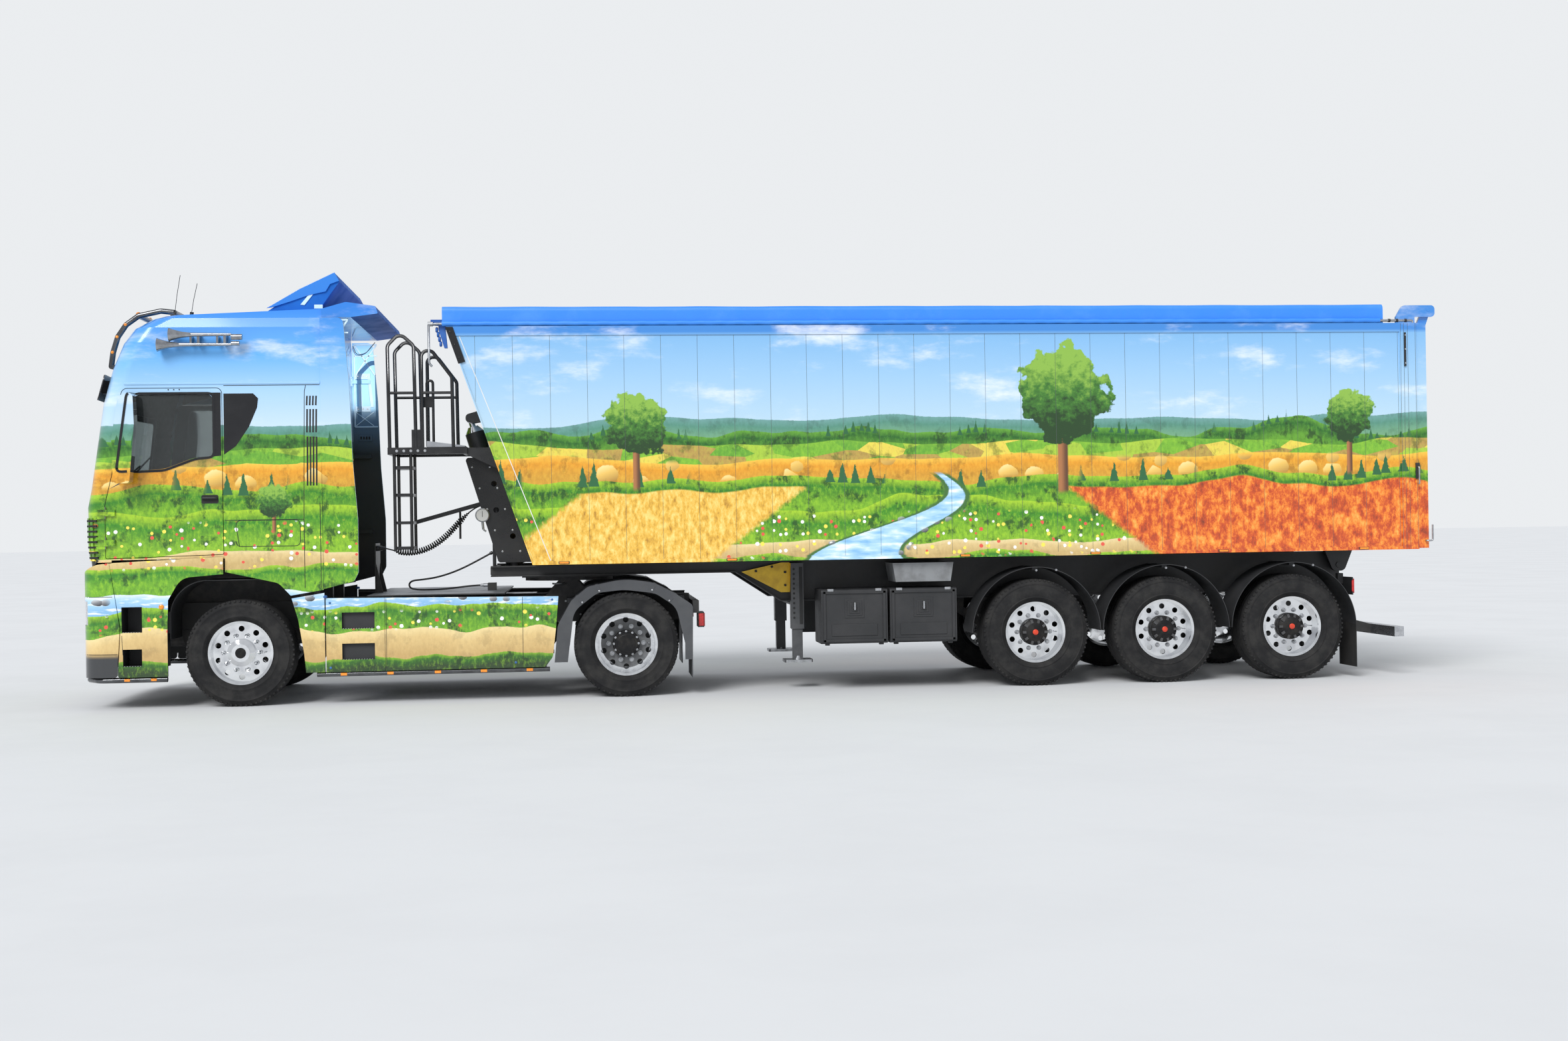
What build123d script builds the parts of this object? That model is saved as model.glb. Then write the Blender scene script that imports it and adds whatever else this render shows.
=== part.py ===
from build123d import *
from math import atan2, cos, degrees, hypot, radians, sin, sqrt, tan
import os

# Articulated tipper lorry: two-axle tractor with a high sleeper cab, and a
# three-axle tipping semi-trailer. Millimetres. The sizes below are written with
# x = 0 at the front axle, x rearwards, y to the vehicle's right, z = 0 on the
# ground. The whole model is moved so that its origin is under the middle.

# Tractor
wheelbase = 3600.0
tractor_half_width = 1250.0
tractor_tyre_radius = 500.0
front_tyre_width = 315.0
twin_tyre_width = 300.0
twin_gap = 35.0
front_face_x = -1475.0
frame_rail_half = 430.0
frame_rail_height = 260.0
frame_rail_flange = 80.0
frame_wall = 9.0
frame_top_z = 950.0
frame_front_x = -1260.0
frame_rear_overhang = 650.0
fifth_wheel_lead = 550.0
fifth_wheel_top_z = 1140.0
kingpin_radius = 45.0

# Cab
cab_front_x = -1440.0
cab_rear_x = 770.0
cab_half_width = 1220.0
cab_wall = 55.0
cab_floor_z = 1390.0
cab_roof_rear_z = 3745.0
cab_roof_front_z = 3660.0
door_front_bottom_x = -1205.0
door_front_top_x = -1045.0
door_rear_x = -132.0
door_bottom_z = 1400.0
door_top_z = 2990.0
panel_gap = 6.0
glass_thickness = 8.0
tilt_pivot_x = -1200.0
tilt_pivot_z = 1020.0
tilt_pin_radius = 20.0
tilt_sweep = 350.0
tilt_clear = 12.0

# Semi-trailer, drawn with its kingpin at drawn_kingpin_x and moved to the fifth wheel
drawn_kingpin_x = 3050.0
trailer_half_width = 1275.0
trailer_tyre_radius = 525.0
trailer_tyre_width = 385.0
trailer_axle_x = 7610.0
trailer_axle_pitch = 1310.0
trailer_rail_half = 650.0
trailer_frame_top_z = 1260.0
trailer_neck_depth = 105.0
trailer_beam_depth = 400.0
trailer_frame_front_x = 2300.0
trailer_frame_rear_x = 10955.0
neck_end_x = 4700.0
beam_start_x = 5150.0

# Tipping body
body_front_top_x = 1948.0
body_front_bottom_x = 2723.0
body_rear_x = 11530.0
body_bottom_z = 1276.0
body_top_z = 3545.0
body_wall = 42.0
body_floor = 45.0
panel_pitch = 351.0
tarp_top_z = 3760.0
gate_thickness = 100.0
gate_clear = 6.0
arm_rear_x = body_rear_x + 209
arm_low_z, arm_top_z = 3606.0, 3723.0
tip_pivot_x = 10900.0
tip_pivot_z = 1120.0
tip_pin_radius = 30.0
tip_angle = 45.0
gate_pivot_x = body_rear_x + 140
gate_pivot_z = 3680.0
gate_pin_radius = 20.0

# Ram that lifts the body
ram_foot_x = 2540.0
ram_foot_z = 1195.0
ram_eye_x = 2085.0
ram_eye_z = 2740.0
ram_stages = 5
ram_barrel_radius = 98.0
ram_wall = 8.0
ram_stage_gap = 0.6

# Wheels
bead_radius = 287.0
flange_radius = 299.0
wheel_stud_circle = 167.5
spindle_radius = 55.0
spindle_clear = 0.5
touch = 0.3

drive_x = wheelbase
frame_rear_x = drive_x + frame_rear_overhang
kingpin_x = drive_x - fifth_wheel_lead
trailer_move = kingpin_x - drawn_kingpin_x
trailer_axles = [trailer_axle_x + i * trailer_axle_pitch for i in range(3)]
middle_x = (front_face_x + arm_rear_x + trailer_move) / 2

written = {}


def corner_edges(points, put):
    """Edges of a closed outline whose points are (u, v) or (u, v, corner radius)."""
    count = len(points)
    starts, arcs, ends = [], [], []
    for i, point in enumerate(points):
        u, v = point[0], point[1]
        radius = point[2] if len(point) > 2 else 0
        a, b = points[i - 1], points[(i + 1) % count]
        if not radius:
            starts.append((u, v)), arcs.append(None), ends.append((u, v))
            continue
        to_a, to_b = (a[0] - u, a[1] - v), (b[0] - u, b[1] - v)
        la, lb = hypot(*to_a), hypot(*to_b)
        ua, ub = (to_a[0] / la, to_a[1] / la), (to_b[0] / lb, to_b[1] / lb)
        half = abs(atan2(ua[0] * ub[1] - ua[1] * ub[0], ua[0] * ub[0] + ua[1] * ub[1])) / 2
        reach = radius / tan(half)
        mid = (ua[0] + ub[0], ua[1] + ub[1])
        size = hypot(*mid)
        deep = radius / sin(half) - radius
        starts.append((u + ua[0] * reach, v + ua[1] * reach))
        arcs.append((u + mid[0] / size * deep, v + mid[1] / size * deep))
        ends.append((u + ub[0] * reach, v + ub[1] * reach))
    edges = []
    for i in range(count):
        if arcs[i]:
            edges.append(Edge.make_three_point_arc(put(*starts[i]), put(*arcs[i]), put(*ends[i])))
        following = starts[(i + 1) % count]
        if hypot(following[0] - ends[i][0], following[1] - ends[i][1]) > 1e-6:
            edges.append(Edge.make_line(put(*ends[i]), put(*following)))
    return edges


AXES = {
    "X": (lambda at: lambda u, v: Vector(at, u, v), (1, 0, 0)),
    "Y": (lambda at: lambda u, v: Vector(u, at, v), (0, 1, 0)),
    "Z": (lambda at: lambda u, v: Vector(u, v, at), (0, 0, 1)),
}


def flat(axis, at, points):
    """Face with rounded corners, square to an axis. u and v are the other two axes in X, Y, Z order."""
    put, _ = AXES[axis]
    return Face(Wire(corner_edges(points, put(at))))


def slab(axis, low, high, points):
    """Prism on a rounded outline, from low to high along an axis."""
    return extrude(flat(axis, low, points), amount=high - low, dir=AXES[axis][1])


def block(x, y, z):
    """Box given by its (low, high) on each axis."""
    size = (x[1] - x[0], y[1] - y[0], z[1] - z[0])
    return Pos((x[0] + x[1]) / 2, (y[0] + y[1]) / 2, (z[0] + z[1]) / 2) * Box(*size)


def rod(start, end, radius):
    """Round bar between two points."""
    a, b = Vector(*start), Vector(*end)
    return extrude(Plane(origin=a, z_dir=b - a) * Circle(radius), amount=(b - a).length)


def pipe(points, bend, radius):
    """Bent round tube, drawn as its outside."""
    path = FilletPolyline(*points, radius=bend)
    return sweep(Plane(origin=path @ 0, z_dir=path % 0) * Circle(radius), path=path)


def turned(profile, x, y, z):
    """Ring about a wheel's axis, from (radius, offset along y) points with corner radii."""
    put = lambda r, w: Vector(r, w, 0)
    ring = revolve(Face(Wire(corner_edges(profile, put))), Axis.Y)
    return Pos(x, y, z) * ring


def both(shape):
    """The shape and its mirror on the other side of the vehicle."""
    return [shape, mirror(shape, Plane.XZ)]


def fused(shapes):
    first, *others = shapes
    return first.fuse(*others) if others else first


def solids_of(shapes):
    found = []
    for shape in shapes:
        found += list(shape.solids())
    return found


def keep(name, *shapes):
    """Notes a node: one or more solids that don't touch."""
    written[name] = Compound(children=solids_of(shapes))


def keep_on_trailer(name, *shapes):
    """Notes a node of the semi-trailer, moved with it to the fifth wheel."""
    keep(name, *[shape.moved(Location((trailer_move, 0, 0))) for shape in solids_of(shapes)])


def export_all():
    os.makedirs("parts", exist_ok=True)
    for name, shape in written.items():
        export_step(shape.moved(Location((-middle_x, 0, 0))), f"parts/{name}.step")


# The tractor's ladder frame: two channel rails, cross members, a rear beam.
def channel(sign):
    low = frame_top_z - frame_rail_height
    outer, inner = sign * frame_rail_half, sign * (frame_rail_half - frame_rail_flange)
    web = sign * (frame_rail_half - frame_wall)
    ys = lambda a, b: (min(a, b), max(a, b))
    span = (frame_front_x, frame_rear_x)
    return [
        block(span, ys(outer, web), (low, frame_top_z)),
        block(span, ys(outer, inner), (low, low + frame_wall)),
        block(span, ys(outer, inner), (frame_top_z - frame_wall, frame_top_z)),
    ]


# Chequered walkway behind the cab, on short legs from the rails.
walk_top_z = 1010.0
walk_x = (1150.0, drive_x - 1150)


def walkway():
    pieces = [block(walk_x, (-1050, 1050), (walk_top_z - 12, walk_top_z))]
    for x in (walk_x[0] + 150, walk_x[1] - 150):
        for side in (-1, 1):
            y = side * (frame_rail_half - 30)
            pieces.append(block((x - 25, x + 25), (y - 25, y + 25), (frame_top_z - 1, walk_top_z - 11)))
    return pieces


tilt_lugs = [(352.0, 370.0), (410.0, 428.0)]
tilt_arm_y = (375.0, 405.0)
cab_mount_x = 690.0
cab_low_z = cab_floor_z - cab_wall / 2
cross_members = [frame_front_x + 90, 620.0, 1750.0, drive_x - 900, drive_x - 350, drive_x + 350]
tail_lamp_y = (800.0, 1040.0)
tail_lamp_z = (640.0, 785.0)


def make_tractor_frame():
    pieces = channel(-1) + channel(1)
    half = frame_rail_half - frame_wall
    low = frame_top_z - frame_rail_height + 40
    for x in cross_members:
        pieces.append(block((x - 30, x + 30), (-half, half), (low, frame_top_z - 40)))
    beam_half = 1050.0
    pieces.append(block((frame_rear_x, frame_rear_x + 60), (-beam_half, beam_half), (780, 900)))
    for side in (-1, 1):
        for lug in tilt_lugs:
            ys = sorted((side * lug[0], side * lug[1]))
            pieces.append(slab("Y", ys[0], ys[1], [
                (tilt_pivot_x - 50, frame_top_z - 1), (tilt_pivot_x + 60, frame_top_z - 1),
                (tilt_pivot_x + 38, tilt_pivot_z + 38, 36), (tilt_pivot_x - 38, tilt_pivot_z + 38, 36)]))
        ends = sorted((side * tilt_lugs[0][0], side * tilt_lugs[1][1]))
        pieces.append(rod((tilt_pivot_x, ends[0], tilt_pivot_z), (tilt_pivot_x, ends[1], tilt_pivot_z), tilt_pin_radius))
        post_y = sorted((side * 350.0, side * frame_rail_half))
        pieces.append(block((cab_mount_x - 60, cab_mount_x + 60), post_y, (frame_top_z - 1, cab_low_z - panel_gap)))
        lamp_y = sorted((side * tail_lamp_y[0], side * tail_lamp_y[1]))
        pieces.append(block((frame_rear_x + 50, frame_rear_x + 109), lamp_y, tail_lamp_z))
    return fused(pieces + walkway())


keep("tractor_frame", make_tractor_frame())

# Engine and gearbox, one plain mass under the cab, carried by the rails.
engine_half = frame_rail_half - frame_rail_flange - touch
keep("engine_block", slab("X", -900, 560, [
    (-300, 520, 60), (300, 520, 60), (300, 670), (engine_half, 700), (engine_half, 1290, 60),
    (-engine_half, 1290, 60), (-engine_half, 700), (-300, 670)]))

# Fifth wheel: horseshoe plate on two pedestals, with the kingpin slot to the rear.
plate_radius = 470.0
plate_thickness = 40.0


def make_fifth_wheel():
    plate = Pos(kingpin_x, 0, fifth_wheel_top_z - plate_thickness / 2) * Cylinder(plate_radius, plate_thickness)
    plate &= block((kingpin_x - 430, kingpin_x + 470), (-440, 440), (1000, 1200))
    bore = Pos(kingpin_x, 0, fifth_wheel_top_z - 20) * Cylinder(kingpin_radius + 6, plate_thickness + 2)
    slot = slab("Z", 1000, 1200, [
        (kingpin_x, -kingpin_radius - 6), (kingpin_x + 600, -190), (kingpin_x + 600, 190),
        (kingpin_x, kingpin_radius + 6)])
    low = fifth_wheel_top_z - plate_thickness
    pedestal = slab("Y", -430, -350, [
        (kingpin_x - 230, frame_top_z), (kingpin_x + 230, frame_top_z),
        (kingpin_x + 90, low), (kingpin_x - 90, low)])
    return fused([plate - bore - slot] + both(pedestal))


keep("fifth_wheel", make_fifth_wheel())

# Fuel tanks on both flanks, each on two brackets from the rail.
tank_outer = 1190.0
tank_inner = 560.0
tank_front_x, tank_rear_x = 1000.0, drive_x - 900


def make_tank():
    tank = slab("X", tank_front_x, tank_rear_x, [
        (-tank_outer, 360, 110), (-tank_inner, 360, 110),
        (-tank_inner, 940, 110), (-tank_outer, 940, 110)])
    brackets = [block((x - 30, x + 30), (-tank_inner - 20, -frame_rail_half), (720, 800))
                for x in (tank_front_x + 250, tank_rear_x - 250)]
    return fused([tank] + brackets)


keep("fuel_tanks", *both(make_tank()))

# Painted side skirts with the two step openings of the walkway ladder.
skirt_front_x, skirt_rear_x = 792.0, drive_x - 640
skirt_bottom_z = 305.0
skirt_thickness = 26.0
skirt_step_x = (938.0, 1240.0)
skirt_steps_z = [(418.0, 570.0), (708.0, 862.0)]
skirt_seam_x = 1335.0


def make_skirt():
    y0, y1 = -tractor_half_width + 10, -tractor_half_width + 10 + skirt_thickness
    panel = slab("Y", y0, y1, [
        (skirt_front_x, skirt_bottom_z), (skirt_rear_x - 130, skirt_bottom_z, 60),
        (skirt_rear_x - 60, skirt_bottom_z + 95, 60), (skirt_rear_x - 24, 700), (skirt_rear_x, 975),
        (skirt_front_x, 1000)])
    panel += block((skirt_front_x + 8, skirt_rear_x - 10), (y1 - 1, y1 + 60), (965, 975))
    panel += block((skirt_front_x + 8, skirt_rear_x - 120), (y1 - 1, y1 + 60), (skirt_bottom_z, skirt_bottom_z + 10))
    for low, high in skirt_steps_z:
        panel -= block(skirt_step_x, (y0 - 1, y1 + 1), (low, high))
        box = block((skirt_step_x[0] - 12, skirt_step_x[1] + 12), (y1, tank_step_back), (low - 14, high + 14))
        box -= block(skirt_step_x, (y1 - 1, tank_step_back - 12), (low, high))
        panel += box
    panel -= block((skirt_seam_x - 3, skirt_seam_x + 3), (y0 - 1, y0 + 6), (skirt_bottom_z - 1, 1001))
    return panel


tank_step_back = -tank_outer - touch
keep("side_skirts", *both(make_skirt()))

# Front axle beam with a fork at each end for the steering knuckles.
kingpin_y = 900.0
knuckle_pin_radius = 24.0
front_track_half = 1062.0
front_axle_z = tractor_tyre_radius
spring_y = 390.0
spring_half_width = 40.0
spring_reach = 640.0
spring_thick = 52.0


def make_spring(side):
    """A leaf spring over the beam, its ends in hangers under the frame rail."""
    ys = sorted((side * (spring_y - spring_half_width), side * (spring_y + spring_half_width)))
    rail_z = frame_top_z - frame_rail_height - touch
    low, end = 504.0, 560.0
    leaves = slab("Y", ys[0], ys[1], [
        (-spring_reach, end), (-spring_reach / 2, low + 12), (0, low), (spring_reach / 2, low + 12), (spring_reach, end),
        (spring_reach, end + 14), (spring_reach / 2, low + spring_thick), (0, low + spring_thick),
        (-spring_reach / 2, low + spring_thick), (-spring_reach, end + 14)])
    hangers = [slab("Y", ys[0] - 6, ys[1] + 6, [
        (x - 26, end - 14, 16), (x + 26, end - 14, 16), (x + 70, rail_z), (x - 70, rail_z)]) for x in (-spring_reach, spring_reach)]
    clamps = [block((x - 14, x + 14), (ys[0] - 6, ys[1] + 6), (front_axle_z - 20, low + spring_thick + 16)) for x in (-52, 52)]
    return [leaves] + hangers + clamps


def make_front_axle():
    beam = slab("Y", -kingpin_y + 70, kingpin_y - 70, [(-45, 395, 12), (45, 395, 12), (45, 505, 12), (-45, 505, 12)])
    pieces = [beam]
    for side in (-1, 1):
        fist = Pos(0, side * kingpin_y, front_axle_z) * Cylinder(48, 110)
        arm_y = sorted((side * (kingpin_y - 90), side * kingpin_y))
        pieces += [fist, block((-40, 40), arm_y, (front_axle_z - 55, front_axle_z + 40))]
        pin = (0, side * kingpin_y)
        pieces.append(rod((*pin, front_axle_z - 110), (*pin, front_axle_z + 110), knuckle_pin_radius))
        pieces += make_spring(side)
    return fused(pieces)


keep("front_axle", make_front_axle())


# Steering knuckle: a fork over the axle's end, with the wheel's spindle.
def make_knuckle(side):
    pin = (0, side * kingpin_y)
    bore = rod((*pin, front_axle_z - 120), (*pin, front_axle_z + 120), knuckle_pin_radius + spindle_clear)
    fork_y = sorted((side * (kingpin_y - 40), side * (kingpin_y + 75)))
    fork = slab("Y", fork_y[0], fork_y[1], [
        (-45, front_axle_z - 105, 15), (45, front_axle_z - 105, 15),
        (45, front_axle_z + 105, 15), (-45, front_axle_z + 105, 15)])
    gap_y = sorted((side * (kingpin_y - 200), side * (kingpin_y + 55)))
    fork -= block((-70, 70), gap_y, (front_axle_z - 60, front_axle_z + 60))
    spindle_end = side * (front_track_half + 60)
    fork += rod((0, side * (kingpin_y + 60), front_axle_z), (0, spindle_end, front_axle_z), spindle_radius)
    return fork - bore


for side_name, side in (("left", -1), ("right", 1)):
    keep(f"knuckle_{side_name}", make_knuckle(side))

# Drive axle: tube, differential housing and the spring seats.
drive_outer_y = 1085.0
drive_inner_y = drive_outer_y - twin_tyre_width - twin_gap
drive_spindle_end = drive_outer_y - 70
bellows_lead = 395.0
bellows_radius = 92.0


def make_bellows(x, y, low, high, radius):
    """An air spring between two plates: a piston below and the rubber folds above."""
    half = (high - low) / 2
    profile = [(0, low), (radius * 0.62, low), (radius * 0.55, low + half * 0.7), (radius, low + half * 0.9),
               (radius * 1.04, low + half * 1.25), (radius * 0.9, low + half * 1.42), (radius * 1.04, low + half * 1.6),
               (radius, high - 8), (radius * 0.8, high), (0, high)]
    return Pos(x, y, 0) * revolve(Plane.XZ * make_face(Polyline(*profile, close=True)), Axis.Z)


def make_drive_axle():
    pieces = [rod((drive_x, -700, front_axle_z), (drive_x, 700, front_axle_z), 75)]
    pieces.append(rod((drive_x, -drive_spindle_end, front_axle_z), (drive_x, drive_spindle_end, front_axle_z), spindle_radius))
    pieces.append(Pos(drive_x, 0, front_axle_z) * Sphere(215))
    pieces.append(rod((drive_x - 330, 0, front_axle_z + 30), (drive_x, 0, front_axle_z), 90))
    rail_z = frame_top_z - frame_rail_height - touch
    for side in (-1, 1):
        ys = sorted((side * (spring_y - spring_half_width), side * (spring_y + spring_half_width)))
        pieces.append(slab("Y", ys[0], ys[1], [
            (drive_x - bellows_lead - 60, 500), (drive_x - 120, 400, 60), (drive_x + 120, 400, 60), (drive_x + bellows_lead + 60, 500),
            (drive_x + bellows_lead + 60, 530), (drive_x + 100, 565, 60), (drive_x - 100, 565, 60), (drive_x - bellows_lead - 60, 530)]))
        for x in (drive_x - bellows_lead, drive_x + bellows_lead):
            pieces.append(make_bellows(x, side * spring_y, 525, rail_z, bellows_radius))
    return fused(pieces)


keep("drive_axle", make_drive_axle())

# Tyres and wheels. The profiles are (radius, offset outwards from the tyre's middle plane).
wheel_kinds = {
    "front": dict(radius=tractor_tyre_radius, width=front_tyre_width, bead=118.0, disc=66.0, dish=1),
    "drive": dict(radius=tractor_tyre_radius, width=twin_tyre_width, bead=112.0, disc=-92.0, dish=-1),
    "trailer": dict(radius=trailer_tyre_radius, width=trailer_tyre_width, bead=146.0, disc=70.0, dish=1),
}
flange_width = 13.0
rim_wall = 12.0
disc_wall = 14.0
hand_hole_radius = 27.0
hand_hole_circle = 226.0
hub_radius = 128.0
hand_holes = 10


def tyre_profile(kind):
    k = wheel_kinds[kind]
    half, bead, top = k["width"] / 2, k["bead"], k["radius"]
    low = flange_radius + touch
    return [(low, -bead), (low + 40, -bead - 8), (top - 90, -half), (top - 45, -half), (top, -half + 38),
            (top, half - 38), (top - 45, half), (top - 90, half), (low + 40, bead + 8), (low, bead)]


def rim_profile(kind, hub_out, hub_in):
    k = wheel_kinds[kind]
    edge, disc = k["bead"] + flange_width + touch, k["disc"]
    lip = k["bead"] + touch
    return [
        (spindle_radius + spindle_clear, hub_in), (hub_radius, hub_in), (hub_radius, disc - disc_wall),
        (bead_radius - rim_wall, disc - disc_wall), (bead_radius - rim_wall, -edge + 4), (flange_radius, -edge),
        (flange_radius, -lip), (bead_radius, -lip), (bead_radius, lip), (flange_radius, lip),
        (flange_radius, edge), (bead_radius - rim_wall, edge - 4), (bead_radius - rim_wall, disc),
        (hub_radius, disc), (hub_radius, hub_out), (hub_radius - 45, hub_out + 28), (0, hub_out + 28),
        (0, hub_out - 30), (spindle_radius + spindle_clear, hub_out - 30)]


def make_tyre(kind, side, x, y, z):
    return turned([(r, side * w) for r, w in tyre_profile(kind)], x, y, z)


def make_rim(kind, side, x, y, z, hub_out, hub_in):
    k = wheel_kinds[kind]
    rim = turned([(r, side * w) for r, w in rim_profile(kind, hub_out, hub_in)], x, y, z)
    for i in range(hand_holes):
        angle = radians(360 / hand_holes * (i + 0.5))
        at = (x + hand_hole_circle * cos(angle), z + hand_hole_circle * sin(angle))
        middle = y + side * (k["disc"] - disc_wall / 2)
        rim -= rod((at[0], middle - 20, at[1]), (at[0], middle + 20, at[1]), hand_hole_radius)
    return rim


for side_name, side in (("left", -1), ("right", 1)):
    place = (0, side * front_track_half, front_axle_z)
    keep(f"front_tyre_{side_name}", make_tyre("front", side, *place))
    keep(f"front_rim_{side_name}", make_rim("front", side, *place, hub_out=110, hub_in=-60))

trailer_track_half = 1020.0
for number, axle_x in enumerate(trailer_axles, 1):
    for side_name, side in (("left", -1), ("right", 1)):
        place = (axle_x, side * trailer_track_half, trailer_tyre_radius)
        keep_on_trailer(f"trailer_tyre_{number}_{side_name}", make_tyre("trailer", side, *place))
        keep_on_trailer(f"trailer_rim_{number}_{side_name}", make_rim("trailer", side, *place, hub_out=125, hub_in=-90))


# Twin wheels: the outer one is dished inwards, the inner one is its mirror image.
def make_twin_rim(side):
    k = wheel_kinds["drive"]
    outer = make_rim("drive", side, drive_x, side * drive_outer_y, front_axle_z, hub_out=-8, hub_in=-150)
    inner_y = side * drive_inner_y
    shift = -k["disc"]
    ring = [
        (hub_radius, shift), (bead_radius - rim_wall, shift), (bead_radius - rim_wall, k["bead"] + 9),
        (flange_radius, k["bead"] + flange_width), (flange_radius, k["bead"] + touch),
        (bead_radius, k["bead"] + touch), (bead_radius, -k["bead"] - touch), (flange_radius, -k["bead"] - touch),
        (flange_radius, -k["bead"] - flange_width), (bead_radius - rim_wall, -k["bead"] - 9),
        (bead_radius - rim_wall, shift - disc_wall), (hub_radius, shift - disc_wall)]
    inner = turned([(r, side * w) for r, w in ring], drive_x, inner_y, front_axle_z)
    hub_span = (side * (drive_outer_y - 150), side * (drive_inner_y - 30))
    hub = rod((drive_x, hub_span[0], front_axle_z), (drive_x, hub_span[1], front_axle_z), hub_radius)
    hub -= rod((drive_x, hub_span[0] + side * 5, front_axle_z), (drive_x, hub_span[1] - side * 5, front_axle_z),
               spindle_radius + spindle_clear)
    return fused([outer, inner, hub])


for side_name, side in (("left", -1), ("right", 1)):
    tyres = [make_tyre("drive", side, drive_x, side * y, front_axle_z) for y in (drive_outer_y, drive_inner_y)]
    keep(f"drive_tyres_{side_name}", *tyres)
    keep(f"drive_rims_{side_name}", make_twin_rim(side))

# Cab. Its outside is a ruled loft over these plan sections, bowed across the front.
NOSE_BOW = 45.0
cab_sections = [  # z, front x on the centre line, half width, corner radius
    (1250, cab_front_x + 40, 1208, 170),
    (1560, cab_front_x + 8, 1218, 180),
    (1880, cab_front_x, cab_half_width, 190),
    (2050, cab_front_x + 35, cab_half_width, 190),
    (2860, cab_front_x + 150, 1202, 200),
    (3180, cab_front_x + 235, 1184, 205),
    (3420, cab_front_x + 330, 1166, 210),
    (3560, cab_front_x + 430, 1146, 215),
    (3650, cab_front_x + 580, 1106, 220),
    (3770, cab_front_x + 960, 1010, 230),
]


def nose_plan(z, front, half, radius, rear):
    """Plan outline of a cab-wide shell: bowed front, round corners, straight sides."""
    knee = front + NOSE_BOW
    turn = radius * (1 - sqrt(0.5))
    p = lambda x, y: Vector(x, y, z)
    edges = [
        Edge.make_line(p(rear, -half), p(knee + radius, -half)),
        Edge.make_three_point_arc(p(knee + radius, -half), p(knee + turn, -half + turn), p(knee, -half + radius)),
        Edge.make_three_point_arc(p(knee, -half + radius), p(front, 0), p(knee, half - radius)),
        Edge.make_three_point_arc(p(knee, half - radius), p(knee + turn, half - turn), p(knee + radius, half)),
        Edge.make_line(p(knee + radius, half), p(rear, half)),
        Edge.make_line(p(rear, half), p(rear, -half)),
    ]
    return Face(Wire(edges))


roof_front_x = -1000.0


def cab_block(inset, low_z):
    """The cab's outside moved in by inset, from low_z up to the roof."""
    rear = cab_rear_x - inset
    plans = [nose_plan(z, front + inset, half - inset, radius - inset * 0.6, rear)
             for z, front, half, radius in cab_sections]
    body = loft(plans, ruled=True)
    trim = slab("Y", -1300, 1300, [
        (cab_rear_x + 10, low_z), (cab_front_x - 100, low_z), (cab_front_x - 100, cab_roof_front_z - inset),
        (roof_front_x, cab_roof_front_z - inset), (cab_rear_x + 10, cab_roof_rear_z - inset)])
    return body & trim


def tilt_round(radius):
    """Round space about the cab's tilt pin."""
    return Pos(tilt_pivot_x, 0, tilt_pivot_z) * Rot(90, 0, 0) * Cylinder(radius, 2600)


cab_outer = cab_block(0, 1250)
cab_inner = cab_block(cab_wall, cab_floor_z + cab_wall)
cab_walls = cab_outer - cab_inner

door_outline = [  # x, z, corner radius
    (door_front_bottom_x, door_bottom_z, 20), (door_rear_x, door_bottom_z + 24, 20),
    (door_rear_x, door_top_z, 60), (door_front_top_x, door_top_z, 60),
    (-1135, 2200, 200), (door_front_bottom_x, 1900, 100)]
window_outline = [
    (-1030, 2212, 40), (-660, 2232, 400), (-390, 2335, 300), (-223, 2345, 30), (-223, 2927, 45), (-925, 2927, 60)]
windscreen_outline = [  # y, z, corner radius
    (-1040, 2110, 90), (0, 2095, 3000), (1040, 2110, 90), (990, 2830, 90), (-990, 2830, 90)]
grille_low_z, grille_high_z = 1400.0, 1830.0
grille_half = 860.0
grille_slats = 5
grille_depth = 32.0


def grown(outline, by):
    """A closed outline moved outwards by a distance, corner radii kept in step."""
    count = len(outline)
    area = sum(outline[i - 1][0] * outline[i][1] - outline[i][0] * outline[i - 1][1] for i in range(count))
    turn = 1 if area > 0 else -1
    moved = []
    for i, point in enumerate(outline):
        a, b = outline[i - 1], outline[(i + 1) % count]
        la, lb = hypot(point[0] - a[0], point[1] - a[1]), hypot(b[0] - point[0], b[1] - point[1])
        na = ((point[1] - a[1]) / la * turn, -(point[0] - a[0]) / la * turn)
        nb = ((b[1] - point[1]) / lb * turn, -(b[0] - point[0]) / lb * turn)
        share = by / (1 + na[0] * nb[0] + na[1] * nb[1])
        spot = (point[0] + (na[0] + nb[0]) * share, point[1] + (na[1] + nb[1]) * share)
        radius = point[2] if len(point) > 2 else 0
        moved.append((*spot, max(radius + by, 1) if radius else 0))
    return moved


def side_cut(outline, side, depth=400):
    ys = sorted((side * 1300, side * (1300 - depth)))
    return slab("Y", ys[0], ys[1], outline)


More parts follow.
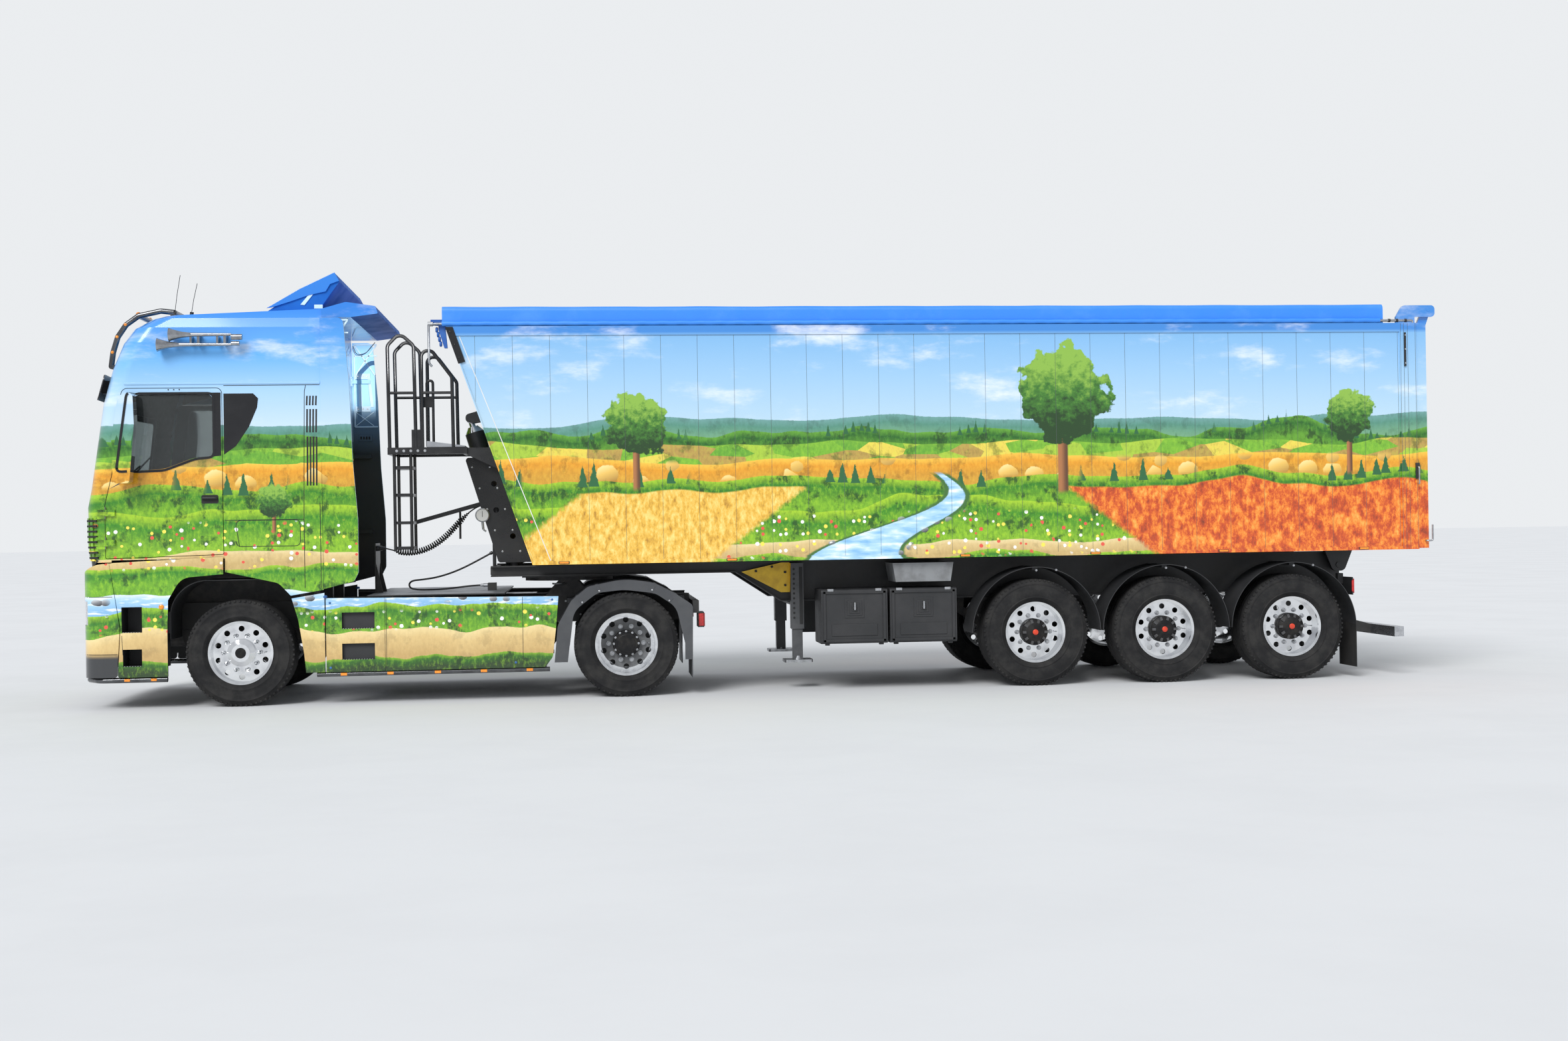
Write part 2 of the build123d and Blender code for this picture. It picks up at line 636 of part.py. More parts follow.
def make_cab_shell():
    shell = cab_walls - tilt_round(tilt_sweep)
    shell -= block((-1150, cab_rear_x + 20), (-1300, 1300), (1200, cab_floor_z))
    shell -= block((-1300, -1140), (-1300, 1300), (1200, tilt_pivot_z + tilt_sweep))
    for side in (-1, 1):
        shell -= side_cut(door_outline, side)
        ys = sorted((side * cab_half_width, side * (cab_half_width - 24)))
        quarter = slab("Y", ys[0], ys[1], [
            (door_rear_x + panel_gap, cab_floor_z + 60), (cab_rear_x, cab_floor_z + 60),
            (cab_rear_x, 1078), (470, 1030), (360, 1150, 120), (door_rear_x + panel_gap, 1262)])
        shell += quarter
        arm_y = sorted((side * tilt_arm_y[0], side * tilt_arm_y[1]))
        arm = slab("Y", arm_y[0], arm_y[1], [
            (tilt_pivot_x - 40, tilt_pivot_z), (tilt_pivot_x, tilt_pivot_z - 40, 38), (tilt_pivot_x + 40, tilt_pivot_z),
            (tilt_pivot_x + 90, cab_floor_z + 5), (tilt_pivot_x - 30, cab_floor_z + 5)])
        arm -= rod((tilt_pivot_x, arm_y[0] - 1, tilt_pivot_z), (tilt_pivot_x, arm_y[1] + 1, tilt_pivot_z),
                   tilt_pin_radius + spindle_clear)
        shell += arm
    shell -= slab("X", cab_front_x - 50, -900, windscreen_outline)
    recess = slab("X", cab_front_x - 50, -1250, [
        (-grille_half, grille_low_z, 60), (grille_half, grille_low_z, 60),
        (grille_half - 60, grille_high_z, 60), (-grille_half + 60, grille_high_z, 60)])
    face = cab_outer - cab_block(grille_depth, 1250)
    pitch = (grille_high_z - grille_low_z) / grille_slats
    slats = [block((cab_front_x - 20, -1250), (-grille_half - 30, grille_half + 30),
                   (grille_low_z + (i + 0.78) * pitch, grille_low_z + (i + 1) * pitch)) for i in range(grille_slats - 1)]
    shell -= (face & recess) - fused(slats)
    return shell


keep("cab_shell", make_cab_shell())


# Glass: a windscreen, set in its opening and as deep as the wall allows.
def make_glass_ring():
    return cab_block(18, 2000) - cab_block(18 + glass_thickness, 1990)


glass_ring = make_glass_ring()
keep("windscreen", glass_ring & slab("X", cab_front_x - 50, -900, grown(windscreen_outline, -touch)))


# Doors, cut from the same wall. The mirror housings and their arms swing with them.
hinge_x = door_front_bottom_x + panel_gap
door_hinge_z = (1520.0, 1800.0)
hinge_pin_radius = 8.0
hinge_wall = 5.0
hinge_y = cab_half_width + hinge_pin_radius + hinge_wall + touch
mirror_y = (1310.0, 1445.0)


def make_door(side):
    door = cab_walls & side_cut(grown(door_outline, -panel_gap), side, 160)
    door -= side_cut(window_outline, side)
    for z in door_hinge_z:
        leaf = block((hinge_x - 0.1, hinge_x + 90), sorted((side * (cab_half_width - 20), side * (hinge_y + 10))), (z, z + 60))
        barrel = rod((hinge_x, side * hinge_y, z), (hinge_x, side * hinge_y, z + 60), hinge_pin_radius + hinge_wall)
        door += leaf.fuse(barrel) - rod((hinge_x, side * hinge_y, z - 1), (hinge_x, side * hinge_y, z + 61),
                                        hinge_pin_radius + spindle_clear)
    housing_y = sorted((side * mirror_y[0], side * mirror_y[1]))
    housing = slab("Y", housing_y[0], housing_y[1], [
        (-1070, 2098, 40), (-925, 2098, 30), (-876, 2640, 100), (-885, 2928, 40), (-1010, 2928, 90), (-1080, 2500, 200)])
    arms = [block((-1000, -950), sorted((side * 1175, side * (mirror_y[0] + 10))), (z, z + 28)) for z in (2150, 2880)]
    return fused([door, housing] + arms)


def make_hinge_pins(side):
    pins = []
    for z in door_hinge_z:
        x0, x1 = hinge_x - 80, hinge_x
        for low, high in ((z - 26, z - 1), (z + 61, z + 86)):
            pins.append(block((x0, x1), sorted((side * (cab_half_width - 20), side * (hinge_y + 10))), (low, high)))
        pins.append(rod((hinge_x, side * hinge_y, z - 26), (hinge_x, side * hinge_y, z + 86), hinge_pin_radius))
    return pins


for side_name, side in (("left", -1), ("right", 1)):
    keep(f"door_{side_name}", make_door(side))
    pane = glass_ring & side_cut(grown(window_outline, -touch), side)
    keep(f"door_glass_{side_name}", pane)
    written["cab_shell"] = Compound(children=solids_of([fused(list(written["cab_shell"].solids()) + make_hinge_pins(side))]))

# Seats, bunk and dashboard show through the glass.
seat_y = 620.0


def make_seat(side):
    y = side * seat_y
    cushion = block((-560, -60), (y - 240, y + 240), (1790, 1920))
    back = slab("Y", y - 230, y + 230, [(-90, 1860, 40), (20, 1860, 40), (150, 2640, 60), (20, 2640, 60)])
    post = block((-420, -160), (y - 150, y + 150), (cab_floor_z + cab_wall, 1800))
    return fused([cushion, back, post])


keep("seats", make_seat(-1), make_seat(1))
keep("bunk", block((260, cab_rear_x - cab_wall), (-1100, 1100), (1900, 2080)).fuse(
    block((300, cab_rear_x - cab_wall), (-1050, 1050), (cab_floor_z + cab_wall, 1900))))
wheel_y = -seat_y
dash = cab_block(cab_wall + touch, 1500) & slab("Y", -1120, 1120, [
    (-1500, 1620), (-1010, 1620, 60), (-960, 1950, 60), (-1060, 2070, 60), (-1500, 2080)])
column = rod((-1110, wheel_y, 1820), (-790, wheel_y, 2015), 28)
ring_plane = Plane(origin=(-790, wheel_y, 2015), z_dir=(-260, 0, -160))
steering = ring_plane * Torus(215, 16)
spokes = ring_plane * Box(420, 40, 14)
keep("dashboard", fused([dash, column, steering, spokes]))

# Bumper and the panels below the doors stay on the chassis.
bumper_top_z = tilt_pivot_z + tilt_sweep
bumper_rear_low_x, bumper_rear_high_x = -1078.0, -1172.0


def bumper_block(inset):
    plan = nose_plan(300, front_face_x + inset, tractor_half_width - inset, 200 - inset * 0.5, -900)
    return extrude(plan, amount=1100, dir=(0, 0, 1))


bumper_side = [
    (-1600, 330), (-1440, 300, 40), (bumper_rear_low_x - 30, 300, 30), (bumper_rear_low_x, 757),
    (bumper_rear_high_x, 1400), (-1600, 1400)]
lamp_low_z, lamp_high_z = 790.0, 1010.0
lamp_inner_y, lamp_outer_y = 800.0, 1185.0
intake_half = 620.0
tow_radius, tow_depth = 21.0, 60.0
tow_face_x, tow_y, tow_z = -1440.0, 390.0, 700.0


def make_bumper():
    walls = bumper_block(0) - bumper_block(30)
    bumper = walls & slab("Y", -1300, 1300, bumper_side)
    lip = (bumper_block(5) & slab("Y", -1235, 1235, bumper_side)) & (
        tilt_round(tilt_sweep - tilt_clear) - tilt_round(tilt_sweep - tilt_clear - 25))
    lip &= block((-1600, -1200), (-1300, 1300), (tilt_pivot_z + 150, 1400))
    bumper += lip
    bumper &= tilt_round(tilt_sweep - tilt_clear).fuse(
        block((-1600, -1200), (-1300, 1300), (200, tilt_pivot_z)),
        block((-1200, -1000), (-1300, 1300), (200, 1362)))
    for side in (-1, 1):
        slot_y = sorted((side * (tilt_arm_y[0] - 10), side * (tilt_arm_y[1] + 10)))
        bumper -= block((-1600, -1140), slot_y, (tilt_pivot_z + 10, 1400))
        bumper -= block((-1600, -1150), sorted((side * lamp_inner_y, side * lamp_outer_y)), (lamp_low_z, lamp_high_z))
        hanger = block((-1462, frame_front_x - touch), sorted((side * 352, side * 428)), (720, 780))
        bumper += hanger
    bumper -= block((-1600, -1380), (-intake_half, intake_half), (430, 640))
    boss = block((tow_face_x, tow_face_x + tow_depth + 10), (tow_y - 40, tow_y + 40), (tow_z - 40, tow_z + 40))
    web = block((-1462, frame_front_x - touch), (352, 428), (680, 780))
    bumper += boss.fuse(web)
    bumper -= rod((tow_face_x, tow_y, tow_z), (tow_face_x + tow_depth, tow_y, tow_z), tow_radius)
    bumper -= rod((tow_face_x - 80, tow_y, tow_z), (tow_face_x, tow_y, tow_z), tow_radius + 14)
    bars = [(bumper_block(10) - bumper_block(24)) & block((-1600, -1380), (-intake_half - 5, intake_half + 5), (z, z + 22))
            for z in (482, 545, 608)]
    bumper += fused(bars)
    return bumper


keep("front_bumper", make_bumper())
lamp_shell = bumper_block(6) - bumper_block(30)
keep("headlamps", *[lamp_shell & block((-1600, -1150), sorted((side * (lamp_inner_y + touch), side * (lamp_outer_y - touch))),
                                     (lamp_low_z + touch, lamp_high_z - touch)) for side in (-1, 1)])

step_openings = [(-1052.0, -880.0, 400.0, 560.0), (-1060.0, -876.0, 715.0, 953.0)]
panel_thickness = 22.0
liner_y = (700.0, 1180.0)
arch_panel = [
    (606, 305), (skirt_front_x - 10, 305), (skirt_front_x - 10, 1050), (482, 1004), (540, 800, 300), (590, 480, 200)]


def make_side_steps():
    y0 = -tractor_half_width
    outline = [
        (bumper_rear_low_x - 22, 300, 20), (-650, 300), (-650, 700), (-640, 1010), (-520, 1215, 160),
        (door_rear_x - panel_gap, 1244), (door_rear_x - panel_gap, cab_floor_z + 15),
        (-1120, cab_floor_z - 24), (bumper_rear_high_x + 8, cab_floor_z - 30), (bumper_rear_low_x + 8, 757)]
    panel = slab("Y", y0, y0 + panel_thickness, outline)
    box = block((-1066, -700), (y0 + panel_thickness, -900), (380, 1300))
    for x0, x1, z0, z1 in step_openings:
        panel -= block((x0, x1), (y0 - 1, y0 + panel_thickness + 1), (z0, z1))
        box -= block((x0, x1), (y0 + panel_thickness - 1, -1010), (z0, z1))
    outer = [(-640, 640), (-640, 1190, 340), (612, 1190, 340), (612, 640)]
    inner = [(-632, 630), (-632, 1182, 332), (604, 1182, 332), (604, 630)]
    liner = slab("Y", -liner_y[1], -liner_y[0], outer) - slab("Y", -liner_y[1] - 1, -liner_y[0] + 1, inner)
    joiner = block((-700, -630), (-1180, -900), (700, 900))
    hanger = block((-1000, -960), (-900, -frame_rail_half - touch), (780, 860))
    behind = block((606, 720), (y0 + panel_thickness, -900), (650, 870))
    behind += slab("Y", y0, y0 + panel_thickness, arch_panel)
    stay = block((640, 680), (-900, -frame_rail_half - touch), (780, 860))
    return fused([panel, box, liner, joiner, hanger, behind, stay])


keep("side_steps", *both(make_side_steps()))


# Air deflectors: roof spoiler, side fins behind the cab and the small rear wing.
fin_outline = [
    (cab_rear_x + touch, 1085), (1053, 1153, 30), (1095, 1236, 60), (1097, 1739, 300), (1056, 2297), (1034, 3009),
    (984, 3640, 60), (cab_rear_x + touch, 3640)]
fin_y = (1185.0, 1212.0)
spoiler_half = 960.0
wing_rear_x = 1300.0


def roof_z(x):
    """Height of the cab's flat roof at x."""
    share = (x - roof_front_x) / (cab_rear_x + 10 - roof_front_x)
    return cab_roof_front_z + share * (cab_roof_rear_z - cab_roof_front_z)


def make_air_deflectors():
    pieces = []
    for side in (-1, 1):
        ys = sorted((side * fin_y[0], side * fin_y[1]))
        fin = slab("Y", ys[0], ys[1], fin_outline)
        stays = [block((cab_rear_x + touch, 960), sorted((side * 1130, side * fin_y[1])), (z, z + 40))
                 for z in (1600, 2400, 3200)]
        foot = [block((cab_rear_x + touch, cab_rear_x + 12), sorted((side * 1080, side * 1140)), (z - 30, z + 70))
                for z in (1600, 2400, 3200)]
        fin = fused([fin] + stays + foot)
        pieces.append(fin)
    outer = slab("Y", -spoiler_half, spoiler_half, [
        (240, roof_z(240) + touch), (560, 3935, 700), (884, 4100, 18), (930, 4015, 14), (735, roof_z(735) + touch)])
    hollow = slab("Y", -spoiler_half + 20, spoiler_half - 20, [
        (300, 3700), (300, roof_z(300) + 12), (560, 3905, 700), (865, 4062, 18), (895, 4012), (715, 3700)])
    pieces.append(outer - hollow)
    wing = slab("Y", -1100, 1100, [
        (cab_rear_x + touch, 3655), (cab_rear_x + touch, 3735), (1000, 3800, 60), (wing_rear_x - 25, 3760, 10),
        (wing_rear_x, 3690, 10), (1040, 3655, 60)])
    pieces[0] = fused([pieces[0], pieces[1], wing])
    return [pieces[0], pieces[2]]


keep("air_deflectors", *make_air_deflectors())

# Sun visor across the top of the windscreen, lamp rail over the roof, and air horns.
visor_stand, visor_wall = 62.0, 8.0
rail_tube = 26.0
rail_y = 950.0
rail_points = [(-1190, 3215), (-1172, 3345), (-1128, 3490), (-1050, 3606), (-935, 3690), (-730, 3735), (-610, 3722)]
horn_rows = [(-592.0, -30.0, 3478.0), (-700.0, -30.0, 3385.0)]  # bell x, tail x, z
horn_y = 1258.0
bell_radius = 64.0
horn_tube = 13.0


def make_roof_trim():
    visor = cab_block(-visor_stand, 2890) - cab_block(-visor_stand + visor_wall, 2880)
    visor &= slab("X", cab_front_x - 80, -1080, [(-1130, 2890, 40), (1130, 2890, 40), (1080, 3130, 60), (-1080, 3130, 60)])
    band = cab_block(-visor_stand + 1, 2880) - cab_block(-touch, 2870)
    stands = [band & block((cab_front_x, -1080), (y - 15, y + 15), (2960, 3080)) for y in (-900, 0, 900)]
    pieces = [fused([visor] + stands)]
    sides = [pipe([(x, y, z) for x, z in rail_points], 60, rail_tube) for y in (-rail_y, rail_y)]
    crosses = [rod((x, -rail_y, z), (x, rail_y, z), rail_tube) for x, z in (rail_points[0], rail_points[4], rail_points[6])]
    feet = []
    for y in (-rail_y, rail_y):
        feet.append(block((-640, -600), (y - 20, y + 20), (3600, 3722)))
        feet.append(block((-1190, -1100), (y - 20, y + 20), (3195, 3225)))
    pieces.append(fused(sides + crosses + feet) - cab_block(-touch, 2870))
    for side in (-1, 1):
        horns = []
        for bell_x, tail_x, z in horn_rows:
            profile = [(0, bell_x), (bell_radius, bell_x), (bell_radius - 12, bell_x + 30), (30, bell_x + 110),
                       (horn_tube + 6, bell_x + 200), (horn_tube, tail_x), (0, tail_x)]
            put = lambda r, u: Vector(u, r, 0)
            horn = revolve(Face(Wire(corner_edges(profile, put))), Axis.X)
            horns.append(Pos(0, side * horn_y, z) * horn)
        for x in (-330, -90):
            horns.append(block((x - 12, x + 12), sorted((side * 1120, side * horn_y)), (3375, 3490)))
        pieces.append(fused(horns) - cab_block(-touch, 2870))
    return pieces


keep("roof_trim", *make_roof_trim())

# Drive axle mudguards and the tail lamps on the frame's rear beam.
fender_outer = [  # from the drive axle
    (-685, 345), (-651, 702, 200), (-518, 930, 100), (-360, 1060, 120), (-15, 1128, 700), (268, 1087, 300),
    (464, 985, 200), (640, 865, 60), (632, 345)]
fender_inner = [
    (-560, 345), (-498, 829, 200), (-270, 1000, 200), (-17, 1025, 600), (280, 985, 200), (480, 850, 200), (560, 500),
    (560, 300), (-560, 300)]


def behind_axle(outline):
    """The outline, moved to the drive axle."""
    return [(drive_x + point[0], *point[1:]) for point in outline]


def make_drive_fender():
    y0, y1 = -tractor_half_width + 8, -590.0
    outer = behind_axle(fender_outer)
    guard = slab("Y", y0, y1, outer)
    guard -= slab("Y", y0 + 14, y1 + 1, grown(outer, -9))
    guard -= block((drive_x - 676, drive_x + 623), (y0 + 14, y1 + 1), (300, 500))
    guard -= slab("Y", y0 - 1, y0 + 15, behind_axle(fender_inner))
    flap = block((drive_x + 625, drive_x + 633), (y0 + 20, y1 - 30), (170, 360))
    arms = [block((x - 35, x + 35), (y1 - 150, -frame_rail_half - touch), (885, 935)) for x in (drive_x - 525, drive_x + 550)]
    return fused([guard, flap] + arms)


keep("drive_fenders", *both(make_drive_fender()))

# Bright tubes low on the flanks and round the bumper.
side_tube_radius = 22.0
front_tube_radius = 26.0


def make_tubes():
    z = skirt_bottom_z - side_tube_radius - touch
    y = tractor_half_width - 10 - side_tube_radius
    pieces = both(rod((skirt_front_x - 90, -y, z), (skirt_rear_x - 90, -y, z), side_tube_radius))
    z = 300 - front_tube_radius - touch
    y = tractor_half_width - 12 - front_tube_radius
    front = front_face_x + 20 + front_tube_radius
    path = [(-660, -y, z), (front + 160, -y, z), (front + 18, -y + 190, z), (front + 18, y - 190, z), (front + 160, y, z),
            (-660, y, z)]
    pieces.append(pipe(path, 110, front_tube_radius))
    return pieces


keep("chrome_tubes", *make_tubes())

# Semi-trailer frame: two swan-neck beams, cross members, coupling plate and kingpin.
beam_web = 10.0
beam_flange = 12.0
beam_flange_half = 60.0
neck_low_z = trailer_frame_top_z - trailer_neck_depth
beam_low_z = trailer_frame_top_z - trailer_beam_depth
trailer_cross = [2320.0, 3700.0, 4400.0, 5240.0, 6150.0, 7000.0, 8265.0, 9575.0, 10560.0]
trailer_bellows_lag = 345.0
trailer_bellows_radius = 118.0
underrun_stay_x = trailer_axles[-1] + trailer_bellows_lag + trailer_bellows_radius + 45
underrun_x = (11290.0, 11388.0)
underrun_z = (400.0, 500.0)


def make_trailer_frame():
    x0, x1 = trailer_frame_front_x, trailer_frame_rear_x
    under = [(x0, neck_low_z), (neck_end_x, neck_low_z), (beam_start_x, beam_low_z), (x1, beam_low_z)]
    web_outline = under + [(x1, trailer_frame_top_z), (x0, trailer_frame_top_z)]
    sole = under + [(x, z + beam_flange) for x, z in reversed(under)]
    pieces = []
    for side in (-1, 1):
        middle = side * trailer_rail_half
        pieces.append(slab("Y", middle - beam_web / 2, middle + beam_web / 2, web_outline))
        pieces.append(slab("Y", middle - beam_flange_half, middle + beam_flange_half, sole))
        pieces.append(block((x0, x1), (middle - beam_flange_half, middle + beam_flange_half),
                            (trailer_frame_top_z - beam_flange, trailer_frame_top_z)))
    for x in trailer_cross:
        low = neck_low_z + 20 if x < neck_end_x else trailer_frame_top_z - 220
        pieces.append(block((x - 25, x + 25), (-trailer_rail_half, trailer_rail_half), (low, trailer_frame_top_z - 14)))
    half = trailer_rail_half - beam_web / 2 + 1
    pieces.append(block((2600, 3560), (-half, half), (fifth_wheel_top_z + touch, neck_low_z + 8)))
    pieces.append(Pos(drawn_kingpin_x, 0, fifth_wheel_top_z - 35) * Cylinder(kingpin_radius, 75))
    pieces.append(block((2610, 2650), (-half, half), (neck_low_z, ram_foot_z - 5)))
    for side in (-1, 1):
        ys = sorted((side * 52, side * 76))
        pieces.append(slab("Y", ys[0], ys[1], [
            (ram_foot_x - 40, neck_low_z + 5), (2650, neck_low_z + 5), (2650, ram_foot_z - 7), (ram_foot_x + 45, ram_foot_z),
            (ram_foot_x + 25, ram_foot_z + 33, 8), (ram_foot_x - 25, ram_foot_z + 33, 8), (ram_foot_x - 40, ram_foot_z)]))
    pieces.append(rod((ram_foot_x, -76, ram_foot_z), (ram_foot_x, 76, ram_foot_z), ram_pin_radius))
    pin_end = trailer_rail_half + 135
    pieces.append(rod((tip_pivot_x, -pin_end, tip_pivot_z), (tip_pivot_x, pin_end, tip_pivot_z), tip_pin_radius))
    for side in (-1, 1):
        ys = sorted((side * (trailer_rail_half - 8), side * (trailer_rail_half + 8)))
        pieces.append(slab("Y", ys[0], ys[1], [
            (underrun_stay_x, beam_low_z + 5), (x1, beam_low_z + 5), (11060, 560, 60), (underrun_x[0] + 5, 495),
            (underrun_x[0] + 5, 410), (11000, 440, 60)]))
    pieces.append(block(underrun_x, (-1200, 1200), underrun_z))
    return fused(pieces)


ram_pin_radius = 24.0
keep_on_trailer("trailer_frame", make_trailer_frame())

# Trailer axles with their spring seats.
axle_tube_radius = 63.0
arm_half_width = 35.0


def make_trailer_axle(x):
    z = trailer_tyre_radius
    spindle_end = trailer_track_half + 60
    pieces = [
        rod((x, -880, z), (x, 880, z), axle_tube_radius),
        rod((x, -spindle_end, z), (x, spindle_end, z), spindle_radius)]
    for side in (-1, 1):
        middle = side * trailer_rail_half
        beam_z = beam_low_z - touch
        pieces.append(slab("Y", middle - 50, middle + 50, [
            (x - 455, 650, 40), (x - 345, 650, 40), (x - 330, beam_z), (x - 480, beam_z)]))
        pieces.append(slab("Y", middle - arm_half_width, middle + arm_half_width, [
            (x - 440, 672, 20), (x - 90, z - 88, 60), (x + 90, z - 88, 60), (x + trailer_bellows_lag + 70, 588, 20),
            (x + trailer_bellows_lag + 70, 622), (x + 90, z + 92, 60), (x - 80, z + 92, 60), (x - 400, 716, 20)]))
        pieces.append(make_bellows(x + trailer_bellows_lag, middle, 615, beam_z, trailer_bellows_radius))
        chamber_y = middle - side * 165
        pieces.append(rod((x + 55, chamber_y, z + 50), (x + 215, chamber_y, z + 78), 72))
        pieces.append(slab("Y", chamber_y - 12, chamber_y + 12, [
            (x - 40, z - 30, 20), (x + 60, z - 30), (x + 120, z + 20), (x + 120, z + 80), (x - 40, z + 40, 20)]))
    return fused(pieces)


keep_on_trailer("trailer_axles", *[make_trailer_axle(x) for x in trailer_axles])

# Landing legs, braced to the beams.
leg_x = 5298.0
leg_low_z = 263.0


def make_landing_leg():
    web = -trailer_rail_half - beam_flange_half - touch
    outer = block((leg_x - 62, leg_x + 62), (web - 124, web), (590, 1240))
    inner = block((leg_x - 48, leg_x + 48), (web - 110, web - 14), (leg_low_z + 24, 600))
    foot = slab("Z", leg_low_z, leg_low_z + 26, [
        (leg_x - 140, web - 190, 30), (leg_x + 140, web - 190, 30), (leg_x + 140, web + 66, 30), (leg_x - 140, web + 66, 30)])
    gusset = slab("Y", web - 10, web, [(4756, 1160), (5153, 1245), (leg_x - 60, 1245), (leg_x - 60, 950), (5148, 950)])
    return fused([outer, inner, foot, gusset])


leg_pair = both(make_landing_leg())
shaft_y = trailer_rail_half + beam_flange_half + 20
shaft = rod((leg_x, -shaft_y, 820), (leg_x, shaft_y, 820), 18)
keep_on_trailer("landing_legs", fused(leg_pair + [shaft]))

# Tool boxes under the beams, and a small grey case over the rear one.
tool_boxes = [(5483.0, 6132.0), (6157.0, 6816.0)]


def make_tool_boxes():
    pieces = []
    web = -trailer_rail_half - beam_web / 2 - touch
    for x0, x1 in tool_boxes:
        case = slab("X", x0, x1, [(-1225, 457, 30), (-740, 457, 30), (-740, 985, 30), (-1225, 985, 30)])
        hangers = [block((x - 20, x + 20), (-745, web), (beam_low_z + beam_flange + touch, 960)) for x in (x0 + 80, x1 - 80)]
        pieces.append(fused([case] + hangers))
    x0, x1 = 6196.0, 6799.0
    case = slab("Y", -1180, web - 80, [(x0 + 30, 1046), (x1 - 30, 1046), (x1, 1230), (x0, 1230)])
    hanger = block((x0 + 100, x1 - 100), (web - 90, web), (1060, 1200))
    pieces.append(case.fuse(hanger))
    return pieces


boxes = make_tool_boxes()
keep_on_trailer("toolboxes", *boxes, *[mirror(b, Plane.XZ) for b in boxes[:2]])

# Half-round mudguards, each on a stay from the beam, with a rubber flap behind the last.
guard_radius = 645.0
guard_wall = 6.0
guard_y = (830.0, 1240.0)


def make_trailer_guard(x, last):
    z = trailer_tyre_radius
    place = Pos(x, -(guard_y[0] + guard_y[1]) / 2, z) * Rot(90, 0, 0)
    wide = guard_y[1] - guard_y[0]
    guard = place * Cylinder(guard_radius, wide) - place * Cylinder(guard_radius - guard_wall, wide + 2)
    guard &= block((x - 700, x + 700), (-1300, -800), (z + 8, 1300))
    crown = z + guard_radius
    guard += block((x - 25, x + 25), (-1190, -trailer_rail_half - beam_web / 2 - touch), (crown - 32, crown - guard_wall + 1))
    if last:
        x1 = x + guard_radius
        guard += block((x1 - guard_wall, x1), (-guard_y[1], -guard_y[0]), (110, z + 20))
    return guard


guards = [make_trailer_guard(x, x == trailer_axles[-1]) for x in trailer_axles]
keep_on_trailer("trailer_fenders", *guards, *[mirror(g, Plane.XZ) for g in guards])

# Tipping body: slanted front wall, smooth sides with seams, floor on two runners.
slope = (body_front_bottom_x - body_front_top_x) / (body_top_z - body_bottom_z)
side_proud = 10.0
rail_band = 88.0
runner_y = 470.0


def wall_x(z, inset=0.0):
    """x of the slanted front wall's face at height z, moved inwards along its normal."""
    return body_front_bottom_x - (z - body_bottom_z) * slope + inset * hypot(1, slope)


def make_bed_body():
    z0, z1 = body_bottom_z, body_top_z
    half = trailer_half_width
    outline = [(wall_x(z1), z1), (wall_x(z0), z0), (body_rear_x, z0), (body_rear_x, z1)]
    body = slab("Y", -half, half, outline)
    floor_z = z0 + body_floor
    body -= slab("Y", -half + body_wall, half - body_wall, [
        (wall_x(z1 + 100, body_wall), z1 + 100), (wall_x(floor_z, body_wall), floor_z),
        (body_rear_x + 10, floor_z), (body_rear_x + 10, z1 + 100)])
    field = [(wall_x(z1 - rail_band, 12), z1 - rail_band), (wall_x(z0 + 34, 12), z0 + 34),
             (11356, z0 + 34), (11356, z1 - rail_band)]
    for side in (-1, 1):
        ys = sorted((side * (half + 1), side * (half - side_proud)))
        body -= slab("Y", ys[0], ys[1], field)
        ys = sorted((side * (runner_y - 55), side * (runner_y + 55)))
        body += block((2800, tip_pivot_x + 40), ys, (trailer_frame_top_z + touch, z0 + 1))
        ys = sorted((side * (trailer_rail_half + 75), side * (trailer_rail_half + 125)))
        bracket = slab("Y", ys[0], ys[1], [
            (tip_pivot_x - 150, z0 + 1), (tip_pivot_x - 60, tip_pivot_z - 62, 60), (tip_pivot_x + 60, tip_pivot_z - 62, 60),
            (tip_pivot_x + 150, z0 + 1)])
        body += bracket - rod((tip_pivot_x, ys[0] - 1, tip_pivot_z), (tip_pivot_x, ys[1] + 1, tip_pivot_z),
                              tip_pin_radius + spindle_clear)
        ys = sorted((side * 1228, side * 1252))
        arm = slab("Y", ys[0], ys[1], [
            (body_rear_x - 200, z1 - 60), (body_rear_x - 200, arm_low_z), (body_rear_x - 130, arm_top_z, 60),
            (arm_rear_x, arm_top_z, 40), (arm_rear_x, arm_low_z, 40), (body_rear_x - 2, arm_low_z), (body_rear_x - 2, z1 - 60)])
        arm += rod((gate_pivot_x, side * 1180, gate_pivot_z), (gate_pivot_x, side * 1254, gate_pivot_z), gate_pin_radius)
        body += arm
        ys = sorted((side * 57, side * 77))
        cheek = slab("Y", ys[0], ys[1], [
            (wall_x(ram_eye_z + 90) + 5, ram_eye_z + 90), (wall_x(ram_eye_z - 20) + 5, ram_eye_z - 20),
            (ram_eye_x + 20, ram_eye_z - 42, 30), (ram_eye_x - 45, ram_eye_z - 20, 30), (ram_eye_x - 45, ram_eye_z + 45, 40)])
        body += cheek
    return body


keep_on_trailer("bed_body", make_bed_body())

# Tailgate hung from two top pins.
gate_x = (body_rear_x + gate_clear, body_rear_x + gate_clear + gate_thickness)


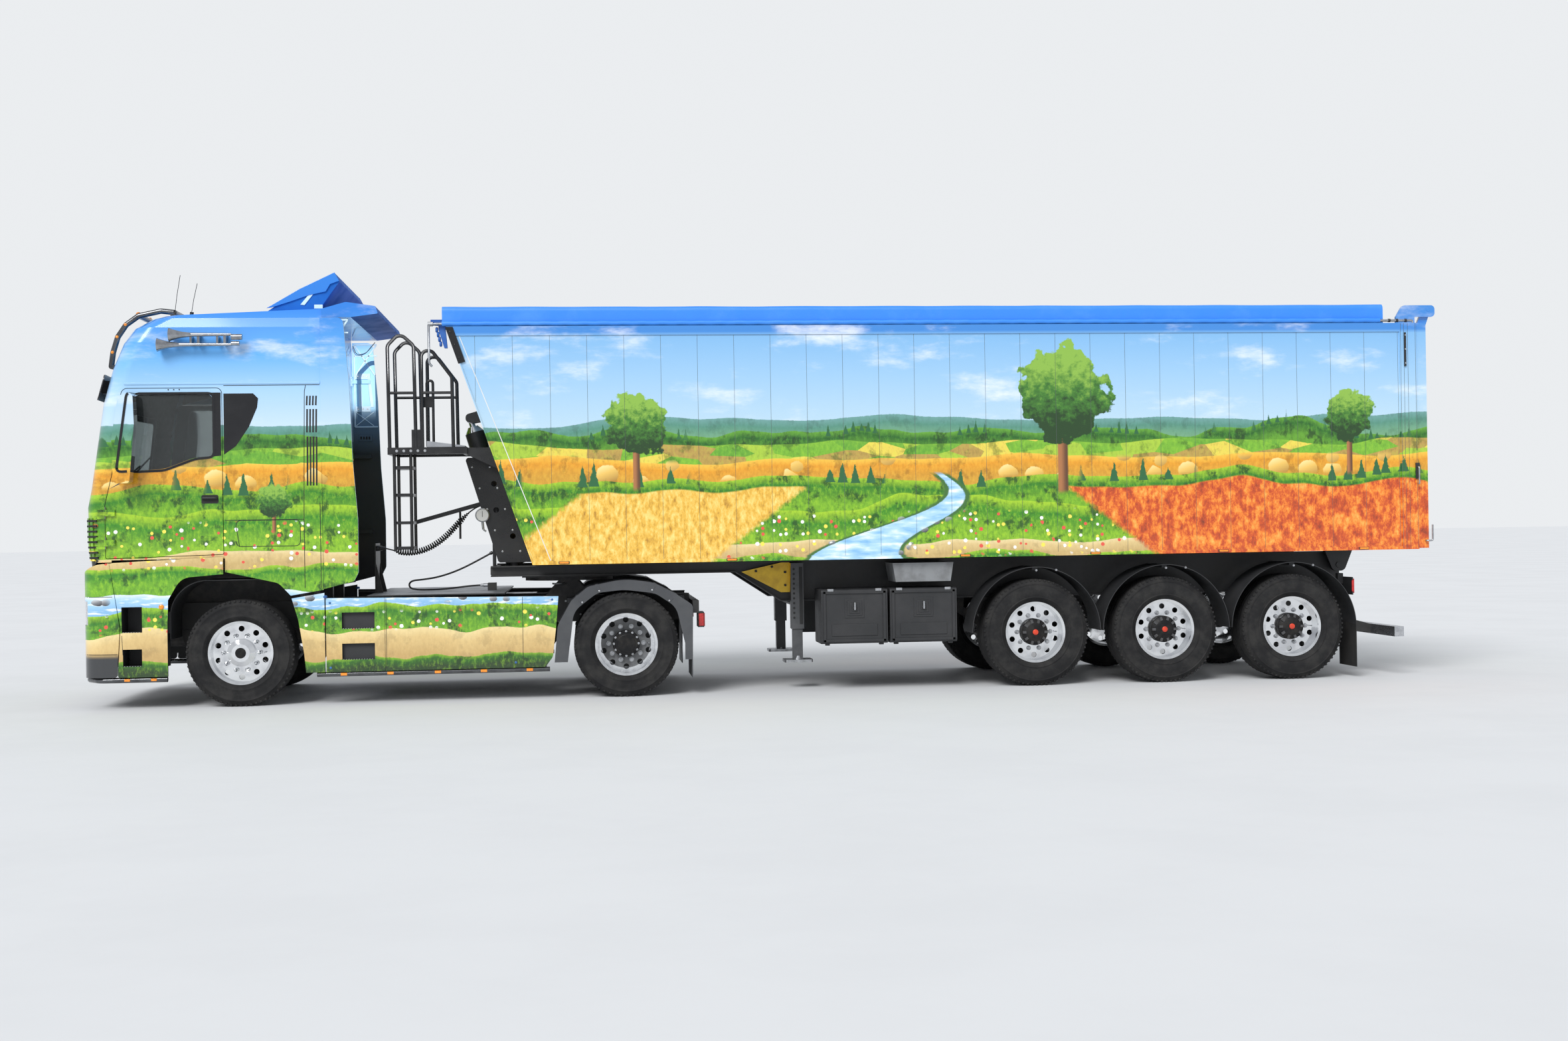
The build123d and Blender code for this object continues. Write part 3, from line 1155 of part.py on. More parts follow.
def make_tailgate():
    half = trailer_half_width - 12
    x0, x1 = gate_x
    gate = block((x0, x0 + 40), (-half, half), (body_bottom_z + 10, body_top_z))
    frame = block((x0, x1), (-half, half), (body_bottom_z + 10, body_top_z)) - block(
        (x0 - 1, x1 + 1), (-half + 110, half - 110), (body_bottom_z + 130, body_top_z - 110))
    posts = [block((x0 + 39, x1), (y - 40, y + 40), (body_bottom_z + 20, body_top_z - 20)) for y in (-390, 390)]
    pieces = [gate, frame] + posts
    for side in (-1, 1):
        ys = sorted((side * 1192, side * 1220))
        hanger = slab("Y", ys[0], ys[1], [
            (x0, body_top_z - 80), (x1, body_top_z - 80), (gate_pivot_x + 42, gate_pivot_z, 10),
            (gate_pivot_x + 10, gate_pivot_z + 40, 30), (gate_pivot_x - 42, gate_pivot_z + 20, 30)])
        hanger -= rod((gate_pivot_x, ys[0] - 1, gate_pivot_z), (gate_pivot_x, ys[1] + 1, gate_pivot_z),
                      gate_pin_radius + spindle_clear)
        pieces.append(hanger)
    return fused(pieces)


keep_on_trailer("tailgate", make_tailgate())

# Roll cover over the load space, as one arched sheet.
cover_x = (1905.0, 11205.0)
cover_half = 1240.0
cover_wall = 10.0


def make_cover():
    low = body_top_z + touch
    shape = slab("X", cover_x[0], cover_x[1], [
        (-cover_half, low), (cover_half, low), (cover_half, tarp_top_z - 50, 90), (0, tarp_top_z, 4000),
        (-cover_half, tarp_top_z - 50, 90)])
    hollow = slab("X", cover_x[0] + cover_wall, cover_x[1] - cover_wall, [
        (-cover_half + 30, low - 1), (cover_half - 30, low - 1), (cover_half - 30, tarp_top_z - 50 - cover_wall, 70),
        (0, tarp_top_z - cover_wall, 3900), (-cover_half + 30, tarp_top_z - 50 - cover_wall, 70)])
    return shape - hollow


keep_on_trailer("tarp_cover", make_cover())

# Access platform with a ladder and guard hoops, bolted to the front wall.
deck_x = (1374.0, 2118.0)
deck_y = (-1150.0, -450.0)
deck_z = (2345.0, 2411.0)
guard_tube = 17.0
ladder_x = (1430.0, 1585.0)
ladder_rungs = [1455.0, 1697.0, 1962.0, 2223.0]


def make_platform():
    pieces = [block(deck_x, deck_y, deck_z) - block(
        (deck_x[0] + 40, deck_x[1] - 40), (deck_y[0] + 40, deck_y[1] - 40), (deck_z[0] - 1, deck_z[1] - 8))]
    low = deck_z[1] - 10
    for y in (deck_y[0] + guard_tube + 3, deck_y[1] - guard_tube - 3):
        pieces.append(pipe([(1394, y, low), (1384, y, 3380), (1500, y, 3500), (1630, y, 3380), (1640, y, low)], 70, guard_tube))
        pieces.append(pipe([(1700, y, low), (1700, y, 3329), (1800, y, 3329), (1985, y, 3079), (1990, y, low)], 60, guard_tube))
        pieces.append(rod((1386, y, 2930), (1638, y, 2930), guard_tube * 0.8))
        pieces.append(rod((1700, y, 2930), (1988, y, 2930), guard_tube * 0.8))
    for y in (deck_y[0] + 60, deck_y[0] + 460):
        for x in ladder_x:
            pieces.append(rod((x, y, ladder_rungs[0] - 25), (x, y, deck_z[1] - 4), 15))
    for z in ladder_rungs:
        pieces.append(block((ladder_x[0] - 10, ladder_x[1] + 10), (deck_y[0] + 60, deck_y[0] + 460), (z - 14, z + 14)))
    for y in (deck_y[0] + 60, deck_y[1] - 60):
        pieces.append(slab("Y", y - 25, y + 25, [
            (deck_x[1] - 20, 2350), (wall_x(2200) - touch, 2200), (wall_x(2405) - touch, 2405), (deck_x[1] - 20, 2405)]))
    return fused(pieces)


# Housing beside the ram: two folded side plates on the front wall, the left one under the platform.
housing_y = 440.0
housing_sheet = 10.0
housing_lip = 46.0
housing_z = (trailer_frame_top_z + 30, 2334.0)
housing_depth = (352.0, 312.0)
housing_holes = [(120.0, 0.25), (190.0, 0.5), (120.0, 0.75)]


def make_housing(side):
    low, high = housing_z
    front_low, front_high = wall_x(low) - housing_depth[0], wall_x(high) - housing_depth[1]
    rear_low, rear_high = wall_x(low) - touch, wall_x(high) - touch
    ys = sorted((side * housing_y, side * (housing_y + housing_sheet)))
    plate = slab("Y", ys[0], ys[1], [(front_low, low, 30), (rear_low, low), (rear_high, high), (front_high, high, 30)])
    for depth, share in housing_holes:
        z = low + (high - low) * share
        x = wall_x(z) - depth
        plate -= rod((x, ys[0] - 1, z), (x, ys[1] + 1, z), 28)
    lip_y = sorted((side * (housing_y - housing_lip), side * (housing_y + housing_sheet)))
    lip = slab("Y", lip_y[0], lip_y[1], [
        (front_low + 25, low + 34), (front_low + 37, low + 34), (front_high + 25, high - 34), (front_high + 13, high - 34)])
    flange_y = sorted((side * housing_y, side * (housing_y + housing_lip)))
    flange = slab("Y", flange_y[0], flange_y[1], [
        (rear_low, low), (rear_high, high), (rear_high - housing_sheet, high), (rear_low - housing_sheet, low)])
    return fused([plate, lip, flange])


keep_on_trailer("access_platform", fused([make_platform(), make_housing(-1)]), make_housing(1))

# Telescopic ram: barrel, four hollow stages and the last rod with its eye.
ram_closed = hypot(ram_eye_x - ram_foot_x, ram_eye_z - ram_foot_z)
ram_lean = degrees(atan2(ram_foot_x - ram_eye_x, ram_eye_z - ram_foot_z))
ram_foot_gap = 62.0
ram_barrel_top = ram_closed - 140
stage_step = 12.0


def ram_place(shape):
    """From the ram's own axis, drawn upright at the origin, to its place on the trailer."""
    return Pos(ram_foot_x, 0, ram_foot_z) * Rot(0, -ram_lean, 0) * shape


def upright(low, high, radius):
    return Pos(0, 0, (low + high) / 2) * Cylinder(radius, high - low)


def eye(height, radius, half, bore):
    disc = Pos(0, 0, height) * Rot(90, 0, 0) * Cylinder(radius, 2 * half)
    return disc - Pos(0, 0, height) * Rot(90, 0, 0) * Cylinder(bore, 2 * half + 2)


def make_ram():
    barrel = upright(ram_foot_gap, ram_barrel_top, ram_barrel_radius) - upright(
        ram_foot_gap + 12, ram_barrel_top + 1, ram_barrel_radius - ram_wall)
    neck = upright(0, ram_foot_gap + 6, 34) - Pos(0, 0, 0) * Rot(90, 0, 0) * Cylinder(38, 200)
    foot = fused([eye(0, 42, 48, ram_pin_radius + spindle_clear), neck])
    pieces = {"ram_barrel": barrel.fuse(foot)}
    for i in range(1, ram_stages + 1):
        radius = ram_barrel_radius - i * (ram_wall + ram_stage_gap)
        low, high = ram_foot_gap + 20, ram_barrel_top + i * stage_step
        tube = upright(low, high, radius)
        if i < ram_stages:
            tube -= upright(low - 1, high + 1, radius - ram_wall)
        else:
            tube = fused([tube, upright(high - 5, ram_closed - 30, 30), eye(ram_closed, 42, 50, ram_pin_radius)])
        pieces[f"ram_stage_{i}"] = tube
    return pieces


for name, shape in make_ram().items():
    keep_on_trailer(name, ram_place(shape))

export_all()
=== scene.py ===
import bmesh
import bpy
import math
from mathutils import Matrix, Vector, noise
from mathutils.bvhtree import BVHTree


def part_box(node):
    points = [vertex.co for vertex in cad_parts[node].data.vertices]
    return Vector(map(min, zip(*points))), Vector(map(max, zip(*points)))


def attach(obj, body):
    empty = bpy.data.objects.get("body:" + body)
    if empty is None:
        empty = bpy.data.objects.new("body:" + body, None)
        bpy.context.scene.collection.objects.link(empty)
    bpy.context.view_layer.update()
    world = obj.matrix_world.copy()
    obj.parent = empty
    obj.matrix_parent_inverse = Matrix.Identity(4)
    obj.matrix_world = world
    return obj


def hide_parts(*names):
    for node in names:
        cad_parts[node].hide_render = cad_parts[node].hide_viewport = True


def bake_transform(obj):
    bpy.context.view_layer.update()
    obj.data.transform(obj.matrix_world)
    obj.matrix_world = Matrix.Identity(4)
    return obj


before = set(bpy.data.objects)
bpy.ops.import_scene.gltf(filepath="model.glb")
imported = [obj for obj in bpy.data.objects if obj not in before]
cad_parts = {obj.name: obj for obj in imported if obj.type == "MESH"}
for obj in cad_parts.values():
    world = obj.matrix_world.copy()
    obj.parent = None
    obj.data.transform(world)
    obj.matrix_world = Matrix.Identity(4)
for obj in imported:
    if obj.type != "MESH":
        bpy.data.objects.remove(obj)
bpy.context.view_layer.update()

# The photographer's place. The camera stands about 17 m off the left side, a
# little above wheel height, and looks slightly towards the tail. Metres and
# radians, as everywhere below.
camera_place = Vector((-1.9136, -18.5313, 1.6375))
camera_yaw, camera_pitch, camera_roll = 0.1102, 0.0014, -0.0159
camera_lens, camera_sensor, camera_reach = 41.39, 36.0, 400


def placed(name, data):
    """A new object in the scene."""
    made = bpy.data.objects.new(name, data)
    bpy.context.scene.collection.objects.link(made)
    return made


level = Vector((math.cos(camera_yaw), -math.sin(camera_yaw), 0))
ahead = Vector((-level.y, level.x, 0)) * math.cos(camera_pitch) + Vector((0, 0, math.sin(camera_pitch)))
upward = level.cross(ahead)
across = level * math.cos(camera_roll) + upward * math.sin(camera_roll)
crown = upward * math.cos(camera_roll) - level * math.sin(camera_roll)
camera = placed("camera", bpy.data.cameras.new("camera"))
camera.data.lens, camera.data.sensor_width, camera.data.clip_end = camera_lens, camera_sensor, camera_reach
camera.matrix_world = Matrix.Translation(camera_place) @ Matrix((across, crown, -ahead)).transposed().to_4x4()
bpy.context.scene.camera = camera
bpy.context.scene.view_settings.view_transform = "Standard"


# Studio floor and light. A plain pale floor, a soft sky all round, one wide soft
# sun from the front left, and a small lamp into the gap behind the cab, which the
# sun doesn't reach. The floor's material brings the classes that mix every finish.
class Value:
    """A node's output while a tree is wired. Sums and products of it are nodes too."""

    def __init__(self, wiring, output):
        self.wiring, self.output = wiring, output

    def __add__(self, other):
        return self.wiring.math("ADD", self, other)

    def __sub__(self, other):
        return self.wiring.math("SUBTRACT", self, other)

    def __rsub__(self, other):
        return self.wiring.math("SUBTRACT", other, self)

    def __mul__(self, other):
        return self.wiring.math("MULTIPLY", self, other)

    def __truediv__(self, other):
        return self.wiring.math("DIVIDE", self, other)

    def __rtruediv__(self, other):
        return self.wiring.math("DIVIDE", other, self)

    __radd__, __rmul__ = __add__, __mul__


class Wiring:
    """A node tree while it is wired: short calls that add nodes and give their outputs."""

    def __init__(self, tree):
        self.tree = tree

    def feed(self, socket, value):
        """Joins an output to a socket, or sets the socket's own value."""
        if isinstance(value, Value):
            self.tree.links.new(value.output, socket)
        elif value is not None:
            socket.default_value = (*value, 1) if socket.type == "RGBA" and len(value) == 3 else value

    def add(self, kind, *inputs, named={}, **settings):
        """A new node, with its inputs in order or by name, and its outputs by name."""
        node = self.tree.nodes.new(kind)
        for key, value in settings.items():
            setattr(node, key, value)
        for socket, value in [*zip(node.inputs, inputs), *((node.inputs[key], named[key]) for key in named)]:
            self.feed(socket, value)
        return {output.identifier: Value(self, output) for output in node.outputs}

    def get(self, kind, *inputs, named={}, **settings):
        """A new node's first output."""
        return next(iter(self.add(kind, *inputs, named=named, **settings).values()))

    def math(self, operation, a, b=None, clamp=False):
        return self.get("ShaderNodeMath", a, b, operation=operation, use_clamp=clamp)

    def mix(self, share, a, b):
        """The colour a where share is 0, b where it is 1."""
        return self.add("ShaderNodeMix", data_type="RGBA", named={0: share, 6: a, 7: b})["Result_Color"]

    def xyz(self, x=0.0, y=0.0, z=0.0):
        return self.get("ShaderNodeCombineXYZ", x, y, z)


class Finish(Wiring):
    """One material while it is mixed."""

    def __init__(self, name, roughness=0.5, metallic=0.0, **values):
        self.material = bpy.data.materials.new(name)
        self.material.use_nodes = True
        super().__init__(self.material.node_tree)
        self.set(Roughness=roughness, Metallic=metallic, **values)
        self.point = self.add("ShaderNodeTexCoord")["Object"]
        self.x, self.y, self.z = self.add("ShaderNodeSeparateXYZ", self.point).values()

    def set(self, **values):
        for key, value in values.items():
            self.feed(self.tree.nodes["Principled BSDF"].inputs[key.replace("_", " ")], value)

    def vector(self, operation, a, b=None):
        return self.add("ShaderNodeVectorMath", a, b, operation=operation)

    def stretched(self, at, by):
        return self.vector("MULTIPLY", at, by)["Vector"]

    def noise(self, scale, detail=3.0, rough=0.5, stretch=None, at=None):
        at = at or self.point
        return self.get("ShaderNodeTexNoise", named={
            "Vector": self.stretched(at, stretch) if stretch else at,
            "Scale": scale, "Detail": detail, "Roughness": rough})

    def wave(self, at, scale, **finer):
        """Noise along one line."""
        return self.get("ShaderNodeTexNoise", noise_dimensions="1D", named={"W": at, "Scale": scale, **finer})

    def cells(self, at, scale, randomness, kind="2D"):
        """Voronoi cells: their outputs by name."""
        return self.add("ShaderNodeTexVoronoi", voronoi_dimensions=kind, named={
            "W" if kind == "1D" else "Vector": at, "Scale": scale, "Randomness": randomness})

    def chances(self, cell):
        """Three random numbers for each cell."""
        return list(self.add("ShaderNodeSeparateColor", cell["Color"]).values())

    def share(self, value, low, high, kind="LINEAR"):
        """0 at low and below, 1 at high and above."""
        return self.get("ShaderNodeMapRange", interpolation_type=kind, named={
            "Value": value, "From Min": low, "From Max": high})

    def rise(self, value, low, high):
        """As share, and smooth between."""
        return self.share(value, low, high, "SMOOTHSTEP")

    def ramp(self, value, *stops, kind="LINEAR"):
        ramped = self.get("ShaderNodeValToRGB", value)
        band = ramped.output.node.color_ramp
        band.interpolation = kind
        while len(band.elements) < len(stops):
            band.elements.new(0.5)
        for element, (at, colour) in zip(band.elements, stops):
            element.position, element.color = at, (*colour, 1)
        return ramped

    def bump(self, height, strength, depth):
        self.set(Normal=self.get("ShaderNodeBump", named={
            "Strength": strength, "Distance": depth, "Height": height}))


def mottled(name, colour, darker, scale=3.0, roughness=0.5, grain=0.0, **values):
    """A finish of one colour with soft uneven shade, and a fine moulded or cast grain."""
    made = Finish(name, roughness, **values)
    shade = made.rise(made.noise(scale, detail=5.0, rough=0.6), 0.35, 0.7)
    made.set(Base_Color=made.mix(shade, colour, darker), Roughness=shade * 0.12 + (roughness - 0.04))
    if grain:
        made.bump(made.noise(300.0, detail=2.0), grain, 0.002)
    return made.material


def studio_lamp(name, kind, energy, way, place=(0, 0, 0), **settings):
    """A lamp that shines back along a way."""
    made = placed(name, bpy.data.lights.new(name, kind))
    for key, value in {"energy": energy, **settings}.items():
        setattr(made.data, key, value)
    made.location, made.rotation_euler = place, way.to_track_quat("Z", "Y").to_euler()


floor_size = 160.0
floor_colour, floor_shade = (0.72, 0.73, 0.74), (0.69, 0.70, 0.71)
sky_shown, sky_light = (0.83, 0.85, 0.87), (0.62, 0.64, 0.67)
sun_power, sun_spread, sun_from = 2.3, math.radians(28), Vector((-5.0, -9.0, 9.0))
gap_power, gap_cone, gap_blend = 3000.0, 0.108, 0.8
gap_from, gap_to = Vector((-2.232, -7.5, 3.6)), Vector((-4.212, 1.185, 3.27))

floor = placed("floor", bpy.data.meshes.new("floor"))
floor.data.from_pydata([
    (x * floor_size, y * floor_size, 0) for x, y in ((-1, -1), (1, -1), (1, 1), (-1, 1))], [], [(0, 1, 2, 3)])
floor.data.materials.append(mottled("studio_floor", floor_colour, floor_shade, scale=0.6, roughness=0.75))
studio_lamp("sun", "SUN", sun_power, sun_from, angle=sun_spread)
studio_lamp("gap_lamp", "SPOT", gap_power, gap_from - gap_to, gap_from, spot_size=gap_cone, spot_blend=gap_blend)

world = bpy.data.worlds.new("sky")
bpy.context.scene.world = world
world.use_nodes = True
sky = Wiring(world.node_tree)
rays = sky.add("ShaderNodeLightPath")
seen = sky.math("MAXIMUM", rays["Is Camera Ray"], rays["Is Transmission Ray"])
sky.feed(sky.tree.nodes["Background"].inputs["Color"], sky.mix(seen, sky_light, sky_shown))


# Landscape paint. The whole vehicle wears an airbrushed country scene under
# clear lacquer: sky, hills, fields, water, trees and stones, made up here from
# rules so that it is nobody's picture. It runs along the sides and round the nose.
horizon, round_nose = 2.56, 0.9
land_layers = [  # ridge height, lift, span, seed; colours of rim, body and foot; foot depth, strokes, what stands there
    (2.63, 0.09, 1.9, 3.0, (0.16, 0.36, 0.34), (0.09, 0.28, 0.20), (0.20, 0.42, 0.22), 0.22, 0.3, ""),
    (2.52, 0.11, 1.1, 11.0, (0.13, 0.38, 0.03), (0.015, 0.13, 0.010), (0.12, 0.34, 0.02), 0.20, 0.8, "low trees"),
    (2.40, 0.08, 1.7, 17.0, (0.38, 0.62, 0.03), (0.08, 0.32, 0.015), (0.22, 0.48, 0.02), 0.16, 0.6, "fields"),
    (2.25, 0.09, 2.3, 21.0, (0.94, 0.56, 0.06), (0.80, 0.34, 0.015), (0.66, 0.34, 0.03), 0.20, 0.5, "bales"),
    (2.06, 0.10, 1.4, 31.0, (0.36, 0.60, 0.02), (0.03, 0.22, 0.008), (0.20, 0.46, 0.015), 0.26, 0.9, "tall trees"),
    (1.84, 0.12, 1.2, 41.0, (0.40, 0.64, 0.02), (0.04, 0.26, 0.008), (0.24, 0.50, 0.015), 0.34, 0.9, ""),
    (1.44, 0.05, 1.3, 51.0, (0.86, 0.70, 0.36), (0.74, 0.55, 0.24), (0.60, 0.42, 0.16), 0.12, 0.3, ""),
    (1.31, 0.05, 0.8, 57.0, (0.36, 0.62, 0.02), (0.03, 0.24, 0.008), (0.16, 0.42, 0.015), 0.16, 0.9, ""),
    (1.06, 0.06, 0.9, 61.0, (0.80, 0.90, 0.97), (0.42, 0.68, 0.90), (0.25, 0.50, 0.78), 0.14, 0.1, "water"),
    (0.92, 0.05, 0.7, 71.0, (0.34, 0.60, 0.02), (0.03, 0.20, 0.008), (0.14, 0.38, 0.015), 0.20, 0.9, ""),
    (0.70, 0.10, 0.9, 83.0, (0.88, 0.70, 0.34), (0.74, 0.53, 0.22), (0.58, 0.38, 0.14), 0.25, 0.25, ""),
    (0.44, 0.05, 0.6, 97.0, (0.24, 0.48, 0.02), (0.03, 0.15, 0.008), (0.02, 0.05, 0.01), 0.10, 0.9, ""),
]
crop_layer = land_layers[4]
tree_heights = {"low trees": 0.13, "tall trees": 0.24}
bales_low, bales_high = 2.06, 2.24
broadleaf_trees = [  # along, crown height, crown radius, foot height
    (-2.55, 2.60, 0.30, 1.98), (1.62, 2.86, 0.46, 1.90), (4.55, 2.64, 0.26, 2.05), (-5.9, 1.92, 0.16, 1.62)]
stream_top, stream_foot, crop_foot = 2.12, 1.24, 1.2
cloud_white, conifer_green, bank_green = (0.93, 0.95, 0.97), (0.02, 0.13, 0.04), (0.05, 0.16, 0.03)
foam_white = (0.88, 0.95, 0.98)
field_colours = ((0.0, (0.20, 0.48, 0.03)), (0.34, (0.44, 0.62, 0.05)), (0.52, (0.95, 0.70, 0.10)),
                 (0.70, (0.55, 0.30, 0.08)), (0.86, (0.14, 0.40, 0.03)))
bale_colours = ((0.0, (0.36, 0.18, 0.03)), (0.6, (0.86, 0.55, 0.12)), (1.0, (1.0, 0.82, 0.36)))
stream_colours = ((0.30, (0.20, 0.48, 0.80)), (0.52, (0.48, 0.74, 0.94)), (0.66, (0.92, 0.97, 1.0)))
bloom_colours = ((0.30, (0.20, 0.03, 0.01)), (0.46, (0.62, 0.08, 0.01)), (0.55, (0.90, 0.24, 0.02)),
                 (0.68, (1.0, 0.50, 0.10)))
straw_colours = ((0.30, (0.42, 0.20, 0.02)), (0.48, (0.86, 0.50, 0.06)), (0.66, (1.0, 0.78, 0.25)))
stone_colours = ((0.1, (0.03, 0.03, 0.035)), (0.5, (0.22, 0.23, 0.25)), (0.95, (0.62, 0.64, 0.66)))
petal_colours = ((0.0, (0.95, 0.95, 0.92)), (0.4, (0.98, 0.80, 0.10)), (0.7, (0.80, 0.10, 0.06)))
leaf_colours = ((0.30, (0.010, 0.05, 0.006)), (0.50, (0.05, 0.20, 0.02)), (0.72, (0.26, 0.48, 0.06)))
bark_light, bark_dark = (0.42, 0.17, 0.06), (0.12, 0.05, 0.02)


def landscape(paint, sky_stops, sky_top):
    """The picture's colour at each point of the painted sides."""
    mix, rise, ramp = paint.mix, paint.rise, paint.ramp
    u, v = paint.x + paint.y * round_nose, paint.z
    uv = paint.xyz(u, v)
    cloud = paint.noise(1.3, detail=6.0, rough=0.62, stretch=(0.55, 1.5, 1), at=uv)
    fine = paint.noise(30.0, detail=4.0, rough=0.7, stretch=(1.0, 0.5, 1), at=uv) - 0.5
    tufts = paint.noise(6.0, detail=5.0, rough=0.6, at=uv)

    def over(value):
        return paint.math("GREATER_THAN", value, 0.0)

    def ridge(layer, along):
        """The height of a layer's wavy rim."""
        base, lift, span, seed = layer[:4]
        return (paint.wave(along + seed, 1 / span, Detail=2.0, Roughness=0.45) - 0.5) * 3.2 * lift + base

    def window(value, low, high, soft=0.03):
        return rise(value, low - soft, low + soft) * rise(value, high + soft, high - soft)

    def spots(size, share, squash, seed):
        """Round things strewn at random: how far inside, the light on them, and a chance for each."""
        at = paint.vector("ADD", paint.stretched(uv, (1.0, squash, 1)), (seed, seed, 0))["Vector"]
        cell = paint.cells(at, 1 / size, 0.85)
        chance = paint.chances(cell)
        off = paint.vector("SUBTRACT", at, cell["Position"])["Vector"]
        light = paint.vector("DOT_PRODUCT", off, (-0.5 / size, 1.2 / size, 0))["Value"]
        inside = rise(chance[1] * 0.16 + 0.22 - (cell["Distance"] + fine * 0.12), 0.0, 0.04)
        return inside * paint.math("LESS_THAN", chance[0], share), light + 0.5, chance[2]

    def conifers(layer, tall):
        """Dark pointed trees that stand in groups along a hill's ridge."""
        cell = paint.cells(u, 1 / (tall * 0.62), 0.7, "1D")
        chance = paint.chances(cell)
        up = v - (ridge(layer, cell["W"]) - 0.05)
        part = up / ((chance[1] * 0.5 + 0.55) * tall)
        half = (1.0 - part) * (tall * 0.22) + fine * (tall * 0.22)
        grove = paint.wave(u + layer[3] * 2, 0.8)
        standing_here = rise(grove, 0.50, 0.54) * paint.math("LESS_THAN", chance[0], 0.75)
        return rise(half - paint.math("ABSOLUTE", u - cell["W"]), 0.0, 0.006) * over(up) * standing_here

    def lay(layer, picture):
        """One layer of land over the picture, with what stands on it."""
        rim, body, foot, deep, strokes, growth = layer[4:]
        below = ridge(layer, u) - v
        land = ramp(paint.share(below, 0.0, deep), (0.0, rim), (0.35, body), (1.0, foot))
        if growth == "fields":
            cell = paint.cells(paint.stretched(uv, (1.0, 3.2, 1)), 2.6, 0.9)
            land = mix(0.85, land, ramp(paint.chances(cell)[0], *field_colours, kind="CONSTANT"))
        if growth == "water":
            ripple = paint.noise(7.0, detail=4.0, stretch=(1.0, 5.0, 1), at=uv)
            land = mix(rise(ripple, 0.5, 0.66), land, foam_white)
        dark = paint.math("ADD", rise(tufts, 0.50, 0.66), fine * 2.4, clamp=True)
        land = mix(dark * strokes, land, tuple(c * 0.30 for c in body))
        light = paint.math("MULTIPLY", fine, -3.0, clamp=True)
        land = mix(light * (strokes * 0.8), land, tuple(min(1, c * 1.25) for c in rim))
        picture = mix(rise(below + fine * 0.016, 0.0, 0.006), picture, land)
        if growth in tree_heights:
            picture = mix(conifers(layer, tree_heights[growth]), picture, conifer_green)
        if growth == "bales":
            bale, light, _ = spots(0.30, 0.5, 1.15, 5.0)
            picture = mix(bale * window(v, bales_low, bales_high), picture, ramp(light, *bale_colours))
        return picture

    picture = ramp(paint.share(v, horizon, sky_top), *sky_stops)
    picture = mix(rise(cloud, 0.52, 0.72) * 0.8, picture, cloud_white)
    for layer in land_layers:
        picture = lay(layer, picture)

    # the stream widens towards the viewer, between stony banks
    fall = paint.share(v, stream_top, stream_foot)
    course = paint.math("SINE", fall * 5.2) * 0.34 + 0.35 + fall * -0.5
    width = paint.math("POWER", fall, 1.6) * 0.46 + 0.03
    away = paint.math("ABSOLUTE", u - course) - (width + fine * 0.03)
    reached = rise(v, stream_top, stream_top - 0.05)
    bank = rise(away, 0.07, 0.03) * reached
    picture = mix(bank, picture, bank_green)
    ripple = paint.noise(5.0, detail=5.0, stretch=(0.8, 3.5, 1), at=uv)
    picture = mix(rise(away, 0.01, -0.01) * reached, picture, ramp(ripple, *stream_colours))

    # a red and orange flower field at the rear, a golden one before it
    near = ridge(crop_layer, u) - 0.10 - v
    start = (2.0 - v) * 1.3 + fine * 0.2
    land_above = paint.math("GREATER_THAN", v, crop_foot)
    crop = rise(near, 0.0, 0.02) * window(u - start, 1.6, 5.3, 0.05) * land_above
    blooms = paint.noise(11.0, detail=6.0, rough=0.75, stretch=(1.0, 0.55, 1), at=uv)
    picture = mix(crop, picture, ramp(blooms, *bloom_colours))
    stubble = rise(near, 0.0, 0.02) * window(u + start, -3.0, -0.9, 0.05) * land_above
    straw = paint.noise(9.0, detail=6.0, rough=0.7, stretch=(2.2, 1.0, 1), at=uv)
    picture = mix(stubble, picture, ramp(straw, *straw_colours))

    # stones by the water, and flowers in the grass
    def either(a, b):
        return paint.math("MAXIMUM", a, b)

    stone, light, _ = spots(0.13, 0.75, 1.35, 2.0)
    heaps = rise(paint.noise(1.1, detail=1.0, at=uv), 0.50, 0.56)
    by_water = either(window(away, 0.0, 0.10) * rise(fall, 0.35, 0.6), window(v, 0.93, 1.03, 0.02) * heaps)
    picture = mix(stone * by_water, picture, ramp(light, *stone_colours))
    flower, _, kind = spots(0.055, 0.30, 1.0, 9.0)
    grass = either(window(v, 1.30, 1.72), window(v, 0.70, 0.86)) * (1.0 - either(crop, either(stubble, bank)))
    picture = mix(flower * grass, picture, ramp(kind, *petal_colours, kind="CONSTANT"))

    for along, high, radius, low in broadleaf_trees:
        side = u - along
        lobes = (paint.noise(5.0 / radius * 0.45, detail=4.0, at=uv) - 0.5) * (1.1 * radius)
        leaf = radius - (paint.vector("DISTANCE", uv, (along, high, 0))["Value"] + lobes)
        trunk = rise(paint.math("ABSOLUTE", side), radius * 0.13, radius * 0.09) * window(v, low, high)
        bark = mix(rise(side, -radius * 0.06, radius * 0.08), bark_light, bark_dark)
        picture = mix(trunk, picture, bark)
        lit = paint.noise(16.0 / radius * 0.3, detail=5.0, rough=0.7, at=uv) + (v - high) * (0.35 / radius)
        picture = mix(rise(leaf, 0.0, 0.02), picture, ramp(lit, *leaf_colours))
    return picture


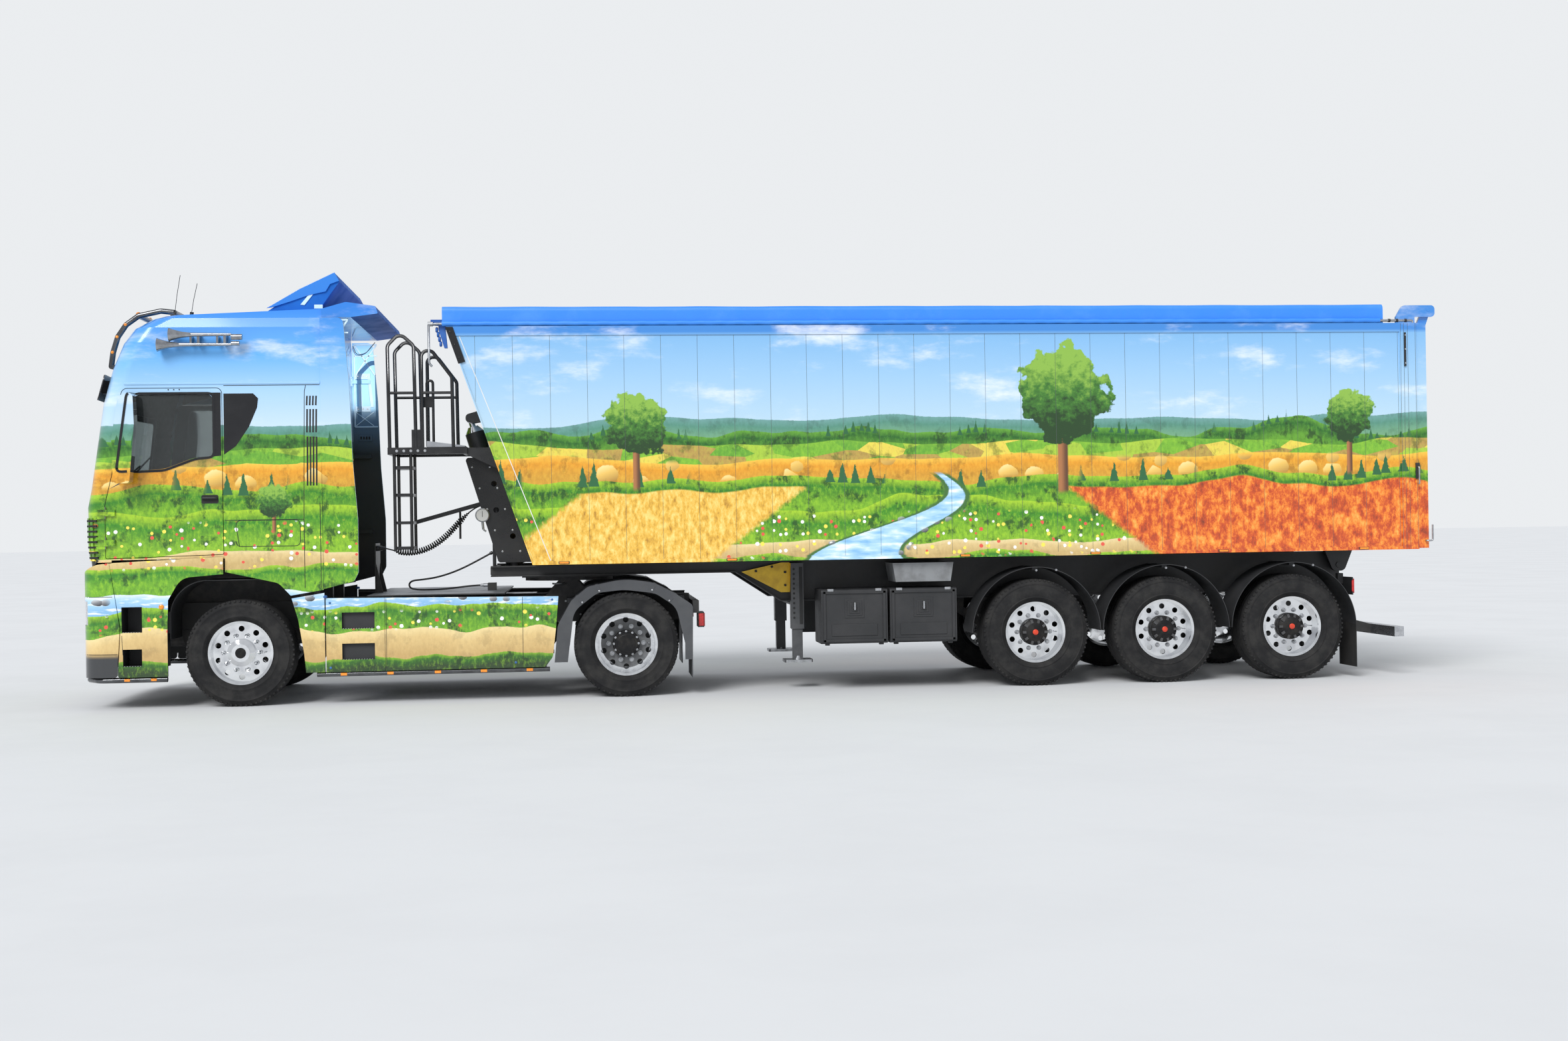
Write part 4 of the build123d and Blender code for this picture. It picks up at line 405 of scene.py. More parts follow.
def painted(name, sky_stops, sky_top, dark_below=0.0):
    """The landscape under lacquer, on plain dark plastic below a height."""
    paint = Finish(name, roughness=0.28, Coat_Weight=0.55, Coat_Roughness=0.06)
    picture = landscape(paint, sky_stops, sky_top)
    if dark_below:
        picture = paint.mix(paint.rise(paint.z, dark_below + 0.03, dark_below - 0.03), picture, (0.035, 0.037, 0.040))
    paint.set(Base_Color=picture)
    paint.bump(paint.noise(60.0, detail=2.0), 0.05, 0.001)
    return paint.material


cab_paint = painted("landscape_paint_cab", [
    (0.0, (0.60, 0.75, 0.88)), (0.34, (0.38, 0.62, 0.88)), (0.62, (0.12, 0.42, 0.86)), (1.0, (0.02, 0.22, 0.74))], 3.75)
bed_paint = painted("landscape_paint_bed", [
    (0.0, (0.50, 0.69, 0.82)), (0.5, (0.34, 0.58, 0.83)), (0.90, (0.22, 0.48, 0.80)), (0.94, (0.05, 0.25, 0.68))],
    3.545)


# Tractor chassis. A black painted ladder frame of two channels with the engine
# between them and the axles under it. The parts are as the frame has them and get
# their paint face by face; the rows of frame bolts are added on the webs.
front_axle_x = sum(corner.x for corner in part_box("front_tyre_left")) / 2
rail_web_y, bolt_lines = 0.4305, (("low", 0.760), ("high", 0.894))
both_sides = ((-1, "left"), (1, "right"))


def dress(node, finish, *rules):
    """Gives a carried-over part its finish. A rule is a finish and a test on a face's middle, in metres
    from the front axle, and its normal. The last rule that holds counts."""
    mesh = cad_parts[node].data
    mesh.materials.clear()
    for material in (finish, *[rule[0] for rule in rules]):
        mesh.materials.append(material)
    for face in mesh.polygons:
        at = face.center - Vector((front_axle_x, 0, 0))
        face.material_index = max([i for i, (_, test) in enumerate(rules, 1) if test(at, face.normal)], default=0)


def bent(points, reach, steps=4, closed=False):
    """The same line with each corner rounded, from reach before it to reach after it."""
    points = [Vector(point) for point in points]
    line = []
    for i, point in enumerate(points):
        if not closed and i in (0, len(points) - 1):
            line.append(point)
            continue
        start, end = (point + way.normalized() * min(reach, way.length * 0.49)
                      for way in (points[i - 1] - point, points[(i + 1) % len(points)] - point))
        for share in (step / steps for step in range(steps + 1)):
            line.append(start.lerp(point, share).lerp(point.lerp(end, share), share))
    return line


def loop(points, reach=0.02):
    """A closed outline with its corners rounded."""
    return bent(points, reach, closed=True)


class Form:
    """A piece's mesh while it is made, in metres: x back from the front axle, y to the right, z up. A form for
    the left side has side -1, which turns its y over."""

    def __init__(self, side=1):
        self.mesh, self.side, self.skin = bmesh.new(), side, 0

    def wear(self, skin):
        """What comes next wears this one of the piece's finishes."""
        self.skin = skin
        return self

    def turn(self, point):
        return Vector((point[0], point[1] * self.side, point[2]))

    def loft(self, rings, closed=False):
        """Skins a row of rings that have the same count of points, and closes its ends."""
        rows = [[self.mesh.verts.new(point) for point in ring] for ring in rings]
        faces = [] if closed else [rows[0][::-1], rows[-1]]
        for a, b in zip(rows, rows[1:] + rows[:1] if closed else rows[1:]):
            faces += [(a[i - 1], a[i], b[i], b[i - 1]) for i in range(len(a))]
        for face in faces:
            self.mesh.faces.new(face).material_index = self.skin
        return self

    def prism(self, axis, low, high, outline):
        """A plate or bar: an outline in the other two axes, from low to high along this one."""
        order = {"X": (0, 1, 2), "Y": (1, 0, 2), "Z": (1, 2, 0)}[axis]
        return self.loft([[self.turn([(at, u, v)[i] for i in order]) for u, v in outline] for at in (low, high)])

    def block(self, x, y, z):
        return self.prism("Z", *z, [(x[0], y[0]), (x[1], y[0]), (x[1], y[1]), (x[0], y[1])])

    def tube(self, points, radius, sides=12, closed=False):
        """A round bar or tube along a line of points."""
        points = [self.turn(point) for point in points]
        rings, normal = [], None
        for i, point in enumerate(points):
            before = points[i - 1] if i or closed else point
            after = points[(i + 1) % len(points)] if i + 1 < len(points) or closed else point
            way = (after - before).normalized()
            normal = normal or way.orthogonal()
            normal = (normal - way * normal.dot(way)).normalized()
            rings.append(self.ring(point, normal, way.cross(normal), radius, sides))
        return self.loft(rings, closed)

    def ring(self, middle, first, second, radius, sides):
        return [middle + (first * math.cos(turn) + second * math.sin(turn)) * radius
                for turn in (2 * math.pi * k / sides for k in range(sides))]

    def turned(self, profile, middle, axis=(0, 1, 0), sides=48, closed=False):
        """A turned shape: (radius, along) points about an axis through middle."""
        axis, middle = self.turn(axis).normalized(), self.turn(middle)
        first = axis.orthogonal().normalized()
        return self.loft([self.ring(middle + axis * along, first, axis.cross(first), radius, sides)
                          for radius, along in profile], closed)


def finished(name, form, finishes, body, bevel=0, sharp=35, replaced=()):
    """Closes a form into a piece with its soft edges and finishes, attaches it to its body, and hides the nodes it
    stands for.
    A hose is given two bodies and the places where it leaves the one and reaches the other, but is attached to neither."""
    mesh = bpy.data.meshes.new(name)
    bmesh.ops.recalc_face_normals(form.mesh, faces=form.mesh.faces)
    bmesh.ops.translate(form.mesh, vec=(front_axle_x, 0, 0), verts=form.mesh.verts)
    form.mesh.to_mesh(mesh)
    form.mesh.free()
    for finish in finishes:
        mesh.materials.append(finish)
    mesh.shade_smooth()
    piece = placed(name, mesh)
    if bevel:
        edge = piece.modifiers.new("soft edges", "BEVEL")
        edge.width, edge.segments, edge.angle_limit, edge.harden_normals = bevel, 2, math.radians(sharp), True
    else:
        mesh.set_sharp_from_angle(angle=math.radians(sharp))
    if isinstance(body, str):
        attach(piece, body)
    else:
        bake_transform(piece)
    if replaced:
        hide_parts(*replaced)
    return piece


class Pattern(Wiring):
    """A Geometry Nodes tree while it is wired: named sizes in, one repeated shape out."""

    def __init__(self, name):
        super().__init__(bpy.data.node_groups.new(name, "GeometryNodeTree"))
        for way in ("INPUT", "OUTPUT"):
            self.tree.interface.new_socket("Geometry", in_out=way, socket_type="NodeSocketGeometry")
        self.given = self.tree.nodes.new("NodeGroupInput")
        self.sockets = {}
        self.finish = self.size("Finish", None, "Material")

    def size(self, name, value, kind="Float"):
        socket = self.tree.interface.new_socket(name, in_out="INPUT", socket_type="NodeSocket" + kind)
        if value is not None:
            socket.default_value = value
        self.sockets[name] = socket.identifier
        return Value(self, self.given.outputs[name])

    def make(self, kind, **inputs):
        """A Geometry node's first output. An underscore stands for a blank in an input's name."""
        return self.get("GeometryNode" + kind, named={key.replace("_", " "): inputs[key] for key in inputs})

    def joined(self, *shapes):
        node = self.tree.nodes.new("GeometryNodeJoinGeometry")
        for shape in shapes:
            self.feed(node.inputs[0], shape)
        return Value(self, node.outputs[0])

    def circle(self, shape, count, radius):
        """A shape again and again round a circle, each time facing outwards."""
        turn = self.make("InputIndex") * (2 * math.pi / count)
        return self.make("InstanceOnPoints", Points=self.make("MeshCircle", Vertices=count, Radius=radius),
                         Instance=shape, Rotation=self.xyz(z=turn))

    def close(self, geometry):
        real = self.make("RealizeInstances", Geometry=geometry)
        self.feed(self.tree.nodes.new("NodeGroupOutput").inputs["Geometry"],
                  self.make("SetMaterial", Geometry=real, Material=self.finish))
        return self

    def plain(self, name, finish, body, slot, at, facing=(0, 0, 1), roll=0.0, **sizes):
        """The pattern as a plain mesh that rides on a body, its foot at a place and its up along facing."""
        seed = placed(name + "_seed", bpy.data.meshes.new(name + "_seed"))
        modifier = seed.modifiers.new("pattern", "NODES")
        modifier.node_group = self.tree
        for key, value in {"Finish": finish, **sizes}.items():
            modifier[self.sockets[key]] = value
        mesh = bpy.data.meshes.new_from_object(seed.evaluated_get(bpy.context.evaluated_depsgraph_get()))
        seed.modifiers.remove(modifier)
        bpy.data.objects.remove(seed)
        mesh.name = name
        up = Vector(facing).normalized()
        across = Vector((0, 0, 1)).cross(up).normalized() if abs(up.z) < 0.99 else Vector((1, 0, 0))
        turn = Matrix((across, up.cross(across), up)).transposed().to_4x4() @ Matrix.Rotation(roll, 4, "Z")
        mesh.transform(Matrix.Translation((at[0] + front_axle_x, *at[1:])) @ turn)
        mesh.shade_smooth()
        mesh.set_sharp_from_angle(angle=math.radians(35))
        piece = placed(name, mesh)
        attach(piece, body)


def row_pattern(name, kind):
    """Round heads, hexagons or bars in a straight row, at an even step."""
    row = Pattern(name)
    line = row.make("MeshLine", Count=row.size("Count", 10, "Int"), Offset=row.size("Step", (0.1, 0, 0), "Vector"))
    if kind == "bar":
        shape = row.make("MeshCube", Size=row.size("Size", (0.02, 0.02, 0.02), "Vector"))
    else:
        radius, height = row.size("Radius", 0.012), row.size("Height", 0.008)
        if kind == "round":
            shape = row.make("MeshCone", Vertices=12, Radius_Top=radius * 0.72, Radius_Bottom=radius, Depth=height)
        else:
            shape = row.make("MeshCylinder", Vertices=6, Radius=radius, Depth=height)
    return row.close(row.make("InstanceOnPoints", Points=line, Instance=shape))


rounds, hexes, bars = (row_pattern(*kind) for kind in (
    ("rivet_row", "round"), ("bolt_row", "hexagon"), ("bar_row", "bar")))

frame_black = mottled("chassis_black", (0.018, 0.019, 0.020), (0.035, 0.034, 0.032), roughness=0.45, grain=0.15)
cast_iron = mottled("cast_iron", (0.045, 0.045, 0.047), (0.10, 0.095, 0.09), 9.0, roughness=0.6, grain=0.35)
black_plastic = mottled("black_plastic", (0.020, 0.021, 0.023), (0.032, 0.032, 0.034), roughness=0.55, grain=0.35)
zinc_steel = mottled("zinc_steel", (0.50, 0.51, 0.53), (0.34, 0.35, 0.36), 22.0, roughness=0.42, metallic=1.0)
bright_steel = mottled("bright_steel", (0.62, 0.63, 0.65), (0.45, 0.46, 0.48), 14.0, roughness=0.28, metallic=1.0)
for finish, nodes in ((frame_black, ("tractor_frame", "drive_axle", "front_axle")),
                      (cast_iron, ("engine_block", "knuckle_left", "knuckle_right"))):
    for node in nodes:
        dress(node, finish)
for side, side_name in both_sides:
    for line_name, height in bolt_lines:
        hexes.plain(f"frame_bolts_{line_name}_{side_name}", zinc_steel, "tractor", "painted_frame",
                    (0.70, side * rail_web_y, height), (0, side, 0), Count=24, Step=(-side * 0.145, 0, 0),
                    Radius=0.011, Height=0.012)


# Walkway behind the cab. Grey chequer plate on short legs, with its raised
# lozenges lying crosswise in turn, and a folded rim all round.
def chequer_pattern():
    """Lozenges on a grid, each square to the next."""
    plate = Pattern("chequer_plate")
    across, along = plate.size("Across", 30, "Int"), plate.size("Along", 30, "Int")
    grid = plate.make("MeshGrid", Size_X=plate.size("Wide", 1.0), Size_Y=plate.size("Deep", 1.0),
                      Vertices_X=across, Vertices_Y=along)
    number = plate.make("InputIndex")
    odd = plate.math("MODULO", number + plate.math("FLOOR", number / along), 2.0)
    scale = plate.xyz(plate.size("Lozenge", 0.026), plate.size("Thin", 0.008), plate.size("High", 0.002))
    bead = plate.make("Transform", Geometry=plate.make("MeshUVSphere", Segments=6, Rings=4, Radius=0.5), Scale=scale)
    turn = plate.xyz(z=odd * (math.pi / 2) + math.pi / 4)
    return plate.close(plate.make("InstanceOnPoints", Points=grid, Instance=bead, Rotation=turn))


chequer = chequer_pattern()
alloy_plate = mottled("alloy_plate", (0.42, 0.43, 0.45), (0.30, 0.31, 0.33), 5.0, roughness=0.42, metallic=0.85,
                      grain=0.1)
walk_z = 1.010
chequer.plain("walkway_lozenges", alloy_plate, "tractor", "painted_frame", (1.80, 0, walk_z), Wide=1.26, Deep=2.06,
              Across=30, Along=48, High=0.004)
finished("walkway_plate", Form().block((1.154, 2.446), (-1.046, 1.046), (walk_z - 0.001, walk_z + 0.0015)),
         [alloy_plate], "tractor")


# Tyres. Black rubber of three kinds: ribbed steering and trailer tyres, and
# blocked drive tyres in pairs. Each is turned with its grooves, bead and rings,
# and has its rows of tread blocks set round it. No lettering stands on them.
tyre_bead, groove_depth, groove_half = 0.287, 0.011, 0.0055
tyre_kinds = {  # outer radius, width, groove offsets, blocks in a row
    "front": (0.500, 0.315, (-0.082, -0.028, 0.028, 0.082), 66),
    "drive": (0.500, 0.300, (-0.062, 0.0, 0.062), 54),
    "trailer": (0.525, 0.385, (-0.118, -0.060, 0.0, 0.060, 0.118), 70)}
inner_wall = [  # above the bead, share of the half width
    (0.002, 0.62), (0.004, 0.74), (0.016, 0.80), (0.030, 0.84), (0.033, 0.90), (0.052, 0.955), (0.056, 0.985),
    (0.062, 0.985), (0.066, 0.965), (0.095, 1.0), (0.125, 0.995)]
outer_wall = [  # below the tread, share of the half width
    (0.060, 0.965), (0.056, 0.985), (0.050, 0.985), (0.046, 0.945), (0.022, 0.90), (0.009, 0.855), (0.003, 0.80)]

rubber = Finish("tyre_rubber", roughness=0.78, Specular_IOR_Level=0.25)
worn = rubber.rise(rubber.noise(7.0, detail=5.0, rough=0.65), 0.35, 0.7)
rubber.set(Base_Color=rubber.mix(worn, (0.014, 0.014, 0.015), (0.032, 0.031, 0.030)))
rubber.bump(rubber.noise(420.0, detail=2.0), 0.25, 0.0015)
rubber = rubber.material


def tyre_profile(radius, width, grooves):
    """A tyre's section, as (radius, along) points round it."""
    half = width / 2
    wall = [(tyre_bead + up, -half * share) for up, share in inner_wall]
    wall += [(radius - down, -half * share) for down, share in outer_wall]
    tread = []
    for at in grooves:
        crown = 0.0 if abs(at) < half * 0.4 else 0.0012
        tread += [(radius - crown, at - groove_half), (radius - groove_depth, at - groove_half * 0.7),
                  (radius - groove_depth, at + groove_half * 0.7), (radius - crown, at + groove_half)]
    return wall + tread + [(r, -at) for r, at in reversed(wall)]


def tread_pattern(rows):
    """Rows of blocks round a tyre, every other row half a step on."""
    ring = Pattern(f"tread_blocks_{rows}")
    count, radius = ring.size("Count", 60, "Int"), ring.size("Radius", 0.5)
    spread, size = ring.size("Spread", 0.2), ring.size("Block", (0.012, 0.02, 0.03), "Vector")
    block, half_step = ring.make("MeshCube", Size=size), math.pi / count
    return ring.close(ring.joined(*[ring.make(
        "Transform", Geometry=ring.circle(block, count, radius), Rotation=ring.xyz(z=half_step * (row % 2)),
        Translation=ring.xyz(z=spread * (row / (rows - 1) - 0.5))) for row in range(rows)]))


shoulder_blocks, tread_blocks = tread_pattern(2), tread_pattern(4)
wheels = []  # kind, body, tyre node, rim node, x and z of the middle, y of each tyre's middle, side
for side, side_name in both_sides:
    for kind, name, offsets in (("front", "", (1.062,)), ("drive", "s", (1.085, 0.750)),
                                *(("trailer", f"_{number}", (1.020,)) for number in (1, 2, 3))):
        low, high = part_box(f"{kind}_tyre{name}_{side_name}")
        wheels.append((kind, f"{kind}_wheel{name.strip('s')}_{side_name}", f"{kind}_tyre{name}_{side_name}",
                       f"{kind}_rim{name}_{side_name}", (low.x + high.x) / 2 - front_axle_x, (low.z + high.z) / 2,
                       offsets, side))

for kind, body, tyre_node, _, x, z, offsets, side in wheels:
    radius, width, grooves, count = tyre_kinds[kind]
    shape = Form(side)
    for y in offsets:
        shape.turned(tyre_profile(radius, width, grooves), (x, y, z), sides=112, closed=True)
    finished(tyre_node + "_rubber", shape, [rubber], body, sharp=50, replaced=[tyre_node])
    for twin, y in enumerate(offsets):
        at = ((x, side * y, z), (0, side, 0))
        shoulder_blocks.plain(f"{tyre_node}_shoulders_{twin}", rubber, body, "tyre", *at, Count=count,
                              Radius=radius - 0.0125, Spread=width * 0.885, Block=(0.018, 0.019, 0.020))
        if kind == "drive":
            tread_blocks.plain(f"{tyre_node}_blocks_{twin}", rubber, body, "tyre", *at, Count=count,
                               Radius=radius - 0.005, Spread=width * 0.62, Block=(0.0098, 0.036, 0.048))


# Wheels. Forged alloy with ten nuts on each, polished, but for the grey painted
# discs of the drive wheels. The steering wheels wear bullet caps and a round cover,
# the drive wheels a black hub in a deep dish, the trailer wheels a toothed black hub.
stud_circle, valve_out = 0.1675, 0.205
nut_seats = {"front": 1.128, "drive": 0.993, "trailer": 1.090}
hub_faces = {"front": 1.172, "drive": 1.077, "trailer": 1.145}

alloy = Finish("polished_alloy", roughness=0.16, metallic=1.0)
brushed = alloy.noise(90.0, detail=3.0, stretch=(1.0, 0.15, 1.0))
smear = alloy.rise(alloy.noise(8.0, detail=4.0), 0.4, 0.7)
alloy.set(Base_Color=alloy.mix(smear, (0.78, 0.79, 0.80), (0.62, 0.63, 0.65)), Roughness=smear * 0.14 + brushed * 0.12)
alloy = alloy.material
chrome = mottled("chrome", (0.82, 0.83, 0.84), (0.70, 0.71, 0.73), 10.0, roughness=0.08, metallic=1.0)
hub_black = mottled("hub_black", (0.010, 0.010, 0.011), (0.026, 0.024, 0.022), 14.0, roughness=0.42, grain=0.2,
                    Specular_IOR_Level=0.2)
# The walls of the rims' hand holes are painted near black: painted shade for the dark inside the holes.
hand_hole_painted_shade = mottled("hand_hole_shade", (0.008, 0.008, 0.008), (0.014, 0.014, 0.014), roughness=0.8,
                     Specular_IOR_Level=0.1)
hub_grey = mottled("hub_casting", (0.075, 0.076, 0.080), (0.045, 0.044, 0.043), 14.0, roughness=0.45, grain=0.2)
hub_red = mottled("hub_cap_red", (0.72, 0.06, 0.02), (0.50, 0.04, 0.02), 20.0, roughness=0.35)
hub_covers = {  # slot, then a finish and a turned outline for each part
    "front": ("bright_metal",
              (chrome, [(0.122, -0.046), (0.122, -0.002), (0.116, 0.006), (0.094, 0.010), (0.090, 0.022),
                        (0.070, 0.0275), (0.02, 0.028)]),
              (hub_black, [(0.052, 0.020), (0.050, 0.0285), (0.030, 0.029), (0.01, 0.029)])),
    "drive": ("axle_steel",
              (hub_black, [(0.131, -0.030), (0.131, 0.004), (0.125, 0.012), (0.112, 0.014), (0.108, 0.022),
                           (0.070, 0.027), (0.02, 0.0275)])),
    "trailer": ("axle_steel",
                (hub_black, [(0.131, -0.040), (0.131, 0.000), (0.127, 0.006), (0.100, 0.020), (0.084, 0.0295),
                             (0.026, 0.030)]),
                (hub_red, [(0.028, 0.028), (0.027, 0.038), (0.020, 0.0415), (0.004, 0.042)]))}


def nut_pattern(name, bullet):
    """Wheel nuts in a ring, each on its washer, with a plain stud end or a bullet cap."""
    ring = Pattern(name)
    count, radius = ring.size("Count", 10, "Int"), ring.size("Radius", stud_circle)
    wide, high = ring.size("Nut", 0.0185), ring.size("Height", 0.026)
    washer = ring.make("MeshCylinder", Vertices=20, Radius=wide * 1.25, Depth=0.007)
    nut = ring.make("MeshCylinder", Vertices=6, Radius=wide, Depth=high)
    if bullet:
        end = ring.make("MeshCone", Vertices=16, Radius_Top=wide * 0.35, Radius_Bottom=wide, Depth=high)
    else:
        end = ring.make("MeshCylinder", Vertices=12, Radius=wide * 0.6, Depth=high)
    stacked = [ring.make("Transform", Geometry=shape, Translation=ring.xyz(z=high * share))
               for shape, share in ((nut, 0.5), (end, 1.45 if bullet else 1.0))]
    return ring.close(ring.circle(ring.joined(washer, *stacked), count, radius))


def tooth_pattern():
    """Square teeth round a hub's face."""
    ring = Pattern("hub_teeth")
    tooth = ring.make("MeshCube", Size=ring.size("Tooth", (0.02, 0.02, 0.02), "Vector"))
    return ring.close(ring.circle(tooth, ring.size("Count", 16, "Int"), ring.size("Radius", 0.11)))


capped_nuts, plain_nuts, teeth = nut_pattern("bullet_nuts", True), nut_pattern("wheel_nuts", False), tooth_pattern()

drive_x, drive_z = next(wheel[4:6] for wheel in wheels if wheel[0] == "drive")
drive_disc = Finish("drive_rim_disc")
off = drive_disc.vector("SUBTRACT", drive_disc.point, (front_axle_x + drive_x, 0, drive_z))["Vector"]
painted_disc = drive_disc.rise(
    drive_disc.vector("LENGTH", drive_disc.stretched(off, (1, 0, 1)))["Value"], 0.242, 0.239)
grime = drive_disc.rise(drive_disc.noise(16.0, detail=5.0), 0.35, 0.7)
drive_disc.set(
    Base_Color=drive_disc.mix(painted_disc, drive_disc.mix(grime, (0.78, 0.79, 0.80), (0.60, 0.61, 0.63)),
                              drive_disc.mix(grime, (0.17, 0.175, 0.18), (0.10, 0.102, 0.105))),
    Metallic=1.0 - painted_disc, Roughness=painted_disc * 0.2 + 0.18)
for kind, body, _, rim_node, x, z, _, side in wheels:
    def off_centre(at):
        return math.hypot(at.x - x, at.z - z)

    # Each rim's hand-hole walls get the painted shade; its hub gets black, or chrome on the steering wheels.
    dress(rim_node, drive_disc.material if kind == "drive" else alloy,
          (hand_hole_painted_shade, lambda at, normal: 0.185 < off_centre(at) < 0.247 and abs(normal.y) < 0.2),
          (chrome if kind == "front" else hub_black, lambda at, normal: off_centre(at) < 0.134))
    seat, y, facing = nut_seats[kind], hub_faces[kind], (0, side, 0)
    nuts, nut_finish = (capped_nuts, chrome) if kind == "front" else (plain_nuts, zinc_steel)
    nuts.plain(rim_node + "_nuts", nut_finish, body, "bright_metal", (x, side * (seat + 0.001), z), facing,
               Radius=stud_circle)
    slot, *parts = hub_covers[kind]
    hub = Form(side)
    for number, (_, outline) in enumerate(parts):
        hub.wear(number).turned(outline, (x, y, z))
    finished(rim_node + "_cover", hub, [finish for finish, _ in parts], body)
    if kind == "drive":
        plain_nuts.plain(rim_node + "_flange_bolts", zinc_steel, body, "bright_metal", (x, side * (y + 0.013), z),
                         facing, Radius=0.118, Nut=0.009, Height=0.008, Count=12)
    if kind == "trailer":
        teeth.plain(rim_node + "_teeth", hub_grey, body, "axle_steel", (x, side * (y + 0.021), z), facing,
                    Radius=0.108, Count=10, Tooth=(0.034, 0.024, 0.018))
    stem, cap, tip = ((x + valve_out + along, seat + out, z)
                      for along, out in ((0, 0.002), (0.010, 0.045), (0.0125, 0.058)))
    valve = Form(side).tube([stem, cap], 0.0045, 8).tube([cap, tip], 0.006, 8)
    finished(rim_node + "_valve", valve, [zinc_steel], body)


# Bumper, steps and skirts. Painted plastic panels on the chassis, dark at the
# bottom, with black step wells, clear headlamps, side lamps and bright tubes below.
class Skin:
    """The outside of some carried-over parts, to lay seams, strips and patches on."""

    def __init__(self, *nodes):
        points, faces = [], []
        for mesh in (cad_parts[node].data for node in nodes):
            faces += [[len(points) + i for i in face.vertices] for face in mesh.polygons]
            points += [v.co - Vector((front_axle_x, 0, 0)) for v in mesh.vertices]
        self.tree = BVHTree.FromPolygons(points, faces)

    def hit(self, start, way):
        place, normal, _, _ = self.tree.ray_cast(Vector(start), Vector(way).normalized())
        return (place, normal) if place else None

    def on(self, side):
        """A way to find places on one side by x and z."""
        return lambda x, z: self.hit((x, side * 3.0, z), (0, -side, 0))

    def front(self, y, z):
        return self.hit((-4.0, y, z), (1, 0, 0))

    def shows(self, at, normal):
        """True for a face that is seen from outside."""
        found = self.hit(at + normal * 4.0, -normal)
        return found is None or (found[0] - at).length < 0.004


def laid(points, step, find):
    """Places and normals on a skin, along a line of flat points."""
    places = []
    for a, b in zip(points, points[1:]):
        a, b = Vector(a), Vector(b)
        count = max(1, round((b - a).length / step))
        places += [find(*a.lerp(b, k / count)) for k in range(count)]
    return [*places, find(*points[-1])]


def strip(form, places, width, proud, sunk=0.003):
    """A flat strip along places on a skin."""
    places = [place for place in places if place]
    rings = []
    for i, (place, normal) in enumerate(places):
        way = (places[min(i + 1, len(places) - 1)][0] - places[max(i - 1, 0)][0]).normalized()
        side = way.cross(normal).normalized() * width / 2
        up, down = normal * proud, -normal * sunk
        rings.append([place + side + up, place - side + up, place - side + down, place + side + down])
    form.loft(rings)


def patch(form, places, proud):
    """A thin plate on a skin, whose rim is a closed row of places."""
    form.loft([[place + normal * level for place, normal in places] for level in (-0.002, proud)])


bumper_paint = painted("landscape_paint_bumper", [(0.0, (0.72, 0.86, 0.95)), (1.0, (0.02, 0.28, 0.80))], 3.75, 0.50)
# Besides seams and small black parts, seam_black fills slots and holes further on, where its dark is painted shade for
# the openings.
seam_black = mottled("seam_black", (0.012, 0.012, 0.013), (0.02, 0.02, 0.02), roughness=0.7)
gloss_black = mottled("gloss_black", (0.010, 0.010, 0.012), (0.016, 0.016, 0.018), roughness=0.12)
lamp_orange = mottled("lamp_orange", (0.95, 0.33, 0.02), (0.80, 0.22, 0.01), 60.0, roughness=0.18, Coat_Weight=0.6)
lamp_red = mottled("lamp_red", (0.62, 0.015, 0.012), (0.40, 0.01, 0.01), 60.0, roughness=0.18, Coat_Weight=0.6)
lamp_clear = mottled("lamp_clear", (0.86, 0.88, 0.90), (0.74, 0.76, 0.78), 60.0, roughness=0.1,
                     Transmission_Weight=0.9, IOR=1.45)
plate_white = mottled("blank_plate", (0.80, 0.80, 0.78), (0.72, 0.72, 0.70), 5.0, roughness=0.45)
tank_alloy = mottled("tank_alloy", (0.62, 0.63, 0.65), (0.48, 0.49, 0.50), 2.0, roughness=0.3, metallic=1.0)
dark_chrome = mottled("dark_chrome", (0.16, 0.165, 0.17), (0.10, 0.10, 0.105), 8.0, roughness=0.16, metallic=1.0)
horn_chrome = mottled("horn_chrome", (0.42, 0.43, 0.45), (0.26, 0.27, 0.29), 10.0, roughness=0.10, metallic=1.0)
cap_blue = mottled("cap_blue", (0.04, 0.16, 0.42), (0.03, 0.10, 0.30), roughness=0.4)

bumper_skin, steps_skin, skirt_skin = Skin("front_bumper"), Skin("side_steps"), Skin("side_skirts")
dress("front_bumper", black_plastic, (bumper_paint, bumper_skin.shows))
dress("side_steps", black_plastic, (cab_paint, lambda at, normal: abs(at.y) > 1.2275 and steps_skin.shows(at, normal)))
dress("side_skirts", black_plastic, (cab_paint, lambda at, normal: abs(at.y) > 1.2135 and skirt_skin.shows(at, normal)))
dress("headlamps", lamp_clear)
dress("fuel_tanks", tank_alloy)
dress("chrome_tubes", dark_chrome)

